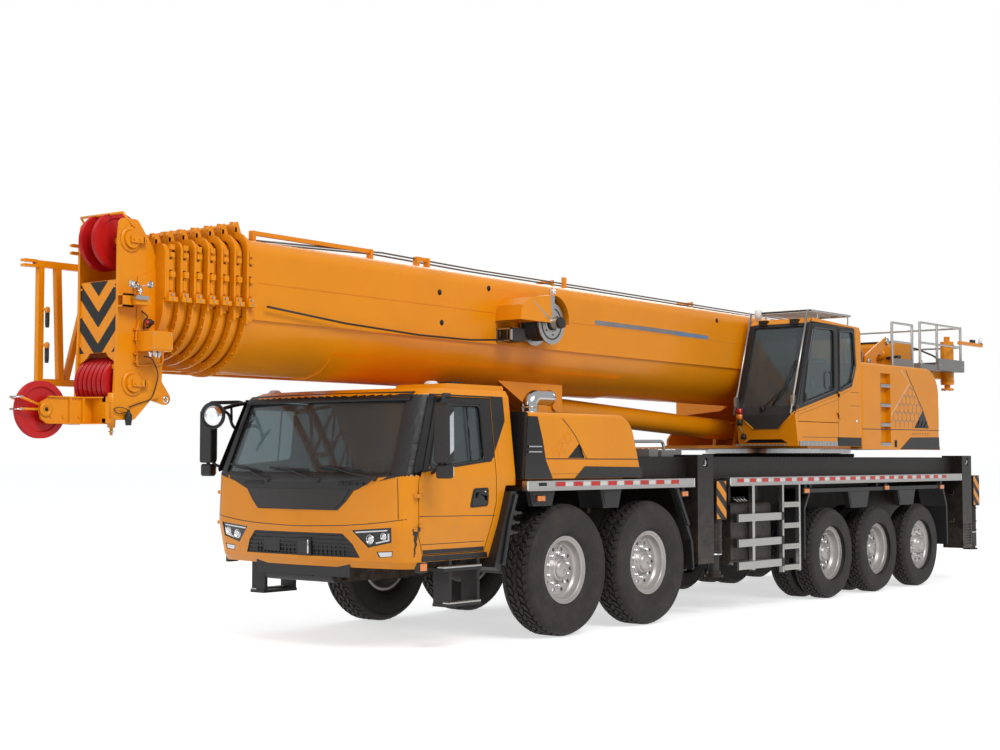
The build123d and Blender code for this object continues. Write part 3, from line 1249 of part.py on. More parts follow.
def boom_fittings():
    """Cable reel with its half-round cover, top rail, rope guide and hooks on the boom."""
    reel_u, reel_w = along(*REEL)
    side = BOOM_HALF + SEAT_GAP
    cover_y = (side, REEL_FACE)
    arch = boom_drum(reel_u, *cover_y, reel_w, REEL_COVER) - boom_drum(reel_u, side + 12, REEL_FACE + 9, reel_w,
                                                                      REEL_COVER - 12)
    arch &= boom_block(reel_u - 400, reel_u + 400, side - 10, REEL_FACE + 10, reel_w - 40, reel_w + 400)
    nose = boom_plate([(reel_u, reel_w - 40), (reel_u, reel_w + REEL_COVER), (reel_u + 430, reel_w + 210),
                       (reel_u + 560, reel_w + 120), (reel_u + 590, reel_w - 40)], side, REEL_FACE)
    nose -= boom_plate([(reel_u - 1, reel_w - 50), (reel_u - 1, reel_w + REEL_COVER - 12),
                        (reel_u + 425, reel_w + 197), (reel_u + 548, reel_w + 112), (reel_u + 577, reel_w - 50)],
                       side + 12, REEL_FACE - 12)
    disc = boom_drum(reel_u - 10, REEL_FACE - 70, REEL_FACE - 50, reel_w - 40, REEL_RADIUS)
    hub = boom_drum(reel_u - 10, side, REEL_FACE + 60, reel_w - 40, 60)
    back = boom_drum(reel_u - 10, side + 40, side + 60, reel_w - 40, REEL_RADIUS)
    guide_box = boom_block(reel_u + 330, reel_u + 560, side, side + 200, reel_w - 260, reel_w - 120)
    reel = fuse([arch, nose, disc, hub, back, guide_box])
    top = BOOM_TOP + SEAT_GAP
    shapes = [reel]
    for u0, u1 in TOP_RAILS:
        ends = [boom_block(u, u + 40, 230, 290, top, top + 120) for u in (u0, u1 - 40)]
        shapes.append(fuse(ends + [boom_block(u0, u1, 240, 280, top + 80, top + 120)]))
    for u in ROPE_GUIDES:
        sides = [boom_block(u, u + 30, y, y + 20, top, top + 130) for y in (-120, 100)]
        shapes.append(fuse(sides + [boom_drum(u + 15, -110, 110, top + 110, 20)]))
    return on_boom(Part() + shapes)


def jib_frame():
    """Folded lattice jib along the boom's right side."""
    y_near, y_far = -700, -1120
    z_low, z_high = 2690, 3420
    front, rear = 4060, -3440
    bays = 10
    pitch = (front - rear) / bays
    shapes = [square_bar((front, y, z), (rear, y, z), 70) for y in (y_near, y_far) for z in (z_low, z_high)]
    for index in range(bays + 1):
        s = front - index * pitch
        for y in (y_near, y_far):
            shapes.append(square_bar((s, y, z_low), (s, y, z_high), 40))
        for z in (z_low, z_high):
            shapes.append(square_bar((s, y_near, z), (s, y_far, z), 40))
    for index in range(bays):
        s0, s1 = front - index * pitch, front - (index + 1) * pitch
        if index % 2:
            s0, s1 = s1, s0
        for y in (y_near, y_far):
            shapes.append(square_bar((s0, y, z_low), (s1, y, z_high), 34))
        for z in (z_low, z_high):
            shapes.append(square_bar((s0, y_near, z), (s1, y_far, z), 34))
    for s in (3300, -2900):
        shapes.append(block(s, s - 60, BOOM_HALF * -1 - SEAT_GAP, y_near, 3250, 3420))
    y = y_near - 50
    shapes += [
        square_bar((front, y, 3420), (4320, y, 3550), 60), square_bar((4320, y, 3550), (4925, y, 3550), 60),
        square_bar((4866, y, 3560), (4866, y, 2500), 56), square_bar((4690, y, 3560), (4645, y, 2500), 56),
        square_bar((4320, y, 3540), (4590, y, 2500), 50), square_bar((4894, y, 2500), (4060, y, 2500), 60),
        square_bar((4090, y, 2480), (4090, y, z_low), 60),
    ]
    for z in (3516, 3560):
        prong = block(4915, 5045, y - 35, y + 35, z, z + 24)
        shapes.append(prong - post(5010, y, z - 5, z + 30, 14))
    return fuse(shapes)


# ---------------------------------------------------------------- luffing cylinder
def luff_axis():
    """Unit vector from the foot pin to the rod's eye, in station and height."""
    ds, dz = LUFF_EYE[0] - LUFF_BASE[0], LUFF_EYE[1] - LUFF_BASE[1]
    length = hypot(ds, dz)
    return ds / length, dz / length, length


def on_cylinder(shape):
    """Set a shape drawn along +X from the foot pin in its place."""
    ds, dz, _ = luff_axis()
    return Pos(at(LUFF_BASE[0]), 0, LUFF_BASE[1]) * (Rot(0, -degrees(atan2(dz, ds)), 0) * shape)


def luff_barrel():
    """Cylinder barrel with its foot eye."""
    _, _, length = luff_axis()
    tube = Pos(0, 0, 0) * (Rot(0, 90, 0) * Cylinder(LUFF_BARREL_RADIUS, length - 420,
                                                   align=(Align.CENTER, Align.CENTER, Align.MIN)))
    tube = Pos(130, 0, 0) * tube
    bore = Pos(260, 0, 0) * (Rot(0, 90, 0) * Cylinder(LUFF_ROD_RADIUS + RUN_GAP, length,
                                                     align=(Align.CENTER, Align.CENTER, Align.MIN)))
    eye = boom_drum(0, -110, 110, 0, 120) + boom_block(0, 140, -110, 110, -100, 100)
    body = eye + tube - bore
    return on_cylinder(body - boom_drum(0, -120, 120, 0, 55 + RUN_GAP))


def luff_rod():
    """Cylinder rod with its eye."""
    _, _, length = luff_axis()
    rod = Pos(300, 0, 0) * (Rot(0, 90, 0) * Cylinder(LUFF_ROD_RADIUS, length - 400,
                                                    align=(Align.CENTER, Align.CENTER, Align.MIN)))
    eye = boom_drum(length, -100, 100, 0, 110)
    body = rod + eye - boom_drum(length, -110, 110, 0, 62)
    return on_cylinder(body)


# ---------------------------------------------------------------- write the pieces
def main():
    shell = cab_shell()
    opcab_shell = opcab_solid(0) - opcab_solid(OPCAB_WALL)
    pieces = {
        "chassis_frame": chassis_frame(),
        "frame_nose": frame_nose(),
        "deck": deck(),
        "outrigger_housings": Part() + [housing("front"), housing("rear")],
        "axle_housings": axle_housings(),
        "engine_block": engine_block(),
        "carrier_cab": carrier_cab(shell),
        "carrier_cab_glass": carrier_cab_glass(),
        "carrier_cab_interior": carrier_cab_interior(),
        "cab_front": cab_front(),
        "carrier_door_left": carrier_door(shell, 1),
        "carrier_door_right": carrier_door(shell, -1),
        "engine_covers": Part() + [engine_covers(), exhaust()],
        "side_strips": side_strips(),
        "mudguards": mudguards(),
        "steps_and_guards": steps_and_guards(),
        "turntable": Part() + [turntable(), winches()],
        "side_covers": side_covers(),
        "platform_rails": platform_rails(),
        "operator_cab": operator_cab(opcab_shell),
        "operator_cab_glass": operator_cab_glass(),
        "operator_cab_interior": operator_cab_interior(),
        "operator_cab_door": operator_cab_door(opcab_shell),
        "base_boom": base_boom(),
        "boom_bracket": boom_bracket(),
        "boom_fittings": boom_fittings(),
        "jib_frame": jib_frame(),
        "head_sheaves": head_sheaves(),
        "luff_barrel": luff_barrel(),
        "luff_rod": luff_rod(),
    }
    for name in OUTRIGGER:
        pieces["outrigger_beam_" + name] = outrigger_beam(name)
        pieces["outrigger_jack_" + name] = outrigger_jack(name)
    for word, side in (("left", 1), ("right", -1)):
        for number in AXLE_STATION:
            pieces[f"wheel_{number}_{word}"] = wheel(number, side)
        for number in STEERED_AXLES:
            pieces[f"knuckle_{number}_{word}"] = knuckle(number, side)
    for number in range(1, SECTION_COUNT + 1):
        pieces[f"boom_section_{number}"] = boom_section(number)
    for name, shape in pieces.items():
        save(shape, name)


main()
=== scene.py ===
"""Looks of the mobile crane: materials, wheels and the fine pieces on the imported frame."""

import math

import bmesh
import bpy
import numpy as np
from mathutils import Matrix, Vector
from mathutils.bvhtree import BVHTree


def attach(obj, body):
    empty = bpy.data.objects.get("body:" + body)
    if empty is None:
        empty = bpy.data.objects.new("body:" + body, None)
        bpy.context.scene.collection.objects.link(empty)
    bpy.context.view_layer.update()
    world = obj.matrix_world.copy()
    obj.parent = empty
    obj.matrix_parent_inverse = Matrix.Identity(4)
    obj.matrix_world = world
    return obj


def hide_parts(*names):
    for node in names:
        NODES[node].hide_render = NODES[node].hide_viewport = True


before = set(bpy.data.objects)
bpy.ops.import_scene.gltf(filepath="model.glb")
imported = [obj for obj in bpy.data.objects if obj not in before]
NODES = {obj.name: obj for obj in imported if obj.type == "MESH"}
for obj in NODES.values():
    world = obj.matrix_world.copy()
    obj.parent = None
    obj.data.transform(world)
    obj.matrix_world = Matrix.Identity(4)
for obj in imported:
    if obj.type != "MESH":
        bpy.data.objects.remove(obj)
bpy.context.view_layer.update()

AXLE_1 = 2.85  # X of station 0; a station is the distance forward of axle 1
AXLES = {1: 0.0, 2: -1.525, 3: -5.775, 4: -7.125, 5: -8.475}
FRONT_TYRE = {"radius": 0.68, "width": 0.385, "seat": 0.318, "middle": 1.275}
REAR_TYRE = {"radius": 0.59, "width": 0.3, "seat": 0.318, "middle": 1.295}
TWIN_SPACING = 0.35
BOOM_TILT = math.radians(0.5)
BOOM_FOOT = (-8.4, 3.05)
SLEW = -6.9  # station of the slewing axis
WALL = 1.5  # y of the edge strips, the operator's cab and the side covers
COVER_WALL = 1.45  # y of the engine covers' sides
TREAD_PITCH = 0.03
CAB_LEAN = math.radians(82)  # how far the seats' backs are turned up
SINK = 0.002  # depth by which a laid-on panel goes into what carries it


# ---------------------------------------------------------------- materials
def srgb(r, g, b):
    """Linear colour of an sRGB one given from 0 to 255."""
    def lin(v):
        v /= 255
        return v / 12.92 if v <= 0.04045 else ((v + 0.055) / 1.055) ** 2.4
    return (lin(r), lin(g), lin(b), 1.0)


MATERIALS = {}


class Look:
    """A node material under construction."""

    def __init__(self, name):
        self.material = bpy.data.materials.new(name)
        self.material.use_nodes = True
        self.tree = self.material.node_tree
        self.shader = self.tree.nodes["Principled BSDF"]
        self.place = self.node("ShaderNodeTexCoord").outputs["Object"]
        MATERIALS[name] = self.material

    def node(self, kind, **inputs):
        """New node with its inputs set."""
        made = self.tree.nodes.new(kind)
        for key, value in inputs.items():
            made.inputs[key.replace("_", " ")].default_value = value
        return made

    def link(self, source, target):
        self.tree.links.new(source, target)

    def set(self, **values):
        for key, value in values.items():
            self.shader.inputs[key.replace("_", " ")].default_value = value

    def noise(self, scale, detail=4.0, rough=0.6, stretch=None):
        """Noise in the object's own coordinates."""
        made = self.node("ShaderNodeTexNoise", Scale=scale, Detail=detail, Roughness=rough)
        if stretch:
            mapping = self.node("ShaderNodeMapping")
            mapping.inputs["Scale"].default_value = stretch
            self.link(self.place, mapping.inputs["Vector"])
            self.link(mapping.outputs["Vector"], made.inputs["Vector"])
        else:
            self.link(self.place, made.inputs["Vector"])
        return made.outputs["Fac"]

    def ramp(self, source, stops):
        """Colours between stops of (position, colour)."""
        made = self.tree.nodes.new("ShaderNodeValToRGB")
        ramp = made.color_ramp
        while len(ramp.elements) < len(stops):
            ramp.elements.new(0.5)
        for element, (position, colour) in zip(ramp.elements, stops):
            element.position = position
            element.color = colour if len(colour) == 4 else (*colour, 1.0)
        self.link(source, made.inputs["Fac"])
        return made.outputs["Color"]

    def mix(self, factor, first, second):
        """Mixture of two colours or outputs."""
        made = self.tree.nodes.new("ShaderNodeMix")
        made.data_type = "RGBA"
        self.link(factor, made.inputs["Factor"])
        for socket, value in ((made.inputs["A"], first), (made.inputs["B"], second)):
            if isinstance(value, tuple):
                socket.default_value = value
            else:
                self.link(value, socket)
        return made.outputs["Result"]

    def maths(self, operation, first, second=None):
        """Maths node on numbers or outputs."""
        made = self.tree.nodes.new("ShaderNodeMath")
        made.operation = operation
        for index, value in enumerate((first, second)):
            if value is None:
                continue
            if isinstance(value, (int, float)):
                made.inputs[index].default_value = value
            else:
                self.link(value, made.inputs[index])
        return made.outputs["Value"]

    def axis(self, name):
        split = self.tree.nodes.new("ShaderNodeSeparateXYZ")
        self.link(self.place, split.inputs["Vector"])
        return split.outputs[name]

    def lozenges(self, first, second, size):
        """Height of crossed waves that run slantwise over two axes."""
        a, b = self.axis(first), self.axis(second)
        one, two = (self.maths("SINE", self.maths("MULTIPLY", self.maths(way, a, b), math.pi / size))
            for way in ("ADD", "SUBTRACT"))
        return self.maths("ABSOLUTE", self.maths("MULTIPLY", one, two))

    def colour(self, source):
        self.link(source, self.shader.inputs["Base Color"])

    def rough(self, source):
        self.link(source, self.shader.inputs["Roughness"])

    def bump(self, height, strength, distance):
        """Bump from a height output."""
        made = self.node("ShaderNodeBump", Strength=strength, Distance=distance)
        self.link(height, made.inputs["Height"])
        self.link(made.outputs["Normal"], self.shader.inputs["Normal"])


def grey(v):
    return (v, v, v, 1.0)


def paint(name, colour, dusty, roughness=0.34, coat=0.12):
    """Sprayed paint: faint cloudiness, orange peel, and a little road dust low down."""
    look = Look(name)
    r, g, b, _ = colour
    cloud = look.noise(1.3, 5, 0.6)
    base = look.ramp(cloud, [(0.3, (r * 0.93, g * 0.92, b * 0.9)), (0.75, (r * 1.04, g * 1.03, b * 1.02))])
    height = look.axis("Z")
    low = look.maths("MULTIPLY_ADD", height, -0.55)
    low.node.inputs[2].default_value = 1.0
    speck = look.ramp(look.noise(9, 8, 0.7), [(0.38, grey(0)), (0.72, grey(1))])
    amount = look.maths("MULTIPLY", low, speck)
    amount = look.maths("MULTIPLY", look.maths("MAXIMUM", amount, 0.0), dusty)
    look.colour(look.mix(amount, base, srgb(150, 132, 110)))
    look.rough(look.maths("ADD", look.maths("MULTIPLY", look.noise(30, 3), 0.12), roughness - 0.06))
    look.set(Coat_Weight=coat, Coat_Roughness=0.12, Specular_IOR_Level=0.3)
    look.bump(look.noise(420, 2), 0.05, 0.0006)


def plastic(name, colour, roughness=0.55, grain=900, strength=0.25):
    """Moulded plastic or satin paint with a fine grain."""
    look = Look(name)
    r, g, b, _ = colour
    look.colour(look.ramp(look.noise(6, 5), [(0.3, (r * 0.85, g * 0.85, b * 0.85)),
        (0.75, (r * 1.2, g * 1.2, b * 1.2))]))
    look.rough(look.maths("ADD", look.maths("MULTIPLY", look.noise(25, 4), 0.2), roughness - 0.1))
    look.bump(look.noise(grain, 3), strength, 0.0004)


def metal(name, colour, roughness, stretch=None, scratch=60, metallic=1.0):
    """Bare or plated metal with fine drawn scratches."""
    look = Look(name)
    look.set(Metallic=metallic)
    r, g, b, _ = colour
    grain = look.noise(scratch, 6, 0.7, stretch)
    look.colour(look.ramp(grain, [(0.25, (r * 0.82, g * 0.82, b * 0.82)), (0.8, (r, g, b))]))
    look.rough(look.maths("ADD", look.maths("MULTIPLY", grain, 0.22), roughness - 0.1))
    look.bump(grain, 0.12, 0.0006)


def rubber(name):
    """Tyre rubber with dust on it."""
    look = Look(name)
    dust = look.ramp(look.noise(5, 8, 0.7), [(0.42, grey(0)), (0.85, grey(0.7))])
    fine = look.ramp(look.noise(60, 6), [(0.3, srgb(24, 21, 20)), (0.8, srgb(38, 33, 31))])
    look.colour(look.mix(dust, fine, srgb(66, 57, 49)))
    look.rough(look.maths("ADD", look.maths("MULTIPLY", look.noise(30, 4), 0.2), 0.62))
    look.bump(look.noise(500, 4), 0.3, 0.0006)


def tread_plate(name, colour, metallic):
    """Walkway plate with raised crossed lozenges."""
    look = Look(name)
    raised = look.maths("POWER", look.lozenges("X", "Y", TREAD_PITCH), 3.0)
    r, g, b, _ = colour
    look.colour(look.mix(raised, (r * 0.8, g * 0.8, b * 0.8, 1), (*(min(v * 1.5, 1) for v in (r, g, b)), 1)))
    look.set(Metallic=metallic, Roughness=0.5)
    look.bump(raised, 0.6, 0.002)


def mesh_look(name, colour, size, gap):
    """Dark panel of pressed diamond mesh seen from the front; its holes are painted near black, a painted shade seen
    through them.
    """
    look = Look(name)
    holes = look.lozenges("Y", "Z", size)
    r, g, b, _ = colour
    # The hole centres are painted near black: painted shade seen through the mesh, not the metal's own colour.
    look.colour(look.ramp(holes, [(gap, (r, g, b)), (gap + 0.15, (r * 0.2, g * 0.2, b * 0.2))]))
    look.set(Roughness=0.45)
    look.bump(look.maths("SUBTRACT", 1.0, holes), 0.8, 0.004)


def glass(name, tint, transmission):
    """Tinted pane."""
    look = Look(name)
    look.colour(look.ramp(look.noise(2, 3), [(0.3, tint[:3]), (0.8, tuple(v * 1.08 for v in tint[:3]))]))
    look.set(Roughness=0.02, Transmission_Weight=transmission, IOR=1.45, Specular_IOR_Level=0.6)


def lens(name, colour):
    """Ribbed lamp glass."""
    look = Look(name)
    rib = look.node("ShaderNodeTexWave", Scale=40.0, Distortion=0.0)
    rib.bands_direction = "Z"
    look.link(look.place, rib.inputs["Vector"])
    r, g, b, _ = colour
    look.colour(look.ramp(rib.outputs["Fac"], [(0.2, (r * 0.75, g * 0.75, b * 0.75)), (0.8, (r, g, b))]))
    look.set(Roughness=0.12, Coat_Weight=0.8, Coat_Roughness=0.03)
    look.bump(rib.outputs["Fac"], 0.3, 0.001)


def fabric(name, colour):
    """Woven seat cloth."""
    look = Look(name)
    weave = look.node("ShaderNodeTexWave", Scale=240.0, Distortion=1.5)
    look.link(look.place, weave.inputs["Vector"])
    r, g, b, _ = colour
    look.colour(look.ramp(weave.outputs["Fac"],
        [(0.2, (r * 0.6, g * 0.6, b * 0.6)), (0.8, (r * 1.3, g * 1.3, b * 1.3))]))
    look.set(Roughness=0.85, Sheen_Weight=0.3)
    look.bump(weave.outputs["Fac"], 0.4, 0.001)


AMBER = srgb(226, 140, 3)
paint("paint", AMBER, 0.25)
paint("paint_boom", srgb(227, 139, 3), 0.0)
paint("dark_paint", srgb(30, 25, 23), 0.3, 0.42, 0.0)
paint("frame_paint", srgb(24, 20, 18), 0.45, 0.5, 0.0)
paint("grey_paint", srgb(120, 118, 116), 0.4)
paint("white_paint", srgb(225, 225, 222), 0.1)
paint("red_paint", srgb(188, 22, 24), 0.15, 0.35, 0.2)
plastic("black", srgb(20, 18, 18))
plastic("black_gloss", srgb(14, 13, 13), 0.14, 900, 0.04)
plastic("trim", srgb(26, 24, 24), 0.5)
plastic("dash", srgb(38, 38, 40), 0.7)
plastic("cast", srgb(44, 40, 37), 0.6, 200, 0.5)
plastic("seal", srgb(12, 12, 12), 0.45)
metal("steel", srgb(205, 205, 205), 0.16, (1, 40, 40))
metal("chrome", srgb(225, 225, 225), 0.08)
metal("rim", srgb(186, 180, 176), 0.38, None, 45, 0.6)
metal("aluminium", srgb(190, 188, 184), 0.34, (0.3, 30, 30))
metal("rope", srgb(110, 108, 104), 0.45, None, 200, 0.8)
rubber("rubber")
tread_plate("plate", srgb(70, 66, 64), 0.3)
tread_plate("plate_light", srgb(168, 166, 162), 0.8)
mesh_look("mesh", srgb(46, 44, 43), 0.012, 0.35)
glass("glass_dark", srgb(70, 78, 80), 0.85)
glass("glass_tint", srgb(150, 165, 168), 0.9)
lens("lens_clear", srgb(235, 238, 240))
lens("lens_amber", srgb(240, 130, 10))
lens("lens_red", srgb(200, 16, 12))
fabric("fabric", srgb(52, 52, 56))
metal("mirror", srgb(235, 238, 240), 0.11)
plastic("band_grey", srgb(118, 116, 118), 0.4, 900, 0.05)
plastic("band_blue", srgb(96, 122, 152), 0.4, 900, 0.05)
plastic("reflector_red", srgb(190, 24, 20), 0.3, 700, 0.3)
plastic("reflector_white", srgb(206, 202, 198), 0.3, 700, 0.3)


# ---------------------------------------------------------------- shapes
def at(station):
    """X of a station."""
    return AXLE_1 + station


def turns(count, start=0.0):
    """Angles that share a full turn."""
    return [2 * math.pi * k / count + start for k in range(count)]


def doubled_area(points):
    """Twice the signed area of an outline."""
    return sum(a[0] * b[1] - b[0] * a[1] for a, b in zip(points, points[1:] + points[:1]))


def linked(name, mesh):
    """Blender object of a mesh, put in the scene."""
    made = bpy.data.objects.new(name, mesh)
    bpy.context.scene.collection.objects.link(made)
    return made


def worked(edit, name, look):
    """Blender object of an edited mesh in one look."""
    mesh = bpy.data.meshes.new(name)
    edit.to_mesh(mesh)
    edit.free()
    mesh.materials.append(MATERIALS[look])
    return linked(name, mesh)


def round_edges(made, width, angle):
    """Rounds the edges that are sharper than an angle in degrees."""
    edge = made.modifiers.new("edge", "BEVEL")
    edge.width, edge.segments, edge.limit_method, edge.angle_limit = width, 2, "ANGLE", math.radians(angle)


class Shape:
    """Vertices and faces of one piece, given in (station, y, z); look is for parts that name none."""

    def __init__(self, look=None):
        self.look = look
        self.points, self.faces, self.looks, self.smooth = [], [], [], []

    def add(self, points, faces, look, smooth=False):
        """Adds faces over new points."""
        start = len(self.points)
        self.points += [tuple(p) for p in points]
        for face in faces:
            self.faces.append([start + i for i in face])
            self.looks.append(look or self.look)
            self.smooth.append(smooth)
        return self

    def box(self, s0, s1, y0, y1, z0, z1, look=None):
        """Adds a box between two places on each axis."""
        s0, s1 = sorted((s0, s1))
        y0, y1 = sorted((y0, y1))
        z0, z1 = sorted((z0, z1))
        points = [(s, y, z) for s in (s0, s1) for y in (y0, y1) for z in (z0, z1)]
        faces = [(0, 1, 3, 2), (4, 6, 7, 5), (0, 4, 5, 1), (2, 3, 7, 6), (0, 2, 6, 4), (1, 5, 7, 3)]
        return self.add(points, faces, look)

    def boxes(self, look, *sizes):
        """Adds boxes of one look."""
        for size in sizes:
            self.box(*size, look)

    def prism(self, points, axis, low, high, look=None):
        """Outline through axis 'y' of (station, z), 'x' of (y, z) or 'z' of (station, y)."""
        def place(p, t):
            if axis == "y":
                return (p[0], t, p[1])
            if axis == "x":
                return (t, p[0], p[1])
            return (p[0], p[1], t)
        if (doubled_area(points) > 0) == (axis == "y"):
            points = points[::-1]
        low, high = sorted((low, high))
        n = len(points)
        ring = [place(p, low) for p in points] + [place(p, high) for p in points]
        faces = [tuple(range(n))[::-1], tuple(range(n, 2 * n))]
        faces += [(i, (i + 1) % n, (i + 1) % n + n, i + n) for i in range(n)]
        return self.add(ring, faces, look)

    def tube(self, points, radius, look=None, sides=10, closed=False):
        """Round tube along points, its rings turned with the path."""
        path = [Vector(p) for p in points]
        rings = []
        up = None
        for index, here in enumerate(path):
            before = path[index - 1] if index or closed else here
            after = path[(index + 1) % len(path)] if index < len(path) - 1 or closed else here
            along = ((here - before).normalized() + (after - here).normalized()).normalized()
            if up is None:
                up = along.orthogonal().normalized()
            up = (up - along * up.dot(along)).normalized()
            across = along.cross(up)
            spread = 1.0
            if closed and (here - before).length > 1e-6 and (after - here).length > 1e-6:
                spread = 1 / max((here - before).normalized().dot(along), 0.5)
            rings.append([here + (up * math.cos(a) + across * math.sin(a)) * radius * spread for a in turns(sides)])
        verts = [tuple(p) for ring in rings for p in ring]
        faces = []
        count = len(rings)
        for j in range(count if closed else count - 1):
            k = (j + 1) % count
            faces += [(j * sides + i, j * sides + (i + 1) % sides, k * sides + (i + 1) % sides, k * sides + i)
                for i in range(sides)]
        self.add(verts, faces, look, True)
        if not closed:
            last = (count - 1) * sides
            start = len(self.points) - len(verts)
            for face in (tuple(range(sides))[::-1], tuple(range(last, last + sides))):
                self.faces.append([start + i for i in face])
                self.looks.append(look or self.look)
                self.smooth.append(False)
        return self

    def turned(self, profile, centre, axis, look=None, steps=32, smooth=True):
        """Closed (along, radius) outline turned about an axis through centre."""
        axes = {"x": ((1, 0, 0), (0, 1, 0), (0, 0, 1)), "y": ((0, 1, 0), (0, 0, 1), (1, 0, 0)),
            "z": ((0, 0, 1), (1, 0, 0), (0, 1, 0))}
        along, one, two = (Vector(v) for v in axes[axis])
        c, n = Vector(centre), len(profile)
        if doubled_area(profile) > 0:
            profile = profile[::-1]
        verts = []
        for a in turns(steps):
            radial = one * math.cos(a) + two * math.sin(a)
            verts += [tuple(c + along * u + radial * r) for u, r in profile]
        faces = [(j * n + i, j * n + (i + 1) % n, (j + 1) % steps * n + (i + 1) % n, (j + 1) % steps * n + i)
            for j in range(steps) for i in range(n)]
        return self.add(verts, faces, look, smooth)

    def solid(self, profile, *rest, **more):
        """Turned profile that is closed on its axis."""
        ends = [(profile[0][0], 0.0)], [(profile[-1][0], 0.0)] if profile[-1][1] else []
        return self.turned(ends[0] + profile + ends[1], *rest, **more)

    def disc(self, low, high, radius, *rest, **more):
        """Round disc between two places along its axis."""
        return self.solid([(low, radius), (high, radius)], *rest, **more)

    def ring(self, low, high, inner, outer, *rest, **more):
        """Round band between two radii."""
        return self.turned([(low, inner), (low, outer), (high, outer), (high, inner)], *rest, **more)

    def rod(self, start, end, radius, look, sides=16):
        """Adds a straight round bar."""
        return self.tube([start, end], radius, look, sides)

    def both(self):
        """Adds the mirror image on the other side."""
        count, total = len(self.points), len(self.faces)
        self.points += [(s, -y, z) for s, y, z in self.points]
        for i in range(total):
            self.faces.append([v + count for v in reversed(self.faces[i])])
            self.looks.append(self.looks[i])
            self.smooth.append(self.smooth[i])
        return self

    def join(self, other, move=(0, 0, 0), flip=False):
        """Adds a copy of another shape, moved and, with flip, mirrored in y first."""
        start = len(self.points)
        sign = -1 if flip else 1
        self.points += [(s + move[0], sign * y + move[1], z + move[2]) for s, y, z in other.points]
        for face, look, smooth in zip(other.faces, other.looks, other.smooth):
            turned = [start + v for v in face]
            self.faces.append(turned[::-1] if flip else turned)
            self.looks.append(look)
            self.smooth.append(smooth)
        return self

    def moved(self, change):
        """Passes every point through a function."""
        self.points = [tuple(change(Vector(p))) for p in self.points]
        return self

    def piece(self, name, body, slot=None, bevel=0.0, weld=False):
        """Makes the Blender object and lets it ride on a body."""
        mesh = bpy.data.meshes.new(name)
        mesh.from_pydata([(at(s), y, z) for s, y, z in self.points], [], self.faces)
        names = sorted(set(self.looks))
        for look in names:
            mesh.materials.append(MATERIALS[look])
        index = {look: i for i, look in enumerate(names)}
        mesh.polygons.foreach_set("material_index", [index[look] for look in self.looks])
        mesh.polygons.foreach_set("use_smooth", self.smooth)
        made = linked(name, mesh)
        if weld:
            edit = bmesh.new()
            edit.from_mesh(mesh)
            bmesh.ops.remove_doubles(edit, verts=edit.verts, dist=1e-5)
            bmesh.ops.recalc_face_normals(edit, faces=edit.faces)
            edit.to_mesh(mesh)
            edit.free()
        mesh.update()
        if bevel:
            round_edges(made, bevel, 40)
        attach(made, body)
        return made


def rounded_path(points, radius, steps=5):
    """Polyline with its corners turned into arcs."""
    out = [Vector(points[0])]
    for before, here, after in zip(points, points[1:], points[2:]):
        a, h, b = Vector(before), Vector(here), Vector(after)
        da, db = (a - h), (b - h)
        reach = min(radius, da.length * 0.45, db.length * 0.45)
        p, q = h + da.normalized() * reach, h + db.normalized() * reach
        for i in range(steps + 1):
            t = i / steps
            out.append(p * (1 - t) ** 2 + h * 2 * t * (1 - t) + q * t ** 2)
    out.append(Vector(points[-1]))
    return [tuple(p) for p in out]


def tree_of(name):
    """Search tree of a CAD node."""
    mesh = NODES[name].data
    return BVHTree.FromPolygons([v.co.copy() for v in mesh.vertices], [list(p.vertices) for p in mesh.polygons])


def applique(tree, outline, thick, look, name, cell=0.06, bevel=0.0):
    """Thin panel on the chassis's cab that follows the CAD surface behind an outline of (y, z)."""
    edit = bmesh.new()
    edit.faces.new([edit.verts.new((0.0, y, z)) for y, z in outline])
    bmesh.ops.triangulate(edit, faces=edit.faces[:])
    for _ in range(7):
        longer = [e for e in edit.edges if e.calc_length() > cell]
        if not longer:
            break
        bmesh.ops.subdivide_edges(edit, edges=longer, cuts=1)
        bmesh.ops.triangulate(edit, faces=edit.faces[:])
        bmesh.ops.beautify_fill(edit, faces=edit.faces[:], edges=edit.edges[:])
    ray = Vector((-1, 0, 0))
    missed = []
    for v in edit.verts:
        hit = tree.ray_cast(Vector((20.0, v.co.y, v.co.z)), ray, 40.0)[0]
        if hit is None:
            missed.append(v)
        else:
            v.co = hit
    for v in missed:
        near = [e.other_vert(v) for e in v.link_edges if e.other_vert(v) not in missed]
        if near:
            v.co.x = sum(o.co.x for o in near) / len(near)
    bmesh.ops.recalc_face_normals(edit, faces=edit.faces[:])
    if sum((f.normal * f.calc_area() for f in edit.faces), Vector()).dot(ray) > 0:
        bmesh.ops.reverse_faces(edit, faces=edit.faces[:])
    edit.normal_update()
    normals = {v: v.normal.copy() for v in edit.verts}
    lower = {v: edit.verts.new(v.co - normals[v] * SINK) for v in list(edit.verts)
        if any(e.is_boundary for e in v.link_edges)}
    walls = []
    for e in edit.edges:
        if e.is_boundary:
            a, b = e.verts
            loop = list(e.link_faces[0].verts)
            walls.append((b, a) if loop[(loop.index(a) + 1) % len(loop)] == b else (a, b))
    for v in normals:
        v.co = v.co + normals[v] * thick
    for a, b in walls:
        edit.faces.new((a, b, lower[b], lower[a]))
    made = worked(edit, name, look)
    if bevel:
        round_edges(made, bevel, 50)
    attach(made, "chassis")


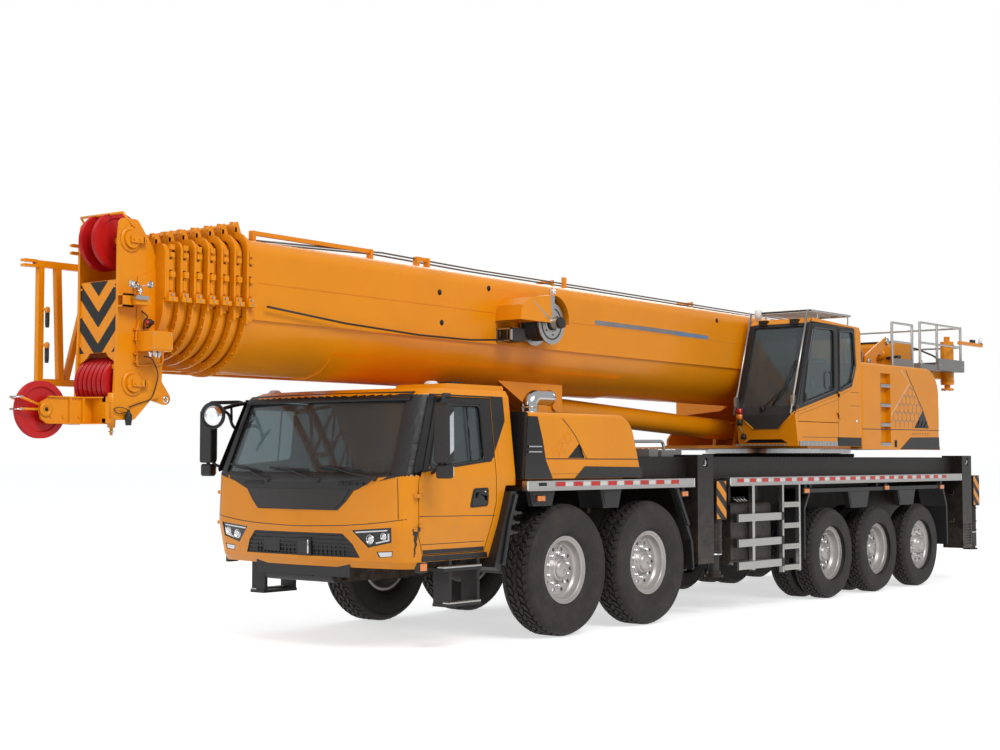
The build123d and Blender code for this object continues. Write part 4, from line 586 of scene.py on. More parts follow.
def dress(name, *looks, choose=None):
    """Gives a CAD node its materials; choose maps faces' centres and normals to material numbers."""
    mesh = NODES[name].data
    mesh.materials.clear()
    for look in looks:
        mesh.materials.append(MATERIALS[look])
    count = len(mesh.polygons)
    index = np.zeros(count, dtype=np.int32)
    if choose is not None:
        centres, normals = np.empty(count * 3), np.empty(count * 3)
        mesh.polygons.foreach_get("center", centres)
        mesh.polygons.foreach_get("normal", normals)
        c, n = centres.reshape(-1, 3), normals.reshape(-1, 3)
        c[:, 0] -= AXLE_1
        index = np.asarray(choose(c, n), dtype=np.int32)
    mesh.polygons.foreach_set("material_index", index)


# ---------------------------------------------------------------- CAD nodes' materials
def cab_front_at(y, z):
    """Station of the cab's bowed front."""
    heights = (0.86, 1.18, 1.654, 2.44, 2.5)
    fronts = (2.42, 2.47, 2.45, 2.15, 2.0)
    return float(np.interp(z, heights, fronts)) - 0.11 * (y / 1.19) ** 2


def cab_side_at(z):
    """Half width of the cab."""
    return float(np.interp(z, (0.86, 1.18, 1.654, 2.44, 2.5), (1.35, 1.38, 1.38, 1.29, 1.25)))


def deck_look(c, n):
    """Tread plate on the walkways."""
    z, nz = c[:, 2], n[:, 2]
    return (nz > 0.9) & ((z > 1.84) | (abs(z - 1.54) < 0.01))


def cab_look(c, n):
    """Trim inside, gloss black in the lamp holes, pillars and jambs."""
    (x, y, z), (nx, ny, nz) = c.T, n.T
    inward = nx * (1.6 - x) - ny * y + nz * (1.6 - z)
    lamp_hole = (x > 2.2) & (z < 1.19) & (z > 0.88) & (nx < 0.5)
    pillar = (x > 1.9) & (z > 1.665) & (z < 2.41)
    jamb = (abs(ny) < 0.5) & (z > 1.69) & (z < 2.435) & (abs(nz) < 0.8)
    return np.where((inward > 0.25) & (z > 0.92) & (z < 2.45), 1, np.where(lamp_hole | pillar | jamb, 2, 0))


def front_look(c, n):
    """Black grille and bumper beam, gloss black lamp recesses."""
    x, y, z = c.T
    high, wide = z > 0.865, abs(y)
    lamp = high & (wide > 0.7 + (1.15 - z) * 0.765)
    beam = (z < 0.793) | ((wide < 0.652) & (x > 2.335) & (x < 2.373) & (z < 0.842))
    return np.where(lamp, 2, np.where(high | beam, 1, 0))


def cover_look(c, n):
    """Black centre, front, louvres and vents; steel exhaust pipe."""
    (x, y, z), nx = c.T, n[:, 0]
    pipe = (z > 2.3) & (x > -0.35) & (x < 0.15)
    face = (nx > 0.7) & (x > 0.62)
    louvre = (x > 0.45) & (abs(y) > 1.43) & (z > 1.84) & (z < 2.1)
    vent = (x < 0.01) & (x > -0.3) & (abs(y) > 1.37) & (abs(y) < 1.4495) & (z > 1.82) & (z < 1.99)
    return np.where((abs(y) < 0.55) | face | louvre | vent, 1, np.where(pipe, 2, 0))


def turntable_look(c, n):
    """Grey winches and steel ring."""
    x, y, z = c.T
    winch = (abs(x + 9.33) < 0.275) & (abs(y) < 0.57) & (z > 2.22) & (z < 2.78)
    ring = (z > 1.895) & (z < 1.955)
    return np.where(winch, 2, np.where(ring, 1, 0))


def platform_look(c, n):
    """Grey rails, tread plate walkways, metal boards and painted lifting parts."""
    (x, y, z), nz = c.T, n[:, 2]
    lifting = (np.hypot(x + 10.35, abs(y) - 1.05) < 0.11) & (z > 2.88) & (z < 3.73)
    arm = (x < -10.52) | ((abs(z - 3.625) < 0.03) & (abs(y - 1.21) < 0.035) & (x < -10.44))
    board = (z < 3.342) & (z > 3.158)
    look = np.where((z > 3.236) | (x > -8.7), 2, np.where(nz > 0.9, 1, 0))
    return np.where(lifting | arm, 0, np.where(board, 3, look))


def opcab_look(c, n):
    """Trim towards the cab's room and on the window openings, bare metal on the roof's guard."""
    (x, y, z), (nx, ny, nz) = c.T, n.T
    inward = nx * (-5.6 - x) + ny * (1.07 - y) + nz * (2.85 - z) > 0.2
    reveal = (abs(nx) > 0.3) & (y > 1.44) & (z > 2.45) & (x < -4.95) & (x > -6.4)
    reveal |= (y > 1.4) & (z > 2.5) & (x > -5.3)
    guard = (z > 3.7) | ((z > 3.625) & (abs(nz) < 0.5))
    return np.where(guard, 2, (inward | reveal) & (z < 3.63) & (z > 2.02))


def fittings_look(c, n):
    """Cast reel guide and metal reel disc."""
    x, y, z = c.T
    reach = np.hypot(x + 0.51, z - 3.29)  # from the cable reel's axle
    disc = (reach < 0.235) & (y > 0.55)
    guide = (x > -0.2) & (y > 0.54) & (z < 3.23)
    return np.where(disc, 2, np.where(guide, 1, 0))


def tail_look(c, n):
    """Black lamp carriers."""
    x, y, z = c.T
    return np.where((x < -10.6) & (abs(y) > 0.9) & (z < 0.71), 1, 0)


def steps_look(c, n):
    """Black cab steps and dark brackets behind the side guards."""
    x, y = c[:, 0], c[:, 1]
    return np.where(x > 1.0, 2, (abs(y) < 1.401) & (x < -1.0))


def beam_look(c, n):
    """Black outer end."""
    return (abs(c[:, 1]) > 1.49) & (abs(n[:, 1]) > 0.9)


PLAIN_LOOKS = {  # CAD nodes of one look
    "aluminium": ["side_strips"],
    "cast": ["engine_block", "axle_housings",
             *(f"knuckle_{k}_{side}" for k in (1, 2, 5) for side in ("left", "right"))],
    "chrome": ["luff_rod"],
    "dark_paint": ["outrigger_housings"],
    "fabric": ["operator_cab_interior"],
    "frame_paint": ["frame_nose"],
    "glass_tint": ["carrier_cab_glass", "operator_cab_glass"],
    "paint": ["side_covers"],
    "paint_boom": ["base_boom", "boom_bracket", "jib_frame", "luff_barrel",
                   *(f"boom_section_{k}" for k in range(1, 7))],
    "red_paint": ["head_sheaves"],
    "trim": ["mudguards"],
}
for look, nodes in PLAIN_LOOKS.items():
    for node in nodes:
        dress(node, look)
dress("chassis_frame", "frame_paint", "black", choose=tail_look)
dress("deck", "frame_paint", "plate", choose=deck_look)
dress("carrier_cab", "paint", "trim", "black_gloss", choose=cab_look)
dress("carrier_cab_interior", "fabric", "dash", choose=lambda c, n: c[:, 0] > 1.78)
dress("cab_front", "paint", "black", "black_gloss", choose=front_look)
dress("engine_covers", "paint", "black", "steel", choose=cover_look)
dress("steps_and_guards", "aluminium", "dark_paint", "black", choose=steps_look)
dress("turntable", "paint", "steel", "grey_paint", choose=turntable_look)
dress("platform_rails", "paint", "plate_light", "aluminium", "grey_paint", choose=platform_look)
dress("operator_cab", "paint", "trim", "aluminium", choose=opcab_look)
dress("boom_fittings", "paint_boom", "cast", "aluminium", choose=fittings_look)
for place in ("front_left", "front_right", "rear_left", "rear_right"):
    dress("outrigger_beam_" + place, "dark_paint", "black", choose=beam_look)
    dress("outrigger_jack_" + place, "cast", "dark_paint", choose=lambda c, n: c[:, 2] < 0.52)


def door_look(c, n, middle, fittings, upper, depth, rim):
    """Painted panel, black fittings and window frame, trim towards the cab's room, and the pane.

    middle is in the cab's room, fittings the y beyond which mirrors and handles stand, upper the lower edge of
    the window frame, depth how far each face lies behind the cab's side, and rim the mask of the frame's faces."""
    y, z, ny = c[:, 1], c[:, 2], n[:, 1]
    inner = sum(n[:, i] * (middle[i] - c[:, i]) for i in range(3)) > 0.2
    frame_edge = (z > upper) & ((abs(ny) < 0.5) | rim)
    pane = (abs(ny) > 0.8) & (depth > 0.012) & (depth < 0.036) & (z > upper)
    return np.where(pane, 3, np.where((abs(y) > fittings) | (frame_edge & ~inner), 1, np.where(inner, 2, 0)))


def cab_door_look(c, n):
    """Looks of the carrier cab's doors, which lean with its side."""
    depth = np.array([cab_side_at(z) for z in c[:, 2]]) - abs(c[:, 1])
    return door_look(c, n, (1.6, 0.0, 1.6), 1.43, 1.69, depth, c[:, 2] > 1.8)


def operator_door_look(c, n):
    """Looks of the operator's cab's door, which stands upright."""
    rim = (c[:, 2] > 3.0) | ((c[:, 2] > 2.56) & (c[:, 0] > -5.12))
    return door_look(c, n, (-5.6, 1.07, 2.85), 1.6, 2.45, WALL - c[:, 1], rim)


for node, choose in (("carrier_door_left", cab_door_look), ("carrier_door_right", cab_door_look),
        ("operator_cab_door", operator_door_look)):
    dress(node, "paint", "black", "trim", "glass_tint", choose=choose)


# ---------------------------------------------------------------- wheels
def tread_blocks(shape, radius, half, middle, count):
    """Slanted tread blocks in five rows that lean alternately."""
    pitch = 2 * math.pi / count
    reach = (half - 0.03) / 2.5
    for row in range(5):
        lean = 1 if row % 2 else -1
        centre = (row - 2) * reach
        wide, long = reach * 0.86, pitch * radius * 0.84
        for number in range(count):
            turn = (number + (0.5 if row % 2 else 0.0)) * pitch
            corners = []
            for a, b in ((-0.5, -0.42), (-0.1, -0.5), (0.5, -0.3), (0.5, 0.42), (0.1, 0.5), (-0.5, 0.3)):
                along, across = a * long, b * wide
                corners.append((along + lean * 0.55 * across, across + lean * 0.22 * along))
            rings = []
            for shrink, drop in ((1.0, 0.02), (1.0, 0.004), (0.88, 0.0)):
                ring = []
                for along, across in corners:
                    y = centre + across * shrink
                    edge = max(0.0, abs(y) - (half - 0.062))
                    r = radius - drop - 0.004 * (abs(y) / half) ** 2 - edge * 0.85
                    angle = turn + along * shrink / radius
                    ring.append((r * math.sin(angle), middle + y, radius + r * math.cos(angle)))
                rings.append(ring)
            points = [p for ring in rings for p in ring]
            faces = [tuple(range(12, 18))]
            for low in (0, 6):
                faces += [(low + i, low + (i + 1) % 6, low + 6 + (i + 1) % 6, low + 6 + i) for i in range(6)]
            shape.add(points, faces, "rubber")


def tyre(size, middle, count):
    """Tyre with side walls, ribs, shoulders and tread."""
    radius, half, seat = size["radius"], size["width"] / 2, size["seat"]
    side = [(inset, seat + rise) for inset, rise in ((0.062, 0), (0.06, 0.036), (0.05, 0.044), (0.04, 0.058),
        (0.034, 0.062), (0.02, 0.088))]
    side += [(inset, radius - drop) for inset, drop in ((0.01, 0.235), (0.0065, 0.226), (0.004, 0.19), (0, 0.15),
        (0.001, 0.105), (0.006, 0.07), (0.003, 0.064), (0.006, 0.058), (0.012, 0.038), (0.03, 0.026), (0.06, 0.018))]
    profile = [(half - inset, r) for inset, r in side] + [(0.0, radius - 0.016)]
    profile += [(-(half - inset), r) for inset, r in reversed(side)]
    shape = Shape().turned(profile, (0, middle, radius), "y", "rubber", steps=80)
    tread_blocks(shape, radius, half, middle, count)
    return shape


def nut(shape, y, radius, angle, ring):
    """Wheel nut with its washer and stud."""
    c = Vector((ring * math.sin(angle), y, radius + ring * math.cos(angle)))
    levels = [(0.0, 0.021), (0.004, 0.021), (0.004, 0.0165), (0.022, 0.0165), (0.026, 0.012), (0.026, 0.009),
        (0.034, 0.008)]
    points, faces = [], []
    for rise, r in levels:
        points += [(c.x + r * math.cos(k * math.pi / 3), c.y + rise, c.z + r * math.sin(k * math.pi / 3))
            for k in range(6)]
    for level in range(len(levels) - 1):
        low = 6 * level
        faces += [(low + i, low + 6 + i, low + 6 + (i + 1) % 6, low + (i + 1) % 6) for i in range(6)]
    faces.append(tuple(range(6 * len(levels) - 6, 6 * len(levels)))[::-1])
    shape.add(points, faces, "steel")


def holed_disc(shape, y, thick, radius, inner, outer, ring, hole, count):
    """Wheel disc between two radii with round hand holes."""
    step = 2 * math.pi / count
    sides = 16
    for number in range(count):
        turn = (number + 0.5) * step
        outline = []
        for k in range(sides):
            side, part = divmod(k, 4)
            t = part / 4
            if side == 0:
                r, a = outer, turn - step / 2 + step * t
            elif side == 1:
                r, a = outer + (inner - outer) * t, turn + step / 2
            elif side == 2:
                r, a = inner, turn + step / 2 - step * t
            else:
                r, a = inner + (outer - inner) * t, turn - step / 2
            outline.append((r * math.sin(a), radius + r * math.cos(a)))
        centre = (ring * math.sin(turn), radius + ring * math.cos(turn))
        edge = []
        for x, z in outline:
            a = math.atan2(z - centre[1], x - centre[0])
            edge.append((centre[0] + hole * math.cos(a), centre[1] + hole * math.sin(a)))
        points = [(x, y, z) for x, z in outline] + [(x, y, z) for x, z in edge]
        points += [(x, y - thick, z) for x, z in edge]
        faces = []
        for k in range(sides):
            m = (k + 1) % sides
            faces += [(k, k + sides, m + sides, m), (k + sides, k + 2 * sides, m + 2 * sides, m + sides)]
        shape.add(points, [f[::-1] for f in faces], "rim")


def rim(size, middle, disc, nut_ring):
    """Painted steel rim: stepped flange, barrel, disc with hand holes, hub with its cap and ten nuts."""
    radius, seat = size["radius"], size["seat"] - 0.001
    half = size["width"] / 2 - 0.056
    face = disc + 0.016
    lip = [(half + out, seat + rise) for out, rise in ((-0.008, 0.033), (0, 0.033), (0.002, 0.028), (0, 0.02),
        (-0.006, 0.014), (-0.003, 0.01), (-0.006, 0.002), (-0.014, -0.004), (-0.011, -0.009), (-0.015, -0.016),
        (-0.03, -0.02))]
    barrel = [(face + 0.03, seat - 0.03), (face + 0.01, seat - 0.044), (face, seat - 0.06)]
    if face + 0.03 > half - 0.034:
        barrel = [(half - 0.036, seat - 0.026), (face, seat - 0.06)]
    back = [(disc, seat - 0.06), (disc - 0.02, seat - 0.03), (-half + 0.03, seat - 0.024), (-half, seat - 0.016),
        (-half, seat + 0.033), (-half + 0.008, seat + 0.033), (-half + 0.012, seat), (half - 0.012, seat)]
    shape = Shape().turned(lip + barrel + back, (0, middle, radius), "y", "rim", steps=64)
    holed_disc(shape, middle + face, 0.016, radius, 0.15, seat - 0.0595, 0.2165, 0.021, 10)
    hub = [(face + out, r) for out, r in ((-0.07, 0.15), (0, 0.15), (0.003, 0.136), (0.01, 0.128), (0.036, 0.116),
        (0.04, 0.112), (0.041, 0.098), (0.046, 0.096), (0.066, 0.088), (0.078, 0.068), (0.082, 0.05), (0.0825, 0.046),
        (0.08, 0.043), (0.084, 0.036), (0.087, 0), (-0.07, 0))]
    shape.turned(hub, (0, middle, radius), "y", "rim", steps=48)
    for angle in turns(10):
        nut(shape, middle + face, radius, angle, nut_ring)
    valve = [(0.02, middle + y, radius + z) for y,
        z in ((face + 0.008, 0.212), (face + 0.03, 0.242), (half - 0.025, 0.258))]
    shape.tube(valve, 0.005, "steel", 8)
    return shape


def inner_rim(size, middle, disc):
    """Rim of a twin wheel's inner tyre, with the spacer to the outer one."""
    radius, seat = size["radius"], size["seat"] - 0.001
    half = size["width"] / 2 - 0.056
    profile = [(half, seat + 0.033), (half, seat - 0.018), (disc + 0.016, seat - 0.06), (disc + 0.016, 0.165),
        (TWIN_SPACING - 0.041, 0.165), (TWIN_SPACING - 0.041, 0.075), (disc - 0.06, 0.075), (disc - 0.06, 0.15),
        (disc, 0.165), (disc, seat - 0.06), (-half, seat - 0.018), (-half, seat + 0.033),
        (-half + 0.008, seat + 0.033), (-half + 0.012, seat), (half - 0.012, seat), (half - 0.008, seat + 0.033)]
    return Shape().turned(profile, (0, middle, radius), "y", "rim", steps=48)


def wheels():
    """All ten wheel bodies; axles 3 and 4 have twin tyres."""
    kinds = {}
    for number, size, disc in ((1, FRONT_TYRE, 0.02), (3, REAR_TYRE, -0.04), (5, REAR_TYRE, 0.06)):
        count = 46 if number == 1 else 44
        rubber_part = tyre(size, size["middle"], count)
        metal_part = rim(size, size["middle"], disc, 0.164 if number == 3 else 0.1675)
        if number == 3:
            inner = size["middle"] - TWIN_SPACING
            rubber_part.join(tyre(size, inner, count))
            metal_part.join(inner_rim(size, inner, 0.06))
        kinds[number] = rubber_part, metal_part
    for number, station in AXLES.items():
        rubber_part, metal_part = kinds[{2: 1, 4: 3}.get(number, number)]
        for side in ("left", "right"):
            body = f"wheel_{number}_{side}"
            for word, part, slot in (("tyre", rubber_part, "tyre"), ("rim", metal_part, "aluminium")):
                made = Shape().join(part, (station, 0, 0), side == "right")
                piece = made.piece(f"{word}_{number}_{side}", body, slot)
                if word == "tyre":
                    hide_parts(body)


wheels()


# ---------------------------------------------------------------- carrier cab
def mirrored(points):
    """Outline of the other side."""
    return [(-y, z) for y, z in reversed(points)]


def side_panel(points, thick, look, wide_at, sink=0.003):
    """Flat panel of (station, z) points laid on a left side whose half width depends on height."""
    shape = Shape().prism(points, "y", -sink, thick, look)
    return shape.moved(lambda p: (p.x, p.y + wide_at(p.z), p.z))


def strip_between(points, width):
    """Outline of a narrow band of constant width round a polyline."""
    out, back = [], []
    for i, p in enumerate(points):
        a, b = points[max(i - 1, 0)], points[min(i + 1, len(points) - 1)]
        d = Vector((b[0] - a[0], b[1] - a[1])).normalized()
        out.append((p[0] - d.y * width / 2, p[1] + d.x * width / 2))
        back.append((p[0] + d.y * width / 2, p[1] - d.x * width / 2))
    return out + back[::-1]


def both_ways(tree, outline, thick, look, name, cell=0.04):
    """Front applique and its mirror image."""
    applique(tree, outline, thick, look, name + "_left", cell)
    applique(tree, mirrored(outline), thick, look, name + "_right", cell)


def on_cab(points, thick, look="black", sink=0.003):
    """Flat panel on the carrier cab's left side."""
    return side_panel(points, thick, look, cab_side_at, sink)


def cab_face():
    """Cowl with its mesh panel, seams, pillars, header, sill, vents and wipers."""
    tree = tree_of("carrier_cab")
    low = [(0.555, 1.335), (0.655, 1.42), (0.745, 1.524), (0.98, 1.604), (1.335, 1.676)]
    top = [(1.345, 1.7), (1.148, 1.661), (0.66, 1.603)]
    cowl = top + mirrored(top) + mirrored(low) + low
    applique(tree, cowl, 0.005, "black", "cab_cowl")
    half = [(0.0, 1.333), (0.51, 1.348), (0.6, 1.405), (0.7, 1.532)]
    applique(tree, half + mirrored(half[1:]), 0.011, "mesh", "cab_mesh_panel", bevel=0.003)
    pillar = [(1.152, 1.664), (1.345, 1.7), (1.335, 1.8), (1.262, 2.43), (1.088, 2.428)]
    both_ways(tree, pillar, 0.004, "trim", "cab_pillar", 0.06)
    crease = [(0.0, 1.178), (0.15, 1.179), (0.6, 1.192), (0.9, 1.212), (1.16, 1.24), (1.31, 1.262)]
    applique(tree, strip_between(mirrored(crease[1:]) + crease, 0.007), 0.0012, "seal", "cab_belt_seam",
        0.05)
    seam = [(1.245, 1.262), (1.238, 1.45), (1.225, 1.64)]
    both_ways(tree, strip_between(seam, 0.006), 0.0012, "seal", "cab_corner_seam", 0.05)

    shape = Shape()
    # Black header below the roof and black sill below the windscreen.
    for low, high, lift in (((2.375, 2.375, 2.375), 2.464, 0.008), ((1.6, 1.6, 1.664), 1.694, 0.006)):
        places = [-1.148 + 2.296 * k / 24 for k in range(25)]
        points = []
        for y in places:
            bottom = float(np.interp(abs(y), (0.0, 0.66, 1.148), low))
            for part, out in ((0.0, 0.001), (0.03, lift), (0.35, lift), (0.97, lift), (1.0, 0.001)):
                z = bottom + (high - bottom) * part
                points.append((cab_front_at(y, z) + out, y, z))
        faces = [(i * 5 + j, (i + 1) * 5 + j, (i + 1) * 5 + j + 1, i * 5 + j + 1) for i in range(24)
            for j in range(4)]
        shape.add(points, faces, "black", True)
    for y0, y1 in ((-0.8, -0.48), (0.55, 0.87)):
        for k in range(4):
            y = y0 + (y1 - y0) * (k + 0.5) / 4
            s = cab_front_at(y, 1.59)
            for z in (1.576, 1.592):
                shape.box(s - 0.02, s + 0.014, y - 0.036, y + 0.036, z, z + 0.008, "black_gloss")
    for y, arm, first, second in ((-0.413, (-0.843, 1.749), (-1.097, 1.769), (-0.532, 1.702)),
            (0.296, (-0.129, 1.728), (-0.41, 1.739), (0.155, 1.715)),
            (0.978, (0.409, 1.751), (0.261, 1.744), (0.8, 1.728))):
        z = 1.622 if abs(y) < 0.6 else 1.64
        s = cab_front_at(y, z)
        shape.solid([(-0.02, 0.03), (0.012, 0.028), (0.03, 0.02), (0.036, 0.0)], (s, y, z), "x", "black", steps=20)
        tip = (cab_front_at(arm[0], arm[1]) + 0.03, arm[0], arm[1])
        knee = (cab_front_at((y + arm[0]) / 2, (z + arm[1]) / 2) + 0.042, (y + arm[0]) / 2, (z + arm[1]) / 2)
        shape.tube([(s + 0.026, y, z), knee, tip], 0.009, "black", 8)
        middle = Vector((tip[0] - 0.008, tip[1], tip[2]))
        ends = [Vector((cab_front_at(*p) + 0.016, *p)) for p in (first, second)]
        shape.tube([ends[0], (ends[0] + ends[1]) / 2 + Vector((0.006, 0, 0)), ends[1]], 0.01, "seal", 6)
        shape.tube([ends[0] * 0.7 + ends[1] * 0.3, middle, ends[0] * 0.3 + ends[1] * 0.7], 0.006, "black", 6)
    shape.piece("cab_wipers", "chassis", "black_plastic")


def cab_sides():
    """Window surround, sill, rear window's cover, side lamps and beacons."""
    frame_parts = [[(1.895, 2.425), (2.155, 1.715), (2.245, 1.688), (2.262, 1.72), (1.962, 2.438)],
        [(1.895, 2.425), (1.962, 2.438), (0.877, 2.438), (0.877, 2.422)],
        [(1.068, 2.422), (0.877, 2.422), (0.873, 2.197), (1.068, 1.896)],]
    shape = Shape()
    for points in frame_parts:
        shape.join(on_cab(points, 0.004))
    shape.join(on_cab([(1.18, 0.864), (2.13, 0.864), (2.13, 0.918), (1.2, 0.918)], 0.006))
    # Painted cover over the lower part of the small rear window, below the black band.
    shape.join(on_cab([(1.028, 1.77), (1.028, 2.1), (0.842, 2.36), (0.842, 1.93)], 0.003, "paint", 0.004))
    shape.both().piece("cab_side_trim", "chassis", "black_plastic", bevel=0.001)
    lamps = Shape()
    lamps.box(2.04, 2.17, 1.3, 1.346, 0.76, 0.858, "trim")
    lamps.box(2.06, 2.15, 1.34, 1.356, 0.778, 0.846, "lens_amber")
    lamps.both().piece("cab_side_lamps", "chassis", "black_plastic", bevel=0.004)
    roof = Shape()
    for y, s, base in ((-1.0, 1.82, 2.496), (0.9, 1.5, 2.549)):
        roof.solid([(0.0, 0.075), (0.012, 0.075), (0.018, 0.066), (0.03, 0.058), (0.038, 0.04), (0.04, 0.0)],
            (s, y, base), "z", "lens_clear", steps=28)
        roof.disc(-0.003, 0.006, 0.082, (s, y, base), "z", "white_paint", steps=28)
    roof.box(1.16, 1.3, 0.84, 0.99, 2.545, 2.586, "trim")
    roof.piece("cab_beacons", "chassis", "black_plastic", bevel=0.004)


def door_fittings(side):
    """A cab door's window surround, handle, seams, lock and mirror glasses."""
    body = "carrier_door_" + side
    flip = side == "right"
    surround = [[(1.131, 1.799), (2.152, 1.695), (2.06, 1.735), (1.24, 1.81)],
        [(2.152, 1.695), (1.878, 2.404), (1.85, 2.35), (2.06, 1.735)],
        [(1.878, 2.404), (1.086, 2.404), (1.24, 2.35), (1.85, 2.35)], [(1.086, 2.404), (1.086, 1.87), (1.131, 1.799),
        (1.24, 1.81), (1.24, 2.35)],]
    shape = Shape()
    for points in surround:
        shape.join(on_cab(points, 0.004))
    window = rounded_path([(1.5, 1.7865, 0), (2.052, 1.743, 0), (1.847, 2.342, 0), (1.248, 2.342, 0),
        (1.248, 1.81, 0), (1.49, 1.7873, 0)], 0.05, 5)
    ring = [(s, cab_side_at(z) + 0.002, z) for s, z, _ in window]
    shape.tube(ring, 0.011, "black_gloss", 8, closed=True)
    shape.tube([(1.44, cab_side_at(1.8) + 0.003, 1.8), (1.44, cab_side_at(2.34) + 0.003, 2.34)], 0.008, "black_gloss",
        8)
    shape.join(on_cab([(1.25, 0.934), (2.116, 0.934), (2.127, 0.972), (1.252, 0.972)], 0.006))
    for points in ([(1.09, 1.268), (2.186, 1.288)], [(1.25, 1.024), (2.15, 1.024)]):
        shape.join(on_cab(strip_between(points, 0.006), 0.001, "seal"))
    handle = rounded_path([(1.34, 1.356, 0), (1.478, 1.352, 0), (1.421, 1.537, 0), (1.199, 1.543, 0),
        (1.205, 1.366, 0), (1.33, 1.357, 0)], 0.03, 4)
    outline = [(s, z) for s, z, _ in handle][1:-1]
    shape.join(on_cab(outline, 0.007))
    inner = [(1.33 + (s - 1.33) * 0.86, 1.45 + (z - 1.45) * 0.82) for s, z in outline]
    shape.join(on_cab(inner, 0.01, "black_gloss"))
    grip = rounded_path([(1.235, 1.391, 1.42), (1.24, 1.412, 1.47), (1.36, 1.412, 1.49), (1.385, 1.391, 1.45)], 0.02,
        4)
    shape.tube(grip, 0.012, "trim", 8)
    shape.solid([(0.0, 0.014), (0.008, 0.012), (0.01, 0.0)], (1.255, cab_side_at(1.5) + 0.008, 1.5), "y", "chrome",
        steps=16)
    shape.boxes("mirror", (2.096, 2.111, 1.585, 1.72, 1.815, 2.3), (2.096, 2.111, 1.595, 1.718, 1.662, 1.75))
    shape.prism([(2.128, 1.9), (2.182, 1.86), (2.188, 2.21), (2.132, 2.26)], "y", 1.743, 1.7455, "mirror")
    shape.tube([(2.16, 1.6, 1.81), (2.13, 1.57, 1.76), (2.06, 1.44, 1.7), (2.02, 1.385, 1.69)], 0.016, "black", 8)
    Shape().join(shape, flip=flip).piece("door_trim_" + side, body, "black_plastic")


def lamp_unit(shape, y, z, radius):
    """Round projector with its chrome bezel, set on the cab's front."""
    s = cab_front_at(min(abs(y), 1.19), z) - max(0.0, abs(y) - 1.14) * 0.55
    profile = [(-0.03, 0.0), (-0.03, radius * 1.15), (0.0, radius * 1.15), (0.002, radius), (-0.01, radius * 0.94),
        (-0.006, radius * 0.8)]
    shape.turned(profile, (s, y, z), "x", "chrome", steps=28)
    glass_profile = [(-0.012, 0.0), (-0.01, radius * 0.86), (-0.003, radius * 0.66), (0.001, radius * 0.3),
        (0.002, 0.0)]
    shape.turned(glass_profile, (s, y, z), "x", "lens_clear", steps=28)


def head_lamps():
    """Light units, strips and covers in the lamp recesses, and the grille's back and tow box."""
    tree = tree_of("cab_front")
    for name, outline in (("lamp_strip", [(0.775, 1.126), (1.13, 1.152), (1.13, 1.163), (0.76, 1.138)]),
            ("lamp_strip_low", [(0.99, 1.03), (1.14, 1.06), (1.146, 1.128), (1.132, 1.128), (1.126, 1.072),
            (0.985, 1.041)]), ("fog_lamp", [(1.0, 0.949), (1.152, 0.958), (1.145, 0.918), (1.02, 0.907)])):
        both_ways(tree, outline, 0.006, "lens_clear", name)
    shape = Shape()
    for side in (-1, 1):
        lamp_unit(shape, side * 0.925, 1.07, 0.04)
        lamp_unit(shape, side * 1.08, 1.1, 0.03)
    shape.piece("lamp_units", "chassis", "aluminium")
    grille = Shape()
    for k in range(-11, 12):
        y = k * 0.055
        if abs(y - 0.11) < 0.11:
            continue
        s = cab_front_at(y, 1.0) - 0.022
        grille.box(s - 0.004, s + 0.012, y - 0.004, y + 0.004, 0.905, 1.104, "black")
    s = cab_front_at(0.11, 0.98)
    grille.prism([(0.02, 0.9), (0.2, 0.9), (0.2, 1.062), (0.02, 1.062)], "x", s - 0.02, s + 0.012, "black")
    grille.prism([(0.04, 0.92), (0.15, 0.92), (0.15, 1.042), (0.04, 1.042)], "x", s + 0.01, s + 0.016, "black_gloss")
    grille.rod((s + 0.014, 0.168, 0.915), (s + 0.014, 0.168, 1.045), 0.01, "steel", 10)
    s = cab_front_at(-0.36, 0.98)
    grille.prism([(-0.47, 0.925), (-0.25, 0.925), (-0.25, 1.055), (-0.47, 1.055)], "x", s - 0.02, s + 0.006, "trim")
    grille.piece("grille_parts", "chassis", "black_plastic", bevel=0.002)


def right_mirror():
    """Round front mirror on its forked arm at the cab's right corner."""
    shape = Shape()
    centre = Vector((2.455, -1.235, 2.262))
    disc = Shape()
    disc.turned([(-0.04, 0.0), (-0.034, 0.085), (-0.008, 0.138), (0.01, 0.141), (0.015, 0.129), (0.008, 0.124),
        (0.013, 0.06), (0.015, 0.0)], (0.0, 0.0, 0.0), "x", "black", steps=40)
    disc.turned([(0.0145, 0.0), (0.013, 0.06), (0.0088, 0.1235), (0.011, 0.125), (0.02, 0.06), (0.0225, 0.0)],
        (0.0, 0.0, 0.0), "x", "mirror", steps=40)
    turn = Matrix.Rotation(math.radians(22), 3, "Z")
    shape.join(disc.moved(lambda p: tuple(centre + turn @ p)))
    upper = rounded_path([(2.43, -1.24, 2.27), (2.32, -1.25, 2.335), (2.16, -1.245, 2.375), (2.02, -1.235, 2.4)],
        0.05, 4)
    lower = rounded_path([(2.33, -1.25, 2.325), (2.22, -1.262, 2.29), (2.16, -1.278, 2.17), (2.1, -1.29, 2.13)], 0.05,
        4)
    shape.tube(upper, 0.02, "black", 10)
    shape.tube(lower, 0.016, "black", 10)
    shape.tube([(2.2, -1.247, 2.365), (2.17, -1.275, 2.22)], 0.013, "black", 8)
    shape.piece("front_mirror", "chassis", "black_plastic")


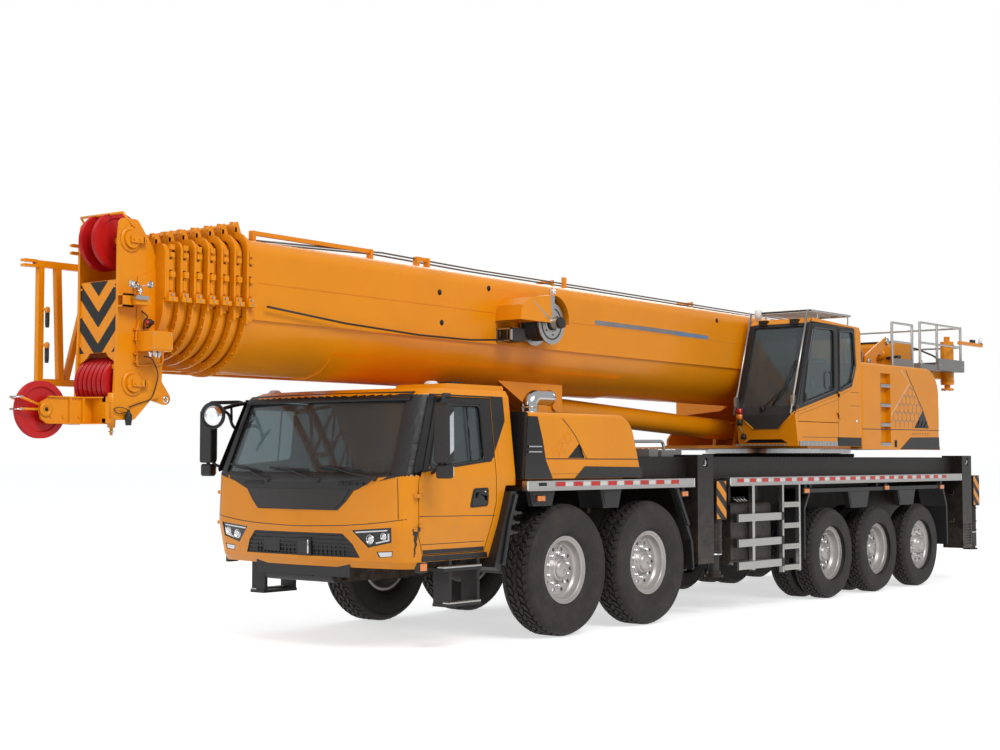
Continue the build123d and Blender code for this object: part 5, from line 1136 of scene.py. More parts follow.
def cab_steps():
    """Silver tread strips on the cab's steps."""
    shape = Shape()
    for s0, s1, y, z in ((1.325, 1.875, 1.392, 0.7905), (1.325, 1.785, 1.382, 0.4505)):
        shape.box(s0, s1, y - 0.075, y + 0.01, z, z + 0.012, "aluminium")
        for k in range(int((s1 - s0) / 0.03)):
            shape.box(s0 + 0.006 + k * 0.03, s0 + 0.02 + k * 0.03, y - 0.07, y + 0.012, z + 0.01, z + 0.017,
                "aluminium")
    shape.both().piece("step_treads", "chassis", "aluminium")


cab_face()
cab_sides()
for side in ("left", "right"):
    door_fittings(side)
head_lamps()
right_mirror()
cab_steps()


# ---------------------------------------------------------------- carrier's sides
def plate_on(shape, y, points, look, thick=0.003, sink=0.003):
    """Adds a flat panel of (station, z) points on a side wall."""
    return shape.prism(points, "y", y - sink, y + thick, look)


def seam_on(shape, y, points, width=0.008, look="seal", thick=0.0012):
    """Adds a narrow line along (station, z) points on a side wall."""
    return shape.prism(strip_between(points, width), "y", y - 0.002, y + thick, look)


def hexagon_line(centre, radius):
    """Edges of one hexagon as (station, z) pairs."""
    corners = [(centre[0] + radius * math.sin(math.radians(60 * k)),
        centre[1] + radius * math.cos(math.radians(60 * k))) for k in range(6)]
    return [(corners[k], corners[(k + 1) % 6]) for k in range(6)]


def honeycomb(shape, y, cells, radius, look, inside, thick=0.0015, width=0.01):
    """Adds the outlines of a comb of cells, leaving out the edges that fall outside."""
    drawn = set()
    for centre in cells:
        for a, b in hexagon_line(centre, radius):
            middle = ((a[0] + b[0]) / 2, (a[1] + b[1]) / 2)
            key = (round(middle[0], 2), round(middle[1], 2))
            if key not in drawn and inside(middle):
                drawn.add(key)
                seam_on(shape, y, [a, b], width, look, thick)


def comb_centres(s0, s1, z0, z1, radius):
    """Centres of a comb of pointed cells that fills a rectangle."""
    across, up = radius * math.sqrt(3), radius * 1.5
    rows = int((z1 - z0) / up) + 1
    return [(s0 - across * (k + 0.5 * (row % 2)), z0 + up * row) for row in range(rows)
        for k in range(int((s0 - s1) / across) + 1)]


def clipped(points, low, high):
    """Outline of (a, z) points cut to heights between low and high."""
    for limit, sign in ((low, 1), (high, -1)):
        out = []
        for p, q in zip(points, points[1:] + points[:1]):
            inside_p, inside_q = (p[1] - limit) * sign >= 0, (q[1] - limit) * sign >= 0
            if inside_p:
                out.append(p)
            if inside_p != inside_q:
                t = (limit - p[1]) / (q[1] - p[1])
                out.append((p[0] + (q[0] - p[0]) * t, limit))
        points = out
        if len(points) < 3:
            return []
    return points


def engine_cover_trim():
    """Black front band with silver ridges, seams, comb and lower band of the engine covers, and bands of the exhaust
    pipe.
    """
    y = COVER_WALL
    shape = Shape()
    plate_on(shape, y, [(0.7175, 1.622), (0.665, 2.25), (0.51, 2.25), (0.429, 2.03), (0.371, 1.804), (0.27, 1.64),
        (0.265, 1.622)], "black_gloss")
    plate_on(shape, y, [(-0.118, 1.622), (-0.291, 1.744), (-1.326, 1.732), (-1.368, 1.622)], "trim", 0.004)
    for z, front in ((1.892, 0.668), (1.945, 0.664)):
        for k, (low_z, high_z, out) in enumerate(((z - 0.012, z + 0.012, 0.012), (z - 0.006, z + 0.006, 0.017))):
            shape.prism([(front, low_z), (front, high_z), (0.455 - k * 0.004, high_z), (0.462 - k * 0.004, low_z)],
                "y", y - 0.003, y + out, "steel" if k else "trim")
    seam_on(shape, y, [(0.094, 2.236), (-0.03, 2.145), (-0.132, 2.057), (-0.327, 1.824)], 0.01)
    seam_on(shape, y, [(0.368, 1.822), (-1.283, 1.818)], 0.01)
    seam_on(shape, y, [(0.3, 1.668), (-1.35, 1.668)], 0.003, "seal", 0.0008)
    seam_on(shape, y, [(0.335, 1.872), (-0.06, 2.14)], 0.007, "paint", 0.003)
    comb = comb_centres(0.3, -0.14, 1.86, 2.12, 0.058)
    honeycomb(shape, y, comb, 0.058, "paint", lambda p: p[1] < 1.872 + (0.335 - p[0]) * 0.678 - 0.02
        and p[0] > -0.02 - (2.12 - p[1]) * 0.4 and p[1] > 1.84 and not (p[1] < 1.99 and p[0] < 0.02), 0.0028, 0.007)
    shape.both().piece("engine_cover_lines", "chassis", "black_plastic")
    pipe = Shape()
    # Clamp and collar of the exhaust pipe with its heat shield's rim.
    for z in (2.3, 2.352):
        pipe.ring(z, z + 0.018, 0.0795, 0.088, (0.06, 1.0, 0.0), "z", "steel", steps=40)
    pipe.ring(-0.275, -0.256, 0.076, 0.086, (0.0, 1.0, 2.467), "x", "steel", steps=40)
    pipe.piece("exhaust_bands", "chassis", "steel", weld=True)


def reflector_row(shape, first, count, pitch, width, y):
    """Adds alternating red and white reflector plates with their thin frames."""
    for k in range(count):
        s = first - k * pitch
        shape.box(s, s - width, y, y + 0.0035, 1.541, 1.588, "reflector_red")
        for t in (s + 0.002, s - width - 0.002):
            shape.box(t - 0.002, t + 0.002, y, y + 0.005, 1.538, 1.591, "aluminium")
        if k < count - 1:
            shape.box(s - width - 0.012, s - pitch + 0.012, y, y + 0.003, 1.543, 1.586, "reflector_white")


def strips():
    """Ribs, reflectors and end caps of the edge strips."""
    shape = Shape()
    for s0, s1 in ((0.743, -2.337), (-3.113, -9.777)):
        for low, high, out in ((1.588, 1.5995, 0.006), (1.5, 1.512, 0.01), (1.524, 1.53, 0.004)):
            shape.box(s0, s1, 1.497, 1.5 + out, low, high, "aluminium")
        for t in (s0, s1):
            edge = 0.016 if t == s0 else -0.016
            shape.box(t, t - edge, 1.49, 1.507, 1.5005, 1.5995, "white_paint")
    reflector_row(shape, 0.271, 8, 0.304, 0.152, 1.5)
    reflector_row(shape, -3.28, 21, 0.29, 0.144, 1.5)
    shape.box(0.548, 0.424, 1.5, 1.5045, 1.548, 1.582, "black")
    for k in range(6):
        shape.box(0.535 - k * 0.019, 0.527 - k * 0.019, 1.5045, 1.507, 1.552, 1.578, "black_gloss")
    shape.both().piece("strip_details", "chassis", "aluminium", bevel=0.0008)


def bracket(shape, s0, s1, z0, z1, inset, y0, y1):
    """Adds a dark trapezoid flap with a folded rim."""
    outline = [(s0, z1), (s1, z1), (s1 + inset, z0), (s0 - inset, z0)]
    shape.prism(outline, "y", y0, y1, "trim")
    inner = [(s0 - 0.03, z1 - 0.015), (s1 + 0.03, z1 - 0.015), (s1 + inset + 0.025, z0 + 0.025),
        (s0 - inset - 0.025, z0 + 0.025)]
    shape.prism(inner, "y", y1 - 0.001, y1 + 0.006, "trim")


def side_lamp(shape, s, y, z):
    """Adds an amber side lamp in its small black housing."""
    shape.box(s - 0.072, s + 0.072, y - 0.03, y, z - 0.036, z + 0.036, "black")
    shape.boxes("lens_amber", (s - 0.06, s + 0.06, y - 0.002, y + 0.014, z - 0.026, z + 0.026),
        (s - 0.004, s + 0.004, y + 0.012, y + 0.017, z - 0.026, z + 0.026))


def under_strips():
    """Brackets, side lamps, flap ribs, hoses, boxes and tubes along the carrier."""
    shape = Shape()
    bracket(shape, 0.625, 0.205, 1.345, 1.496, 0.055, 1.38, 1.44)
    bracket(shape, -6.17, -6.811, 1.17, 1.4, 0.085, 1.38, 1.462)
    bracket(shape, -7.665, -8.252, 1.175, 1.4, 0.075, 1.38, 1.462)
    bracket(shape, -0.575, -0.945, 1.315, 1.49, 0.05, 1.44, 1.455)
    side_lamp(shape, 0.46, 1.452, 1.422)
    side_lamp(shape, -2.2, 1.452, 1.425)
    shape.box(-2.17, -2.23, 1.4, 1.44, 1.46, 1.499, "black")
    side_lamp(shape, -5.01, 1.478, 1.415)
    side_lamp(shape, -7.295, 1.478, 1.425)
    side_lamp(shape, -9.11, 1.478, 1.41)
    for s in (-5.01, -7.295, -9.11):
        shape.box(s - 0.03, s + 0.03, 1.44, 1.47, 1.43, 1.499, "black")
    # Raised middle of the flap behind the second wheel and ribs of the flap behind the cab.
    shape.prism([(-1.985, 1.48), (-2.035, 1.48), (-2.262, 1.08), (-2.225, 1.062)], "y", 1.46, 1.486, "trim")
    shape.prism([(-2.275, 0.905), (-2.318, 0.905), (-2.352, 0.575), (-2.322, 0.575)], "y", 1.46, 1.486, "trim")
    for z in (1.291, 1.198, 1.1):
        s = float(np.interp(z, (0.77, 1.5), (1.1, 0.85)))
        shape.tube([(s + 0.02, 1.462, z), (s - 0.13, 1.462, z - 0.004)], 0.014, "cast", 10)
        shape.solid([(-0.01, 0.03), (0.012, 0.027), (0.016, 0.0)], (s - 0.03, 1.462, z), "y", "trim", steps=16)
    edge = [(0.88, 1.474, 1.47), (0.985, 1.474, 1.2), (1.085, 1.474, 0.79)]
    shape.tube(edge, 0.022, "trim", 10)
    shape.both().piece("side_fittings", "chassis", "black_plastic", bevel=0.002)
    boxes = Shape()
    boxes.boxes("grey_paint", (-1.925, -2.11, 0.94, 1.16, 1.846, 1.935), (-2.179, -2.6, 0.88, 1.16, 1.846, 1.925))
    for s in (-1.96, -2.075, -2.22, -2.55):
        boxes.solid([(1.93, 0.014), (1.944, 0.012), (1.946, 0.0)], (s, 1.05, 0.0), "z", "steel", steps=12)
    rail = rounded_path([(-1.76, 1.02, 1.86), (-1.76, 1.02, 2.02), (-2.42, 1.02, 2.026), (-2.44, 1.02, 1.86)], 0.06,
        5)
    boxes.tube(rail, 0.019, "aluminium", 12)
    boxes.piece("deck_boxes", "chassis", "grey_paint", bevel=0.006)


def couplings():
    """Hose couplings with coloured ends and their blocks beside the front tower."""
    shape = Shape()
    colours = ("reflector_white", "lens_amber", "reflector_white", "reflector_red")
    for k, look in enumerate(colours):
        s = -3.7 - k * 0.075
        shape.tube([(s + 0.07, 1.235, 1.335), (s, 1.25, 1.29)], 0.017, "steel", 10)
        shape.tube([(s, 1.25, 1.29), (s - 0.045, 1.262, 1.262)], 0.022, look, 10)
        shape.box(s + 0.05, s + 0.1, 1.2, 1.245, 1.315, 1.36, "cast")
    shape.both().piece("hose_couplings", "chassis", "steel", bevel=0.001)


def guards_and_ladder():
    """Ribs and end caps of the side guards and treads of the ladder."""
    shape = Shape()
    for z in (0.5, 0.77, 1.07):
        for k in range(4):
            low = z + 0.006 + k * 0.022
            shape.box(-3.3, -4.372, 1.488, 1.4955, low, low + 0.011, "aluminium")
        for s in (-3.288, -4.372):
            shape.box(s + 0.022, s - 0.022, 1.445, 1.499, z - 0.006, z + 0.096, "black")
    for z in (0.44, 0.7, 0.96, 1.22):
        shape.box(-4.408, -4.792, 1.43, 1.4945, z + 0.06, z + 0.064, "plate_light")
        for k in range(9):
            s = -4.43 - k * 0.0415
            shape.box(s + 0.012, s - 0.012, 1.4945, 1.4985, z + 0.012, z + 0.048, "aluminium")
    for s in (-4.392, -4.808):
        for z in (0.6, 0.86, 1.12, 1.38):
            shape.solid([(1.489, 0.01), (1.496, 0.008), (1.497, 0.0)], (s, 0.0, z), "y", "steel", steps=8)
    shape.both().piece("guard_details", "chassis", "aluminium", bevel=0.001)


def towers():
    """Lamps, latches and bolts on the outrigger towers, striped beam ends and bands of the jacks."""
    shape = Shape()
    for s, low in ((-2.575, 0.615), (-9.98, 0.48)):
        shape.box(s - 0.04, s + 0.04, 1.484, 1.489, 1.732, 1.828, "black_gloss")
        shape.tube([(s, 1.494, 1.8), (s, 1.5, 1.78), (s, 1.494, 1.758)], 0.012, "aluminium", 8)
        shape.box(s - 0.022, s + 0.022, 1.487, 1.492, 1.742, 1.752, "lens_clear")
        for z in (low + 0.4, low + 0.8):
            shape.box(s + 0.172, s + 0.166, 1.3, 1.36, z, z + 0.05, "steel")
        for t in (s + 0.15, s - 0.15):
            for z in (low + 0.06, low + 0.36):
                shape.solid([(1.499, 0.011), (1.504, 0.009), (1.5045, 0.0)], (t, 0.0, z), "y", "cast", steps=8)
    shape.piece("tower_details_left", "chassis", "black_plastic", bevel=0.001)
    right = Shape().join(shape, move=(-0.35, 0, 0), flip=True)
    right.piece("tower_details_right", "chassis", "black_plastic", bevel=0.001)
    for place, side, s in (("front_left", 1, -2.925), ("front_right", -1, -2.575), ("rear_left", 1, -10.33),
            ("rear_right", -1, -9.98)):
        bands = Shape()
        y0, y1 = sorted((side * 1.496, side * 1.499))
        half = 0.113
        for k in range(-1, 4):
            base = 1.11 + k * 0.2
            corners = [(s - half, base), (s + half, base + 0.19), (s + half, base + 0.29), (s - half, base + 0.1)]
            band = clipped(corners, 1.115, 1.565)
            if band:
                bands.prism(band, "y", y0, y1, "paint")
        rim = 0.008
        for a, b, c, d in ((s - half, s + half, 1.112, 1.112 + rim), (s - half, s + half, 1.568 - rim, 1.568),
                (s - half, s - half + rim, 1.112, 1.568), (s + half - rim, s + half, 1.112, 1.568)):
            bands.box(a, b, y0, y1, c, d, "black")
        bands.piece("stripe_" + place, "beam_" + place)
        tube = Shape()
        for z in (0.73, 0.86, 1.06):
            tube.ring(z, z + 0.022, 0.0945, 0.103, (s, side * 1.385, 0.0), "z", "dark_paint", steps=32)
        tube.ring(0.7, 0.716, 0.07, 0.1, (s, side * 1.385, 0.0), "z", "steel", steps=32)
        tube.piece("jack_bands_" + place, "beam_" + place, "steel", weld=True)


def tail():
    """Lenses of the rear lamps."""
    shape = Shape()
    for z in (0.47, 0.55, 0.63):
        look = "lens_red" if z > 0.6 else "lens_amber" if z > 0.5 else "lens_clear"
        shape.box(-10.69, -10.7, 1.02, 1.28, z - 0.028, z + 0.028, look)
    shape.box(-10.612, -10.678, 1.3, 1.312, 0.46, 0.665, "lens_amber")
    shape.both().piece("tail_lamps", "chassis", "black_plastic", bevel=0.003)


def slew_ring():
    """Teeth of the fixed ring and bolt heads of the turning one."""
    teeth = Shape()
    for a in turns(132):
        c, n = math.cos(a), math.sin(a)
        inner_a, inner_b, outer_a, outer_b = [(SLEW + r * c - side * w * n, r * n + side * w * c) for r,
            w in ((1.04, 0.016), (1.066, 0.009)) for side in (-1, 1)]
        teeth.prism([inner_a, outer_a, outer_b, inner_b], "z", 1.848, 1.894, "cast")
    teeth.piece("ring_teeth", "chassis", "cast")
    bolts = Shape()
    for a in turns(60):
        bolts.solid([(1.9585, 0.017), (1.972, 0.017), (1.974, 0.0)],
            (SLEW + 1.0 * math.cos(a), 1.0 * math.sin(a), 0.0), "z", "steel", steps=6, smooth=False)
    bolts.piece("ring_bolts", "superstructure", "steel")


engine_cover_trim()
strips()
under_strips()
couplings()
guards_and_ladder()
towers()
tail()
slew_ring()


# ---------------------------------------------------------------- boom and head
COLLAR_FRONT, COLLAR_PITCH, COLLAR_DEEP = 12.164, 0.126, 0.086
HEAD_PINS = ((4.672, 3.7), (4.64, 2.467))  # station and height of the head's two axles
CHEEK = 0.285  # y of the head's cheeks
GAUGE = (4.672, 0.42)  # station and y of the wind gauge
HORN = (4.545, 0.36, 2.992)
ARM_PIN = (5.36, 0.0, 2.23)  # the auxiliary sheave's axle
JIB_PIN = (4.818, -0.7)
REEL = (-0.51, 3.29)  # station and height of the cable reel's axle
WORK_LAMP = (-0.595, 0.8, 3.64)
BOOM_HALF, BOOM_TOP, BOOM_BELLY, BOOM_SKIRT, BOOM_LIP = 0.55, 0.66, -0.535, -0.08, 0.025


def on_boom(p):
    """Place of a point given along the boom, across it and above its axis."""
    c, n = math.cos(BOOM_TILT), math.sin(BOOM_TILT)
    return (BOOM_FOOT[0] + p.x * c - p.z * n, p.y, BOOM_FOOT[1] + p.x * n + p.z * c)


def bolt(shape, centre, axis, radius=0.012, tall=0.01, look="steel", sign=1):
    """Adds a hexagon bolt head."""
    profile = [(0.0, 0.0), (0.0, radius), (sign * tall, radius), (sign * (tall + 0.001), 0.0)]
    shape.turned(profile, centre, axis, look, steps=6, smooth=False)


def collars():
    """Blocks, lugs, straps and bolts of the seven collars."""
    for number in range(7):
        front = COLLAR_FRONT + (number - 1) * COLLAR_PITCH if number else 12.04
        inset = 0.03 * number
        half, top = BOOM_HALF - inset, BOOM_TOP - inset
        low = front - COLLAR_DEEP
        shape = Shape("paint_boom")
        for side in (-1, 1):
            wall = side * (half + 0.024)
            for w0, w1, out in ((0.235, 0.285, 0.05), (0.41, 0.45, 0.04), (0.475, 0.52, 0.034)):
                shape.box(low + 0.01, front - 0.026, wall, wall + side * out, w0, w1)
            shape.boxes("black", (low + 0.02, front - 0.03, wall, wall + side * 0.006, 0.29, 0.405),
                (low + 0.02, front - 0.03, wall, wall + side * 0.005, 0.13, 0.225))
            shape.box(low + 0.028, front - 0.04, wall, wall + side * 0.022, 0.13, 0.225)
            shape.box(low - 0.01, front + 0.006, side * (half + 0.03), side * (half + 0.092), 0.02, 0.062)
            shape.box(low + 0.004, front - 0.01, side * (half + 0.03), side * (half + 0.07), 0.062, 0.1)
            for y, z, radius, tall in ((0.07, 0.081, 0.012, 0.01), (0.092, 0.041, 0.01, 0.008)):
                bolt(shape, (front - 0.045, side * (half + y), z), "y", radius, tall, "steel", side)
            ear = side * (half - 0.185 + 0.014)
            shape.solid([(0.0, 0.034), (side * 0.012, 0.032), (side * 0.016, 0.016)],
                (front - 0.034, ear, top + 0.112), "y", steps=20)
            bolt(shape, (front - 0.034, ear + side * 0.015, top + 0.112), "y", 0.01, 0.008, "steel", side)
            # Strap with a rounded end before the ear.
            shape.prism([(low + 0.004, top + 0.03), (front + 0.004, top + 0.03), (front + 0.004, top + 0.12),
                (front - 0.02, top + 0.148), (low + 0.05, top + 0.148)], "y", side * (half - 0.12),
                side * (half - 0.132))
            deep = (BOOM_SKIRT + inset) - (BOOM_BELLY + inset)
            lip = half - BOOM_LIP
            radius = (lip ** 2 + deep ** 2) / (2 * deep)
            middle = BOOM_BELLY + inset + radius
            for k in range(7):
                a = math.radians(16 + k * 10.5)
                y, w = (radius + 0.036) * math.sin(a), middle - (radius + 0.036) * math.cos(a)
                shape.solid([(0.0, 0.011), (0.006, 0.01), (0.01, 0.005)], (front, side * y, w), "x", steps=10)
        for y in (-0.14, 0.0, 0.14):
            bolt(shape, (front, y, top + 0.06), "x", 0.013, 0.01, "steel")
        shape.moved(on_boom).piece(f"collar_parts_{number}", f"section_{number}" if number else "boom")


def chevron():
    """Black V bands on the head's cross plate, and its bolts and lower lip."""
    shape = Shape("paint_boom")
    for low, high in ((3.221, 3.5), (2.95, 3.081), (2.676, 2.807), (2.402, 2.539)):
        for side in (-1, 1):
            band = [(0.0, low), (side * 0.256, low + 0.256), (side * 0.256, high + 0.256), (0.0, high)]
            band = clipped(band, 2.732, 3.346)
            if len(band) > 2:
                shape.prism(band, "x", 4.7895, 4.7925, "black_gloss")
    shape.moved(lambda p: (p.x - (p.z - 2.73) * math.tan(BOOM_TILT), p.y, p.z))
    for z in (2.8, 3.05, 3.29):
        for y in (-0.236, 0.236):
            bolt(shape, (4.786, y, z), "x", 0.011, 0.012, "paint_boom")
    for side in (-1, 1):
        shape.prism([(side * 0.256, 2.735), (side * 0.256, 2.64), (side * 0.21, 2.66), (side * 0.15, 2.69),
            (side * 0.11, 2.735)], "x", 4.776, 4.79)
    shape.piece("chevron_bands", "section_6")


def head_parts():
    """Keepers, guard bar, wind gauge, horn, junction box glands, conduits, lugs and plugs of the head."""
    shape = Shape("paint_boom")
    for s, z in HEAD_PINS:
        for side in (-1, 1):
            y = side * CHEEK
            shape.turned([(0.0, 0.07), (0.0, 0.112), (side * 0.01, 0.11), (side * 0.012, 0.07)], (s, y, z), "y",
                "paint_boom", steps=36)
            shape.box(s - 0.105, s + 0.03, side * 0.318, side * 0.338, z - 0.028, z + 0.03)
            shape.box(s - 0.15, s - 0.095, y, side * 0.338, z - 0.024, z + 0.026)
            for t in (s - 0.128, s - 0.06, s + 0.005):
                bolt(shape, (t, side * 0.338, z), "y", 0.012, 0.009, "paint_boom", side)
    near, far = (4.751, 0.272, 3.925), (4.783, -0.272, 3.925)
    shape.tube([near, far], 0.012, sides=10)
    shape.tube([(4.64, 0.29, 3.8), near], 0.011, sides=8)
    shape.tube([(4.68, -0.29, 3.8), far], 0.011, sides=8)
    for side in (-1, 1):
        doubler = [(4.605, 2.78), (4.605, 3.385), (4.33, 3.49), (4.262, 3.35), (4.255, 2.935), (4.33, 2.78)]
        shape.prism(doubler, "y", side * 0.28, side * 0.297)
    # Tube end and shelf that carry the wind gauge.
    shape.box(4.7, 4.806, CHEEK, 0.372, 3.11, 3.126)
    shape.box(4.7, 4.806, CHEEK, 0.372, 3.206, 3.222)
    shape.box(4.7, 4.806, 0.356, 0.372, 3.11, 3.222)
    shape.box(4.56, 4.72, CHEEK, 0.43, 3.13, 3.176)
    shape.box(4.6, 4.735, 0.385, 0.45, 3.172, 3.205, "steel")
    shape.rod((*GAUGE, 3.2), (*GAUGE, 3.288), 0.01, "steel", 12)
    shape.solid([(3.236, 0.024), (3.262, 0.022), (3.268, 0.0)], (*GAUGE, 0.0), "z", "steel", steps=20)
    for angle in (10, 130, 250):
        a = math.radians(angle)
        tip = (GAUGE[0] + 0.092 * math.cos(a), GAUGE[1] + 0.092 * math.sin(a), 3.3)
        shape.tube([(*GAUGE, 3.288), tip], 0.004, "steel", 6)
        cup = [(-0.004, 0.0), (-0.004, 0.01), (0.0, 0.022), (0.01, 0.03), (0.026, 0.032), (0.026, 0.03),
            (0.012, 0.027), (0.002, 0.014), (0.001, 0.0)]
        shape.turned([(u - 0.012, r) for u, r in cup], tip, "x", "aluminium", steps=20)
    # Red horn lamp with its black case.
    shape.solid([(0.0, 0.024), (0.012, 0.022), (0.018, 0.0)], HORN, "x", "lens_red", steps=20)
    shape.solid([(-0.06, 0.018), (-0.03, 0.03), (0.0, 0.03)], HORN, "x", "black", steps=20)
    shape.tube([(4.51, 0.36, 2.965), (4.5, 0.325, 2.955), (4.5, 0.29, 2.95)], 0.009, "black", 8)
    for k, (s, y) in enumerate(((4.575, 0.44), (4.545, 0.46), (4.515, 0.44), (4.49, 0.46), (4.465, 0.42))):
        shape.solid([(2.69 + 0.01 * (k % 2), 0.012), (2.722, 0.016), (2.746, 0.016)], (s, y, 0.0), "z", "white_paint"
            if k % 2 else "steel", steps=14)
    shape.box(4.4, 4.618, 0.518, 0.524, 2.752, 2.905)
    for s in (4.42, 4.598):
        for z in (2.77, 2.888):
            bolt(shape, (s, 0.524, z), "y", 0.007, 0.004)
    conduit = rounded_path([(4.585, 0.3, 3.02), (4.622, 0.3, 2.873), (4.6, 0.3, 2.79), (4.611, 0.3, 2.618),
        (4.33, 0.3, 2.64), (4.33, 0.3, 2.77)], 0.03, 4)
    shape.tube(conduit, 0.01, sides=8)
    for z in (2.93, 2.84, 2.72, 2.65):
        shape.box(4.59, 4.64, 0.284, 0.315, z - 0.006, z + 0.006)
    wire = rounded_path([(4.56, 0.335, 2.7), (4.473, 0.335, 2.69), (4.385, 0.318, 2.556), (4.415, 0.312, 2.425),
        (4.45, 0.3, 2.33), (4.6, 0.3, 2.29), (4.68, 0.3, 2.262)], 0.05, 5)
    shape.tube(wire, 0.005, "black", 6)
    loop = rounded_path([(4.56, 0.3, 3.09), (4.52, 0.345, 3.04), (4.575, 0.35, 3.01), (4.56, 0.33, 2.93)], 0.03, 4)
    shape.tube(loop, 0.006, "black", 6)
    # Small limit switch that hangs below, on its bracket.
    shape.solid([(2.105, 0.024), (2.15, 0.03), (2.195, 0.03), (2.215, 0.014), (2.24, 0.01)], (4.704, 0.322, 0.0), "z",
        "black", steps=18)
    hang = rounded_path([(4.704, 0.322, 2.235), (4.78, 0.315, 2.262), (4.85, 0.3, 2.243), (4.8, 0.3, 2.2),
        (4.715, 0.31, 2.215)], 0.03, 4)
    shape.tube(hang, 0.004, "black", 6)
    for y in (-0.235, 0.22):
        shape.prism([(4.42, 2.33), (4.33, 2.53), (4.3, 2.5), (4.205, 2.372), (4.198, 2.335), (4.222, 2.3),
            (4.255, 2.29)], "y", y, y + 0.028)
        shape.ring(0.0, 0.034, 0.016, 0.034, (4.246, y - 0.003, 2.338), "y", "steel", steps=20)
    shape.piece("head_parts", "section_6")


def auxiliary_arm():
    """Cross plate, hinge, flanges and rope keepers of the auxiliary sheave's arm, and the jib's plugs."""
    shape = Shape("paint_boom")
    shape.box(4.862, 4.904, -0.262, 0.272, 2.122, 2.345)
    shape.box(4.8, 4.904, 0.225, 0.275, 2.122, 2.16)
    shape.box(4.8, 4.904, 0.225, 0.275, 2.3, 2.345)
    shape.solid([(2.02, 0.012), (2.085, 0.016), (2.085, 0.034), (2.372, 0.034), (2.38, 0.026)], (4.826, 0.25, 0.0),
        "z", steps=24)
    shape.tube([(4.826, 0.215, 2.05), (4.826, 0.285, 2.05)], 0.006, "steel", 8)
    flange = [(4.9, 0.25), (4.99, 0.098), (5.34, 0.098), (5.34, 0.078), (4.905, 0.078)]
    for z in (2.338, 2.118):
        for side in (1, -1):
            shape.prism([(s, side * y) for s, y in flange], "z", z - 0.005, z + 0.006)
    for side in (-1, 1):
        for s in (4.995, 5.125):
            shape.prism([(s - 0.018, side * 0.078), (s - 0.01, side * 0.1), (s + 0.01, side * 0.1),
                (s + 0.018, side * 0.078)], "z", 2.12, 2.335)
        for s in (5.03, 5.19, 5.31):
            bolt(shape, (s, side * 0.08, 2.175), "y", 0.012, 0.01, "paint_boom", side)
        shape.turned([(side * 0.078, 0.028), (side * 0.078, 0.062), (side * 0.098, 0.058), (side * 0.098, 0.028)],
            ARM_PIN, "y", steps=28)
        shape.solid([(side * 0.094, 0.028), (side * 0.097, 0.0)], ARM_PIN, "y", "cast", steps=20)
        for s, z, end in ((5.4, 2.262, 2.33), (5.41, 2.23, 2.23)):
            shape.tube([(s, side * 0.07, z), (5.594, side * 0.07, end)], 0.011, sides=8)
    for z in (2.33, 2.23):
        shape.tube([(5.588, -0.085, z), (5.588, 0.085, z)], 0.009, "steel", 8)
    # Rope keeper before the lower sheaves and lugs on the far plate for the jib.
    for side in (-1, 1):
        shape.box(4.79, 4.802, side * 0.15, side * 0.262, 2.588, 2.624)
        bolt(shape, (4.802, side * 0.165, 2.606), "x", 0.012, 0.01, "cast")
    for z in (3.612, 3.678):
        shape.prism([(4.76, z - 0.014), (4.86, z - 0.014), (4.872, z), (4.86, z + 0.014), (4.76, z + 0.014)], "y",
            -0.312, -0.284)
    shape.piece("auxiliary_arm_parts", "section_6")
    plugs = Shape()
    for z in (3.07, 2.755):
        plugs.solid([(z + 0.045, 0.022), (z + 0.085, 0.024), (z + 0.1, 0.012)], (*JIB_PIN, 0.0), "z", "paint_boom",
            steps=16)
        plugs.solid([(z - 0.085, 0.016), (z - 0.05, 0.02), (z + 0.045, 0.02)], (*JIB_PIN, 0.0), "z", "black",
            steps=16)
        plugs.tube([(4.866, -0.73, z + 0.075), (*JIB_PIN, z + 0.075)], 0.009, "paint_boom", 8)
    plugs.piece("jib_plugs", "boom", "black_plastic")


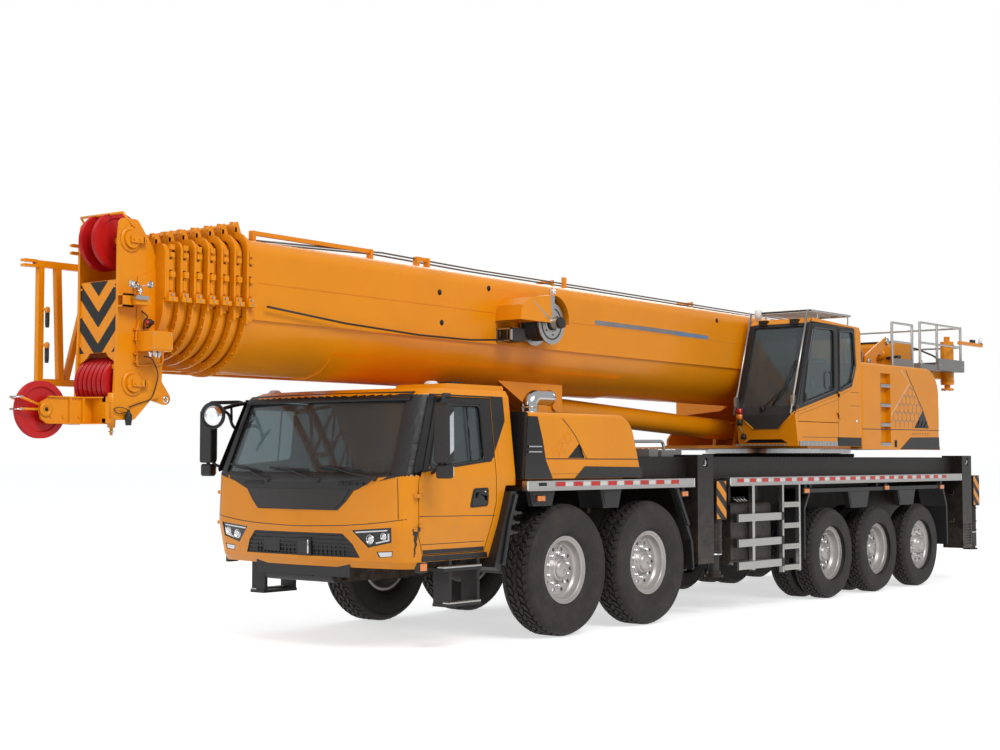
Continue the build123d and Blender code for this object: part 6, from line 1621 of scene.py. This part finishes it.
def boom_side():
    """Side band, sight holes drawn as black discs of painted shade, taut ropes, cable reel and work lamp of the base
    section.
    """
    y = BOOM_HALF
    shape = Shape()
    for s0, s1, z0, z1, look in ((-1.724, -2.6, 3.398, 3.392, "band_grey"), (-2.6, -3.42, 3.392, 3.38, "band_grey"),
            (-3.42, -4.176, 3.38, 3.362, "band_blue")):
        shape.prism([(s0, z0 - 0.027), (s0, z0 + 0.027), (s1, z1 + 0.027), (s1, z1 - 0.027)], "y", y - 0.001,
            y + 0.0015, look)
    # Black discs of painted shade where the sight holes are: they stand for the dark inside of the boom.
    for s, z in ((0.199, 3.633), (0.986, 3.528), (0.952, 3.218), (-4.391, 3.6), (-6.3, 3.58)):
        shape.disc(y - 0.001, y + 0.002, 0.03, (s, 0.0, z), "y", "black", steps=24)
    shape.prism(strip_between([(3.45, 3.412), (-6.4, 3.318)], 0.006), "y", y - 0.001, y + 0.004, "paint_boom")
    rope = [(3.3, 0.25, 3.845), (1.53, 0.25, 3.905), (0.073, 0.25, 3.867), (-2.656, 0.25, 3.838),
        (-5.872, 0.25, 3.796), (-7.7, 0.25, 3.775)]
    shape.tube(rope, 0.009, "rope", 8)
    shape.tube([(s, 0.1, z) for s, _, z in rope], 0.009, "rope", 8)
    cable = [(3.4, 0.612, 3.196), (2.4, 0.612, 3.11), (1.359, 0.615, 3.062), (0.57, 0.62, 3.058), (-0.13, 0.64, 3.1)]
    shape.tube(cable, 0.01, "black", 8)
    shape.box(-1.47, -1.53, 0.255, 0.285, 3.764, 3.92, "paint_boom")
    shape.piece("boom_side_details", "boom")
    reel = Shape()
    s, z = REEL
    reel.ring(0.85, 0.853, 0.165, 0.18, (s, 0.0, z), "y", "black", steps=48)
    reel.ring(0.85, 0.856, 0.09, 0.1, (s, 0.0, z), "y", "steel", steps=40)
    for k in range(6):
        a = math.radians(60 * k + 20)
        bolt(reel, (s + 0.125 * math.cos(a), 0.85, z + 0.125 * math.sin(a)), "y", 0.009, 0.006, "cast")
    reel.solid([(0.846, 0.078), (0.872, 0.072), (0.885, 0.055), (0.955, 0.05), (0.955, 0.062), (0.985, 0.062),
        (0.992, 0.05)], (s, 0.0, z), "y", "black", steps=32)
    reel.box(s - 0.085, s - 0.03, 0.88, 0.975, z - 0.045, z + 0.03, "cast")
    profile = [(0.61, 0.1)]
    for k in range(11):
        c = 0.62 + k * 0.02
        profile += [(c - 0.0095, 0.172), (c - 0.006, 0.181), (c, 0.184), (c + 0.006, 0.181), (c + 0.0095, 0.172)]
    profile += [(0.83, 0.1)]
    reel.turned(profile, (s, 0.0, z), "y", "black", steps=48)
    # Cable guide: steel frame round two black rollers.
    for y0, y1, z0, z1 in ((0.552, 0.752, 3.198, 3.212), (0.552, 0.752, 3.072, 3.086), (0.552, 0.566, 3.072, 3.212),
            (0.738, 0.752, 3.072, 3.212)):
        reel.box(0.045, 0.075, y0, y1, z0, z1, "aluminium")
    reel.box(0.04, 0.062, 0.566, 0.738, 3.086, 3.198, "black_gloss")
    for a in (0.6, 0.7):
        reel.rod((0.068, a, 3.086), (0.068, a, 3.198), 0.012, "cast", 12)
    # Work lamp on the reel's hood.
    reel.turned([(-0.03, 0.0), (-0.028, 0.032), (-0.004, 0.044), (0.012, 0.044), (0.012, 0.0)], WORK_LAMP, "x",
        "chrome", steps=28)
    reel.solid([(0.01, 0.038), (0.015, 0.03), (0.018, 0.0)], WORK_LAMP, "x", "lens_clear", steps=28)
    reel.tube([(-0.6, 0.8, 3.6), (-0.6, 0.8, 3.552)], 0.01, "black", 8)
    reel.box(-0.635, -0.565, 0.775, 0.825, 3.548, 3.556, "black")
    reel.piece("reel_details", "boom", "black_plastic")


collars()
chevron()
head_parts()
auxiliary_arm()
boom_side()


# ---------------------------------------------------------------- superstructure
def opcab_front_at(z):
    """Station of the operator's cab's front wall."""
    return float(np.interp(z, (1.985, 2.38, 3.0, 3.58, 3.64), (-4.77, -4.69, -4.9, -5.09, -5.17)))


def front_strip(shape, rows, look, thick=0.005):
    """Panel on the operator's cab's front wall between rows of (z, y0, y1), lowest first."""
    rows = sorted(rows)
    points, faces = [], []
    for z, y0, y1 in rows:
        s = opcab_front_at(z)
        points += [(s - 0.002, y0, z), (s + thick, y0, z), (s + thick, y1, z), (s - 0.002, y1, z)]
    for k in range(len(rows) - 1):
        a, b = 4 * k, 4 * k + 4
        faces += [(a + i, a + (i + 1) % 4, b + (i + 1) % 4, b + i) for i in range(4)]
    last = 4 * len(rows) - 4
    faces += [(3, 2, 1, 0), (last, last + 1, last + 2, last + 3)]
    return shape.add(points, faces, look)


DOOR_PANE = [(-4.9, 2.53), (-5.74, 2.72), (-5.74, 3.52), (-5.19, 3.52), (-5.03, 3.06)]
REAR_PANE = [(-5.89, 2.72), (-6.23, 2.84), (-6.33, 3.08), (-6.29, 3.52), (-5.89, 3.52)]


def pane_ring(pane, y):
    """Path of the rubber seal round a side window."""
    middle = tuple((a + b) / 2 for a, b in zip(pane[-1], pane[0]))
    path = [middle, *pane, middle]
    return rounded_path([(s, y, z) for s, z in path], 0.045, 4)[:-1]


def operator_cab_trim():
    """Black window frames, mesh notch, rods, lamps, wiper and steps of the operator's cab."""
    y = WALL
    shape = Shape()
    plate_on(shape, y, [(-4.708, 2.436), (-4.771, 2.45), (-4.771, 2.502), (-4.951, 3.062), (-5.141, 3.58),
        (-5.096, 3.58), (-4.906, 3.0)], "trim", 0.004)
    rear = [(-5.869, 2.69), (-6.25, 2.79), (-6.375, 3.07), (-6.33, 3.565), (-5.869, 3.565)]
    for k in range(5):
        n = (k + 1) % 5
        plate_on(shape, y, [rear[k], rear[n], REAR_PANE[n], REAR_PANE[k]], "trim", 0.004)
    plate_on(shape, y, [(-5.1, 3.584), (-6.3, 3.566), (-6.3, 3.574), (-5.11, 3.594)], "trim", 0.004)
    shape.tube(pane_ring(REAR_PANE, y + 0.002), 0.013, "black_gloss", 8, closed=True)
    # Front: frame round the windscreen and the black notch under it.
    for y0, y1 in ((1.425, 1.498), (0.642, 0.712)):
        front_strip(shape, [(z, y0, y1) for z in (2.4, 3.0, 3.565)], "trim")
    front_strip(shape, [(3.53, 0.7, 1.45), (3.572, 0.7, 1.45)], "trim")
    front_strip(shape, [(2.2, 0.885, 1.245), (2.38, 0.69, 1.44), (2.49, 0.69, 1.44)], "mesh", 0.008)
    for low, high in (((2.2, 0.885), (2.42, 0.645)), ((2.2, 1.245), (2.42, 1.495))):
        a = Vector((opcab_front_at(low[0]) + 0.008, low[1], low[0]))
        b = Vector((opcab_front_at(high[0]) + 0.008, high[1], high[0]))
        shape.tube([a, (a + b) / 2 + Vector((0.004, 0, 0)), b], 0.01, "paint", 8)
    # Lower front: slot drawn as a flat gloss black panel of painted shade, with its step plate and treads.
    front_strip(shape, [(2.026, 0.74, 1.35), (2.07, 0.815, 1.275)], "black_gloss", 0.006)
    shape.box(-4.785, -4.655, 0.645, 1.36, 1.99, 2.004, "plate_light")
    for k in range(11):
        shape.box(-4.66, -4.652, 0.665 + k * 0.064, 0.7 + k * 0.064, 1.988, 2.01, "aluminium")
    # Side: step strip, vent, crease, lock and seams.
    shape.box(-4.795, -5.808, y, y + 0.016, 1.987, 2.048, "plate_light")
    for k in range(24):
        s = -4.81 - k * 0.0415
        shape.box(s, s - 0.022, y + 0.014, y + 0.019, 1.998, 2.038, "aluminium")
    shape.box(-5.83, -6.505, y, y + 0.006, 1.99, 2.106, "black")
    for z in (2.03, 2.07):
        shape.box(-5.845, -6.49, y + 0.004, y + 0.014, z - 0.008, z + 0.006, "trim")
    seam_on(shape, y, [(-5.856, 2.292), (-5.856, 2.11), (-5.8, 2.1), (-4.9, 2.1)], 0.006)
    for z in (2.53, 2.71):
        seam_on(shape, y, [(-6.2, z), (-6.46, z)], 0.005, "seal", 0.0008)
    shape.solid([(y - 0.004, 0.024), (y + 0.01, 0.022), (y + 0.014, 0.014)], (-6.37, 0.0, 2.33), "y", "chrome",
        steps=24)
    seam_on(shape, y, [(-4.735, 2.415), (-4.9, 2.445), (-6.2, 2.735), (-6.4, 3.05), (-6.36, 3.6)], 0.004, "seal",
        0.0008)
    # Silver rods in front of the cab with their sockets.
    for low, high in (((-4.64, 1.462, 2.396), (-5.13, 1.462, 3.742)), ((-4.625, 0.65, 2.384), (-5.085, 0.65, 3.712))):
        shape.rod(low, high, 0.0135, "aluminium", 12)
        for t in (0.03, 0.12, 0.93):
            p = Vector(low).lerp(Vector(high), t)
            wall = opcab_front_at(min(p.z, 3.58))
            shape.tube([p, (wall - 0.01, p.y, p.z)], 0.01, "aluminium", 8)
        p = Vector(low).lerp(Vector(high), 0.12)
        shape.box(p.x - 0.05, p.x + 0.02, p.y - 0.018, p.y + 0.018, p.z - 0.07, p.z + 0.07, "aluminium")
    # Work lamps at the roof's edge, wiper, stalk and signal light.
    for a in (0.835, 1.29):
        s = opcab_front_at(3.59)
        shape.box(s - 0.03, s + 0.055, a - 0.052, a + 0.052, 3.556, 3.626, "black")
        shape.box(s + 0.052, s + 0.06, a - 0.043, a + 0.043, 3.564, 3.618, "glass_dark")
    pivot = (opcab_front_at(2.46) + 0.03, 1.035, 2.46)
    tip = (opcab_front_at(2.76) + 0.035, 1.325, 2.76)
    shape.solid([(-0.02, 0.034), (0.02, 0.03), (0.028, 0.0)], pivot, "x", "black", steps=20)
    shape.tube([pivot, tip], 0.009, "black", 8)
    blade = [(opcab_front_at(z) + 0.016, a, z) for a, z in ((1.17, 2.5), (1.3, 2.76), (1.4, 3.08))]
    shape.tube(blade, 0.011, "seal", 6)
    stick = [(-4.725, 0.735, 2.115), (-4.69, 0.722, 2.2), (-4.672, 0.705, 2.23), (-4.668, 0.712, 2.27)]
    shape.tube(stick, 0.007, "aluminium", 8)
    shape.solid([(2.07, 0.034), (2.12, 0.036), (2.145, 0.022), (2.15, 0.0)], (-4.722, 0.737, 0.0), "z", "black",
        steps=20)
    for low, high, look in ((2.25, 2.325, "black"), (2.325, 2.395, "lens_amber"), (2.395, 2.47, "lens_red")):
        shape.solid([(low, 0.037), (high - 0.004, 0.037), (high, 0.03)], (-4.665, 0.715, 0.0), "z", look, steps=24)
    shape.piece("operator_cab_trim", "superstructure", "black_plastic")

    roof = Shape()
    for k in range(26):
        s = -5.215 - k * 0.042
        roof.box(s, s - 0.018, 0.675, 1.465, 3.7455, 3.7525, "aluminium")
    roof.box(-5.205, -5.2, 0.665, 1.475, 3.728, 3.755, "aluminium")
    roof.solid([(3.64, 0.03), (3.665, 0.03), (3.67, 0.045), (3.775, 0.045), (3.785, 0.035)], (-5.185, 0.7, 0.0), "z",
        "white_paint", steps=24)
    roof.piece("roof_guard_slats", "superstructure", "aluminium")

    door = Shape()
    outer = [(-4.786, 2.454), (-5.853, 2.689), (-5.853, 3.568), (-5.158, 3.568), (-4.968, 3.06), (-4.786, 2.502)]
    for k in range(5):
        n = (k + 1) % 5
        plate_on(door, y, [outer[k], outer[k + 1], DOOR_PANE[n], DOOR_PANE[k]], "trim", 0.004)
    plate_on(door, y, [outer[5], outer[0], DOOR_PANE[0]], "trim", 0.004)
    door.tube(pane_ring(DOOR_PANE, y + 0.002), 0.013, "black_gloss", 8, closed=True)
    door.box(-4.975, -4.935, y, y + 0.02, 2.56, 2.66, "black")
    door.tube([(-5.6, y + 0.004, 2.74), (-5.6, y + 0.034, 2.77), (-5.6, y + 0.034, 2.93), (-5.6, y + 0.004, 2.96)],
        0.01, "black", 8)
    seam_on(door, y, [(-4.79, 2.38), (-5.85, 2.6)], 0.004, "seal", 0.0008)
    door.piece("operator_door_trim", "operator_door", "black_plastic")


def side_cover_trim():
    """Seams, bands, vent, comb and step treads of the covers behind the cab."""
    y = WALL
    shape = Shape()
    plate_on(shape, y, [(-8.177, 2.264), (-8.643, 2.262), (-8.458, 2.512)], "black_gloss", 0.002)
    for k in range(3):
        s = -8.26 - k * 0.11
        shape.prism([(s, 2.275), (s - 0.045, 2.275), (s - 0.092 - 0.004 * k, 2.36), (s - 0.076, 2.375 - 0.01 * k)],
            "y", y, y + 0.01, "trim")
    seam_on(shape, y, [(-7.905, 3.075), (-8.458, 2.518), (-8.643, 2.262)], 0.016)
    seam_on(shape, y, [(-6.552, 2.226), (-9.01, 2.238)], 0.01)
    plate_on(shape, y, [(-7.7, 1.957), (-8.04, 2.125), (-8.995, 2.138), (-9.005, 1.957)], "trim", 0.004)
    seam_on(shape, y, [(-8.02, 2.1), (-8.02, 1.96)], 0.006, "black")
    seam_on(shape, y, [(-7.426, 2.429), (-8.022, 2.891), (-7.76, 3.075)], 0.007, "white_paint", 0.001)
    comb = comb_centres(-7.5, -8.55, 2.3, 2.95, 0.078)
    honeycomb(shape, y, comb, 0.078, "band_grey", lambda p: p[0] < -7.44 and 2.25 < p[1] < 2.86
        and p[1] < 2.429 + (-7.4 - p[0]) * 0.775 - 0.03 and p[0] > -8.13 - (2.88 - p[1]) * 0.8
        and not (p[0] < -8.16 and p[1] < 2.5 - (p[0] + 8.4)), 0.0015, 0.011)
    for z in (2.185, 2.165):
        for k in range(7):
            shape.box(-8.08 - k * 0.085, -8.125 - k * 0.085, y, y + 0.001, z, z + 0.005, "seal")
    shape.box(-7.525, -7.59, y, y + 0.006, 1.985, 2.085, "black")
    shape.box(-7.545, -7.57, y + 0.004, y + 0.012, 2.005, 2.065, "black_gloss")
    for z in (2.0, 2.27, 2.54, 2.81):
        shape.box(-7.106, -7.404, 1.432, 1.503, z + 0.0455, z + 0.05, "plate_light")
        shape.box(-7.106, -7.404, 1.4985, 1.503, z, z + 0.05, "aluminium")
        for k in range(7):
            s = -7.125 - k * 0.041
            shape.box(s, s - 0.02, 1.502, 1.506, z + 0.012, z + 0.038, "aluminium")
    shape.both().piece("side_cover_lines", "superstructure", "black_plastic")


def tail_fittings():
    """Link plates, winch drives and blocks behind the boom's foot, and the platform's small parts."""
    shape = Shape()
    for side in (-1, 1):
        link = [(-8.345, 3.15), (-8.345, 3.345), (-8.6, 3.47), (-9.02, 3.66), (-9.1, 3.62), (-9.1, 3.54),
            (-8.72, 3.36), (-8.6, 3.15)]
        shape.prism(link, "y", side * 0.64, side * 0.67, "paint")
        shape.solid([(side * 0.672, 0.055), (side * 0.7, 0.05), (side * 0.704, 0.0)], (-9.03, 0.0, 3.59), "y",
            "steel", steps=24)
        shape.solid([(side * 0.672, 0.05), (side * 0.695, 0.045), (side * 0.698, 0.0)], (-8.42, 0.0, 3.26), "y",
            "steel", steps=24)
    shape.prism([(-9.36, 3.236), (-9.36, 3.54), (-9.44, 3.6), (-9.98, 3.6), (-10.02, 3.56), (-10.02, 3.236)], "y",
        -0.62, 0.62, "paint")
    shape.box(-9.42, -9.95, -0.55, 0.55, 3.598, 3.625, "dark_paint")
    for a in (-0.42, 0.0, 0.42):
        shape.solid([(0.0, 0.085), (0.03, 0.085), (0.05, 0.06)], (-9.355, a, 3.42), "x", "paint", steps=28)
        shape.solid([(0.0, 0.028), (0.02, 0.022)], (-9.31, a, 3.42), "x", "steel", steps=12)
    shape.boxes("paint", (-10.06, -10.26, 0.1, 0.46, 3.236, 3.48), (-10.06, -10.26, -0.46, -0.1, 3.236, 3.42))
    shape.piece("winch_drive_blocks", "superstructure", bevel=0.012)
    small = Shape()
    for side in (-1, 1):
        for s in (-9.02, -9.62, -10.45):
            small.solid([(3.235, 0.045), (3.25, 0.045), (3.256, 0.026), (3.29, 0.024)], (s, side * 1.22, 0.0), "z",
                "aluminium", steps=20)
        small.solid([(3.852, 0.019), (3.868, 0.012), (3.87, 0.0)], (-10.47, side * 1.22, 0.0), "z", "steel", steps=16)
        small.tube(rounded_path([(-9.05, side * 0.86, 3.24), (-9.05, side * 0.86, 3.33), (-9.22, side * 0.8, 3.37),
            (-9.36, side * 0.52, 3.36)], 0.05, 5), 0.022, "rubber", 10)
        small.tube(rounded_path([(-10.02, side * 0.3, 3.5), (-10.16, side * 0.34, 3.58), (-10.3, side * 0.55, 3.56),
            (-10.34, side * 0.86, 3.42), (-10.35, side * 0.955, 3.3)], 0.06, 5), 0.014, "rubber", 10)
        for z in (3.02, 3.2, 3.58):
            small.ring(z, z + 0.018, 0.0995, 0.108, (-10.35, side * 1.05, 0.0), "z", "paint", steps=32)
        for k in range(6):
            a = k * math.pi / 3
            small.disc(2.876, 2.887, 0.011, (-10.35 + 0.075 * math.cos(a), side * 1.05 + 0.075 * math.sin(a), 0.0),
                "z", "steel", steps=6)
    small.solid([(3.65, 0.032), (3.69, 0.03), (3.742, 0.024), (3.752, 0.0)], (-11.262, 1.21, 0.0), "z", "lens_clear",
        steps=20)
    small.disc(3.646, 3.658, 0.04, (-11.262, 1.21, 0.0), "z", "black", steps=20)
    small.box(-10.9, -11.02, 1.186, 1.234, 3.65, 3.7, "black")
    small.piece("platform_fittings", "superstructure", "aluminium")


operator_cab_trim()
side_cover_trim()
tail_fittings()


# ---------------------------------------------------------------- seats and controls
def cushion(name, body, centre, size, lean=0.0, crown=0.18, pull=0.05, channels=(), across=()):
    """Padded cushion: crowned on +z, sides pulled in between its corners, with sewn channels."""
    cells = 18
    edit = bmesh.new()
    bmesh.ops.create_cube(edit, size=2.0)
    bmesh.ops.subdivide_edges(edit, edges=edit.edges[:], cuts=cells - 1, use_grid_fill=True)
    half = Vector(size) / 2
    for v in edit.verts:
        x, y, z = v.co
        # Rounded box: the corners are drawn towards a superellipsoid.
        length = (abs(x) ** 6 + abs(y) ** 6 + abs(z) ** 3.2) ** (1 / 5.2)
        x, y, z = x / max(length, 1.0), y / max(length, 1.0), z / max(length ** 1.4, 1.0)
        x, y = x * (1 - pull * (1 - y * y)), y * (1 - pull * (1 - x * x))
        if z > 0:
            z *= 1 + crown * (1 - x * x) * (1 - y * y) - crown * 0.5
            for line in channels:
                z -= 0.16 * math.exp(-((y - line) / 0.035) ** 2)
            for line in across:
                z -= 0.16 * math.exp(-((x - line) / 0.035) ** 2)
        v.co = Vector((x * half.x, y * half.y, z * half.z))
    c, n = math.cos(lean), math.sin(lean)
    for v in edit.verts:
        x, y, z = v.co
        v.co = Vector((at(centre[0]) + x * c + z * n, centre[1] + y, centre[2] - x * n + z * c))
    for face in edit.faces:
        face.smooth = True
    made = worked(edit, name, "fabric")
    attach(made, body)
    return made


def piping(shape, centre, size, lean=0.0):
    """Adds the welt sewn round a cushion's edge."""
    inset, pull = 0.985, 0.05
    points = []
    for a in turns(48):
        x, y = math.cos(a), math.sin(a)
        length = (abs(x) ** 6 + abs(y) ** 6) ** (1 / 6)
        x, y = x / length, y / length
        x, y = x * (1 - pull * (1 - y * y)), y * (1 - pull * (1 - x * x))
        x, y = x * size[0] / 2 * inset, y * size[1] / 2 * inset
        points.append((centre[0] + x * math.cos(lean), centre[1] + y, centre[2] - x * math.sin(lean)))
    shape.tube(points, 0.005, "seal", 6, closed=True)


CAB_SEAT, OPERATOR_SEAT = 0.72, 1.07  # y of the seats' middle planes
ARM_RESTS = (("inner", 0.815), ("outer", 1.325))


def cab_seats():
    """Two seats of the carrier cab, the dash and the steering wheel."""
    node = "carrier_cab_interior"
    for side, y in (("left", CAB_SEAT), ("right", -CAB_SEAT)):
        base = Shape()
        base.box(1.34, 1.66, y - 0.19, y + 0.19, 0.92, 1.0, "trim")
        for k in range(4):
            base.box(1.36 + k * 0.004, 1.64 - k * 0.004, y - 0.17, y + 0.17, 1.0 + k * 0.055, 1.045 + k * 0.055,
                "dash")
        base.box(1.305, 1.69, y - 0.225, y + 0.225, 1.205, 1.235, "trim")
        seat = ((1.495, y, 1.312), (0.4, 0.47, 0.16))
        back = ((1.19, y, 1.715), (0.66, 0.45, 0.12))
        rest = ((1.135, y, 1.985), (0.15, 0.25, 0.085))
        piping(base, *seat)
        piping(base, *back, -CAB_LEAN)
        base.piece(f"seat_base_{side}", "chassis", "black_plastic", bevel=0.004)
        made = cushion(f"seat_cushion_{side}", "chassis", *seat, channels=(-0.5, 0.5), across=(-0.35,))
        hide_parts(node)
        cushion(f"seat_back_{side}", "chassis", *back, lean=-CAB_LEAN, channels=(-0.55, 0.55), across=(-0.45, 0.05))
        cushion(f"seat_rest_{side}", "chassis", *rest, lean=-CAB_LEAN, crown=0.25)
    dash = Shape()
    profile = [(2.15, 0.935), (2.235, 0.935), (2.235, 1.56), (2.222, 1.61), (2.18, 1.648), (2.08, 1.65),
        (2.03, 1.612), (2.024, 1.56), (2.045, 1.44), (2.09, 1.37), (2.15, 1.345)]
    dash.prism(profile, "y", -1.045, 1.045, "dash")
    dash.piece("dash", "chassis", "black_plastic", bevel=0.006)
    parts = Shape()
    hood = [(2.035, 1.6), (2.045, 1.652), (2.14, 1.654), (2.16, 1.6)]
    parts.prism(hood, "y", 0.5, 0.94, "trim")
    parts.box(2.02, 2.03, 0.54, 0.9, 1.5, 1.6, "black_gloss")
    for a in (0.63, 0.81):
        parts.solid([(-0.012, 0.04), (-0.006, 0.044), (0.0, 0.044)], (2.02, a, 1.552), "x", "aluminium", steps=28)
        parts.disc(-0.014, -0.01, 0.036, (2.02, a, 1.552), "x", "white_paint", steps=28)
    for k in range(5):
        parts.box(2.022, 2.032, 0.1 + k * 0.06, 0.145 + k * 0.06, 1.5, 1.56, "trim")
    parts.tube([(2.06, CAB_SEAT, 1.53), (1.93, CAB_SEAT, 1.625)], 0.03, "trim", 14)
    axis = Vector((-0.81, 0.0, 0.585)).normalized()
    up = Vector((0.585, 0.0, 0.81)).normalized()
    centre = Vector((1.9, CAB_SEAT, 1.645))

    def on_wheel(a, reach):
        return centre + (up * math.cos(a) + Vector((0, 1, 0)) * math.sin(a)) * reach

    parts.tube([on_wheel(a, 0.208) for a in turns(40)], 0.0145, "trim", 10, closed=True)
    for angle in (90, 210, 330):
        parts.tube([centre, on_wheel(math.radians(angle), 0.205)], 0.011, "trim", 8)
    parts.tube([centre - axis * 0.03, centre + axis * 0.012], 0.05, "trim", 20)
    parts.piece("dash_parts", "chassis", "black_plastic", bevel=0.001)


def operator_seat():
    """Operator's seat with arm rests, sticks and plinth."""
    base = Shape()
    base.box(-5.6, -6.0, 0.9, 1.24, 2.035, 2.1, "trim")
    for k in range(4):
        base.box(-5.62 - k * 0.003, -5.98 + k * 0.003, 0.92, 1.22, 2.1 + k * 0.055, 2.145 + k * 0.055, "dash")
    base.box(-5.56, -6.04, 0.855, 1.285, 2.315, 2.345, "trim")
    seat = ((-5.8, OPERATOR_SEAT, 2.425), (0.48, 0.43, 0.155))
    back = ((-6.065, OPERATOR_SEAT, 2.8), (0.69, 0.41, 0.115))
    piping(base, *seat)
    piping(base, *back, -CAB_LEAN)
    base.box(-5.905, -5.955, 0.79, 1.35, 2.51, 2.56, "trim")
    for _, a in ARM_RESTS:
        base.box(-5.46, -5.56, a - 0.03, a + 0.03, 2.6, 2.7, "trim")
        base.tube([(-5.5, a, 2.69), (-5.485, a, 2.79)], 0.009, "black", 8)
        base.solid([(2.775, 0.013), (2.8, 0.022), (2.835, 0.021), (2.85, 0.01)], (-5.48, a, 0.0), "z", "black_gloss",
            steps=18)
    base.piece("operator_seat_base", "superstructure", "black_plastic", bevel=0.003)
    made = cushion("operator_seat_cushion", "superstructure", *seat, channels=(-0.5, 0.5), across=(-0.3,))
    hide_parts("operator_cab_interior")
    cushion("operator_seat_back", "superstructure", *back, lean=-CAB_LEAN, channels=(-0.55, 0.55), across=(-0.4, 0.1))
    cushion("operator_seat_rest", "superstructure", (-6.125, OPERATOR_SEAT, 3.11), (0.15, 0.24, 0.085),
        lean=-CAB_LEAN, crown=0.25)
    for side, a in ARM_RESTS:
        cushion(f"operator_arm_rest_{side}", "superstructure", (-5.755, a, 2.65), (0.37, 0.066, 0.11), crown=0.12,
            pull=0.02)


cab_seats()
operator_seat()


# ---------------------------------------------------------------- stage, lights and camera
def shown_to(tree, output, lit, shown, rays):
    """Lets some rays see one shader while another one lights the scene."""
    path = tree.nodes.new("ShaderNodeLightPath")
    seen = path.outputs[rays[0]]
    for ray in rays[1:]:
        more = tree.nodes.new("ShaderNodeMath")
        more.operation = "MAXIMUM"
        tree.links.new(seen, more.inputs[0])
        tree.links.new(path.outputs[ray], more.inputs[1])
        seen = more.outputs[0]
    mix = tree.nodes.new("ShaderNodeMixShader")
    for source, socket in ((seen, mix.inputs[0]), (lit, mix.inputs[1]), (shown, mix.inputs[2]),
            (mix.outputs[0], output.inputs["Surface"])):
        tree.links.new(source, socket)


def stage():
    """Pale floor and soft studio light."""
    size, under = 400, -0.002
    floor_mesh = bpy.data.meshes.new("floor")
    floor_mesh.from_pydata([(-size, -size, under), (size, -size, under), (size, size, under), (-size, size, under)],
        [], [(0, 1, 2, 3)])
    floor = linked("floor", floor_mesh)
    look = bpy.data.materials.new("floor")
    look.use_nodes = True
    tree = look.node_tree
    tree.nodes.clear()
    diffuse = tree.nodes.new("ShaderNodeBsdfDiffuse")
    diffuse.inputs["Color"].default_value = (0.62, 0.62, 0.62, 1)
    glow = tree.nodes.new("ShaderNodeEmission")
    glow.inputs["Strength"].default_value = 0.62
    add = tree.nodes.new("ShaderNodeAddShader")
    tree.links.new(diffuse.outputs[0], add.inputs[0])
    tree.links.new(glow.outputs[0], add.inputs[1])
    shown_to(tree, tree.nodes.new("ShaderNodeOutputMaterial"), diffuse.outputs[0], add.outputs[0],
        ("Is Camera Ray", "Is Glossy Ray", "Is Transmission Ray"))
    floor_mesh.materials.append(look)

    world = bpy.data.worlds.new("studio")
    bpy.context.scene.world = world
    world.use_nodes = True
    tree = world.node_tree
    tree.nodes.clear()
    backs = []
    for colour, strength in (((0.95, 0.97, 1.0, 1), WORLD_STRENGTH), ((1, 1, 1, 1), 1.0)):
        back = tree.nodes.new("ShaderNodeBackground")
        back.inputs["Color"].default_value = colour
        back.inputs["Strength"].default_value = strength
        backs.append(back.outputs[0])
    shown_to(tree, tree.nodes.new("ShaderNodeOutputWorld"), *backs, ("Is Camera Ray", "Is Transmission Ray"))

    for name, place, aim, size, power in LAMPS:
        data = bpy.data.lights.new(name, "AREA")
        data.shape, data.size, data.size_y, data.energy = "RECTANGLE", size[0], size[1], power
        lamp = bpy.data.objects.new(name, data)
        lamp.location = place
        lamp.rotation_euler = (Vector(aim) - Vector(place)).to_track_quat("-Z", "Y").to_euler()
        bpy.context.scene.collection.objects.link(lamp)


WORLD_STRENGTH = 0.62
# Lamps: name, place, what it points at, size and power.
LAMPS = [("key", (10, 22, 22), (0, 0, 1.5), (16, 10), 5200), ("fill", (26, -6, 9), (2, 0, 1.5), (12, 8), 1500),
    ("rear", (-22, -14, 16), (0, 0, 2), (14, 10), 1800),]


def camera():
    """Camera at the photograph's viewing angle."""
    data = bpy.data.cameras.new("camera")
    data.lens, data.sensor_width = 57.06, 36.0
    data.clip_end = 400
    made = bpy.data.objects.new("camera", data)
    made.location = (15.955, 11.304, 1.82)
    yaw, pitch = math.radians(219.391), math.radians(3.033)
    view = Vector((math.cos(yaw) * math.cos(pitch), math.sin(yaw) * math.cos(pitch), math.sin(pitch)))
    made.rotation_euler = view.to_track_quat("-Z", "Y").to_euler()
    bpy.context.scene.collection.objects.link(made)
    bpy.context.scene.camera = made
    bpy.context.scene.view_settings.view_transform = "Standard"


stage()
camera()
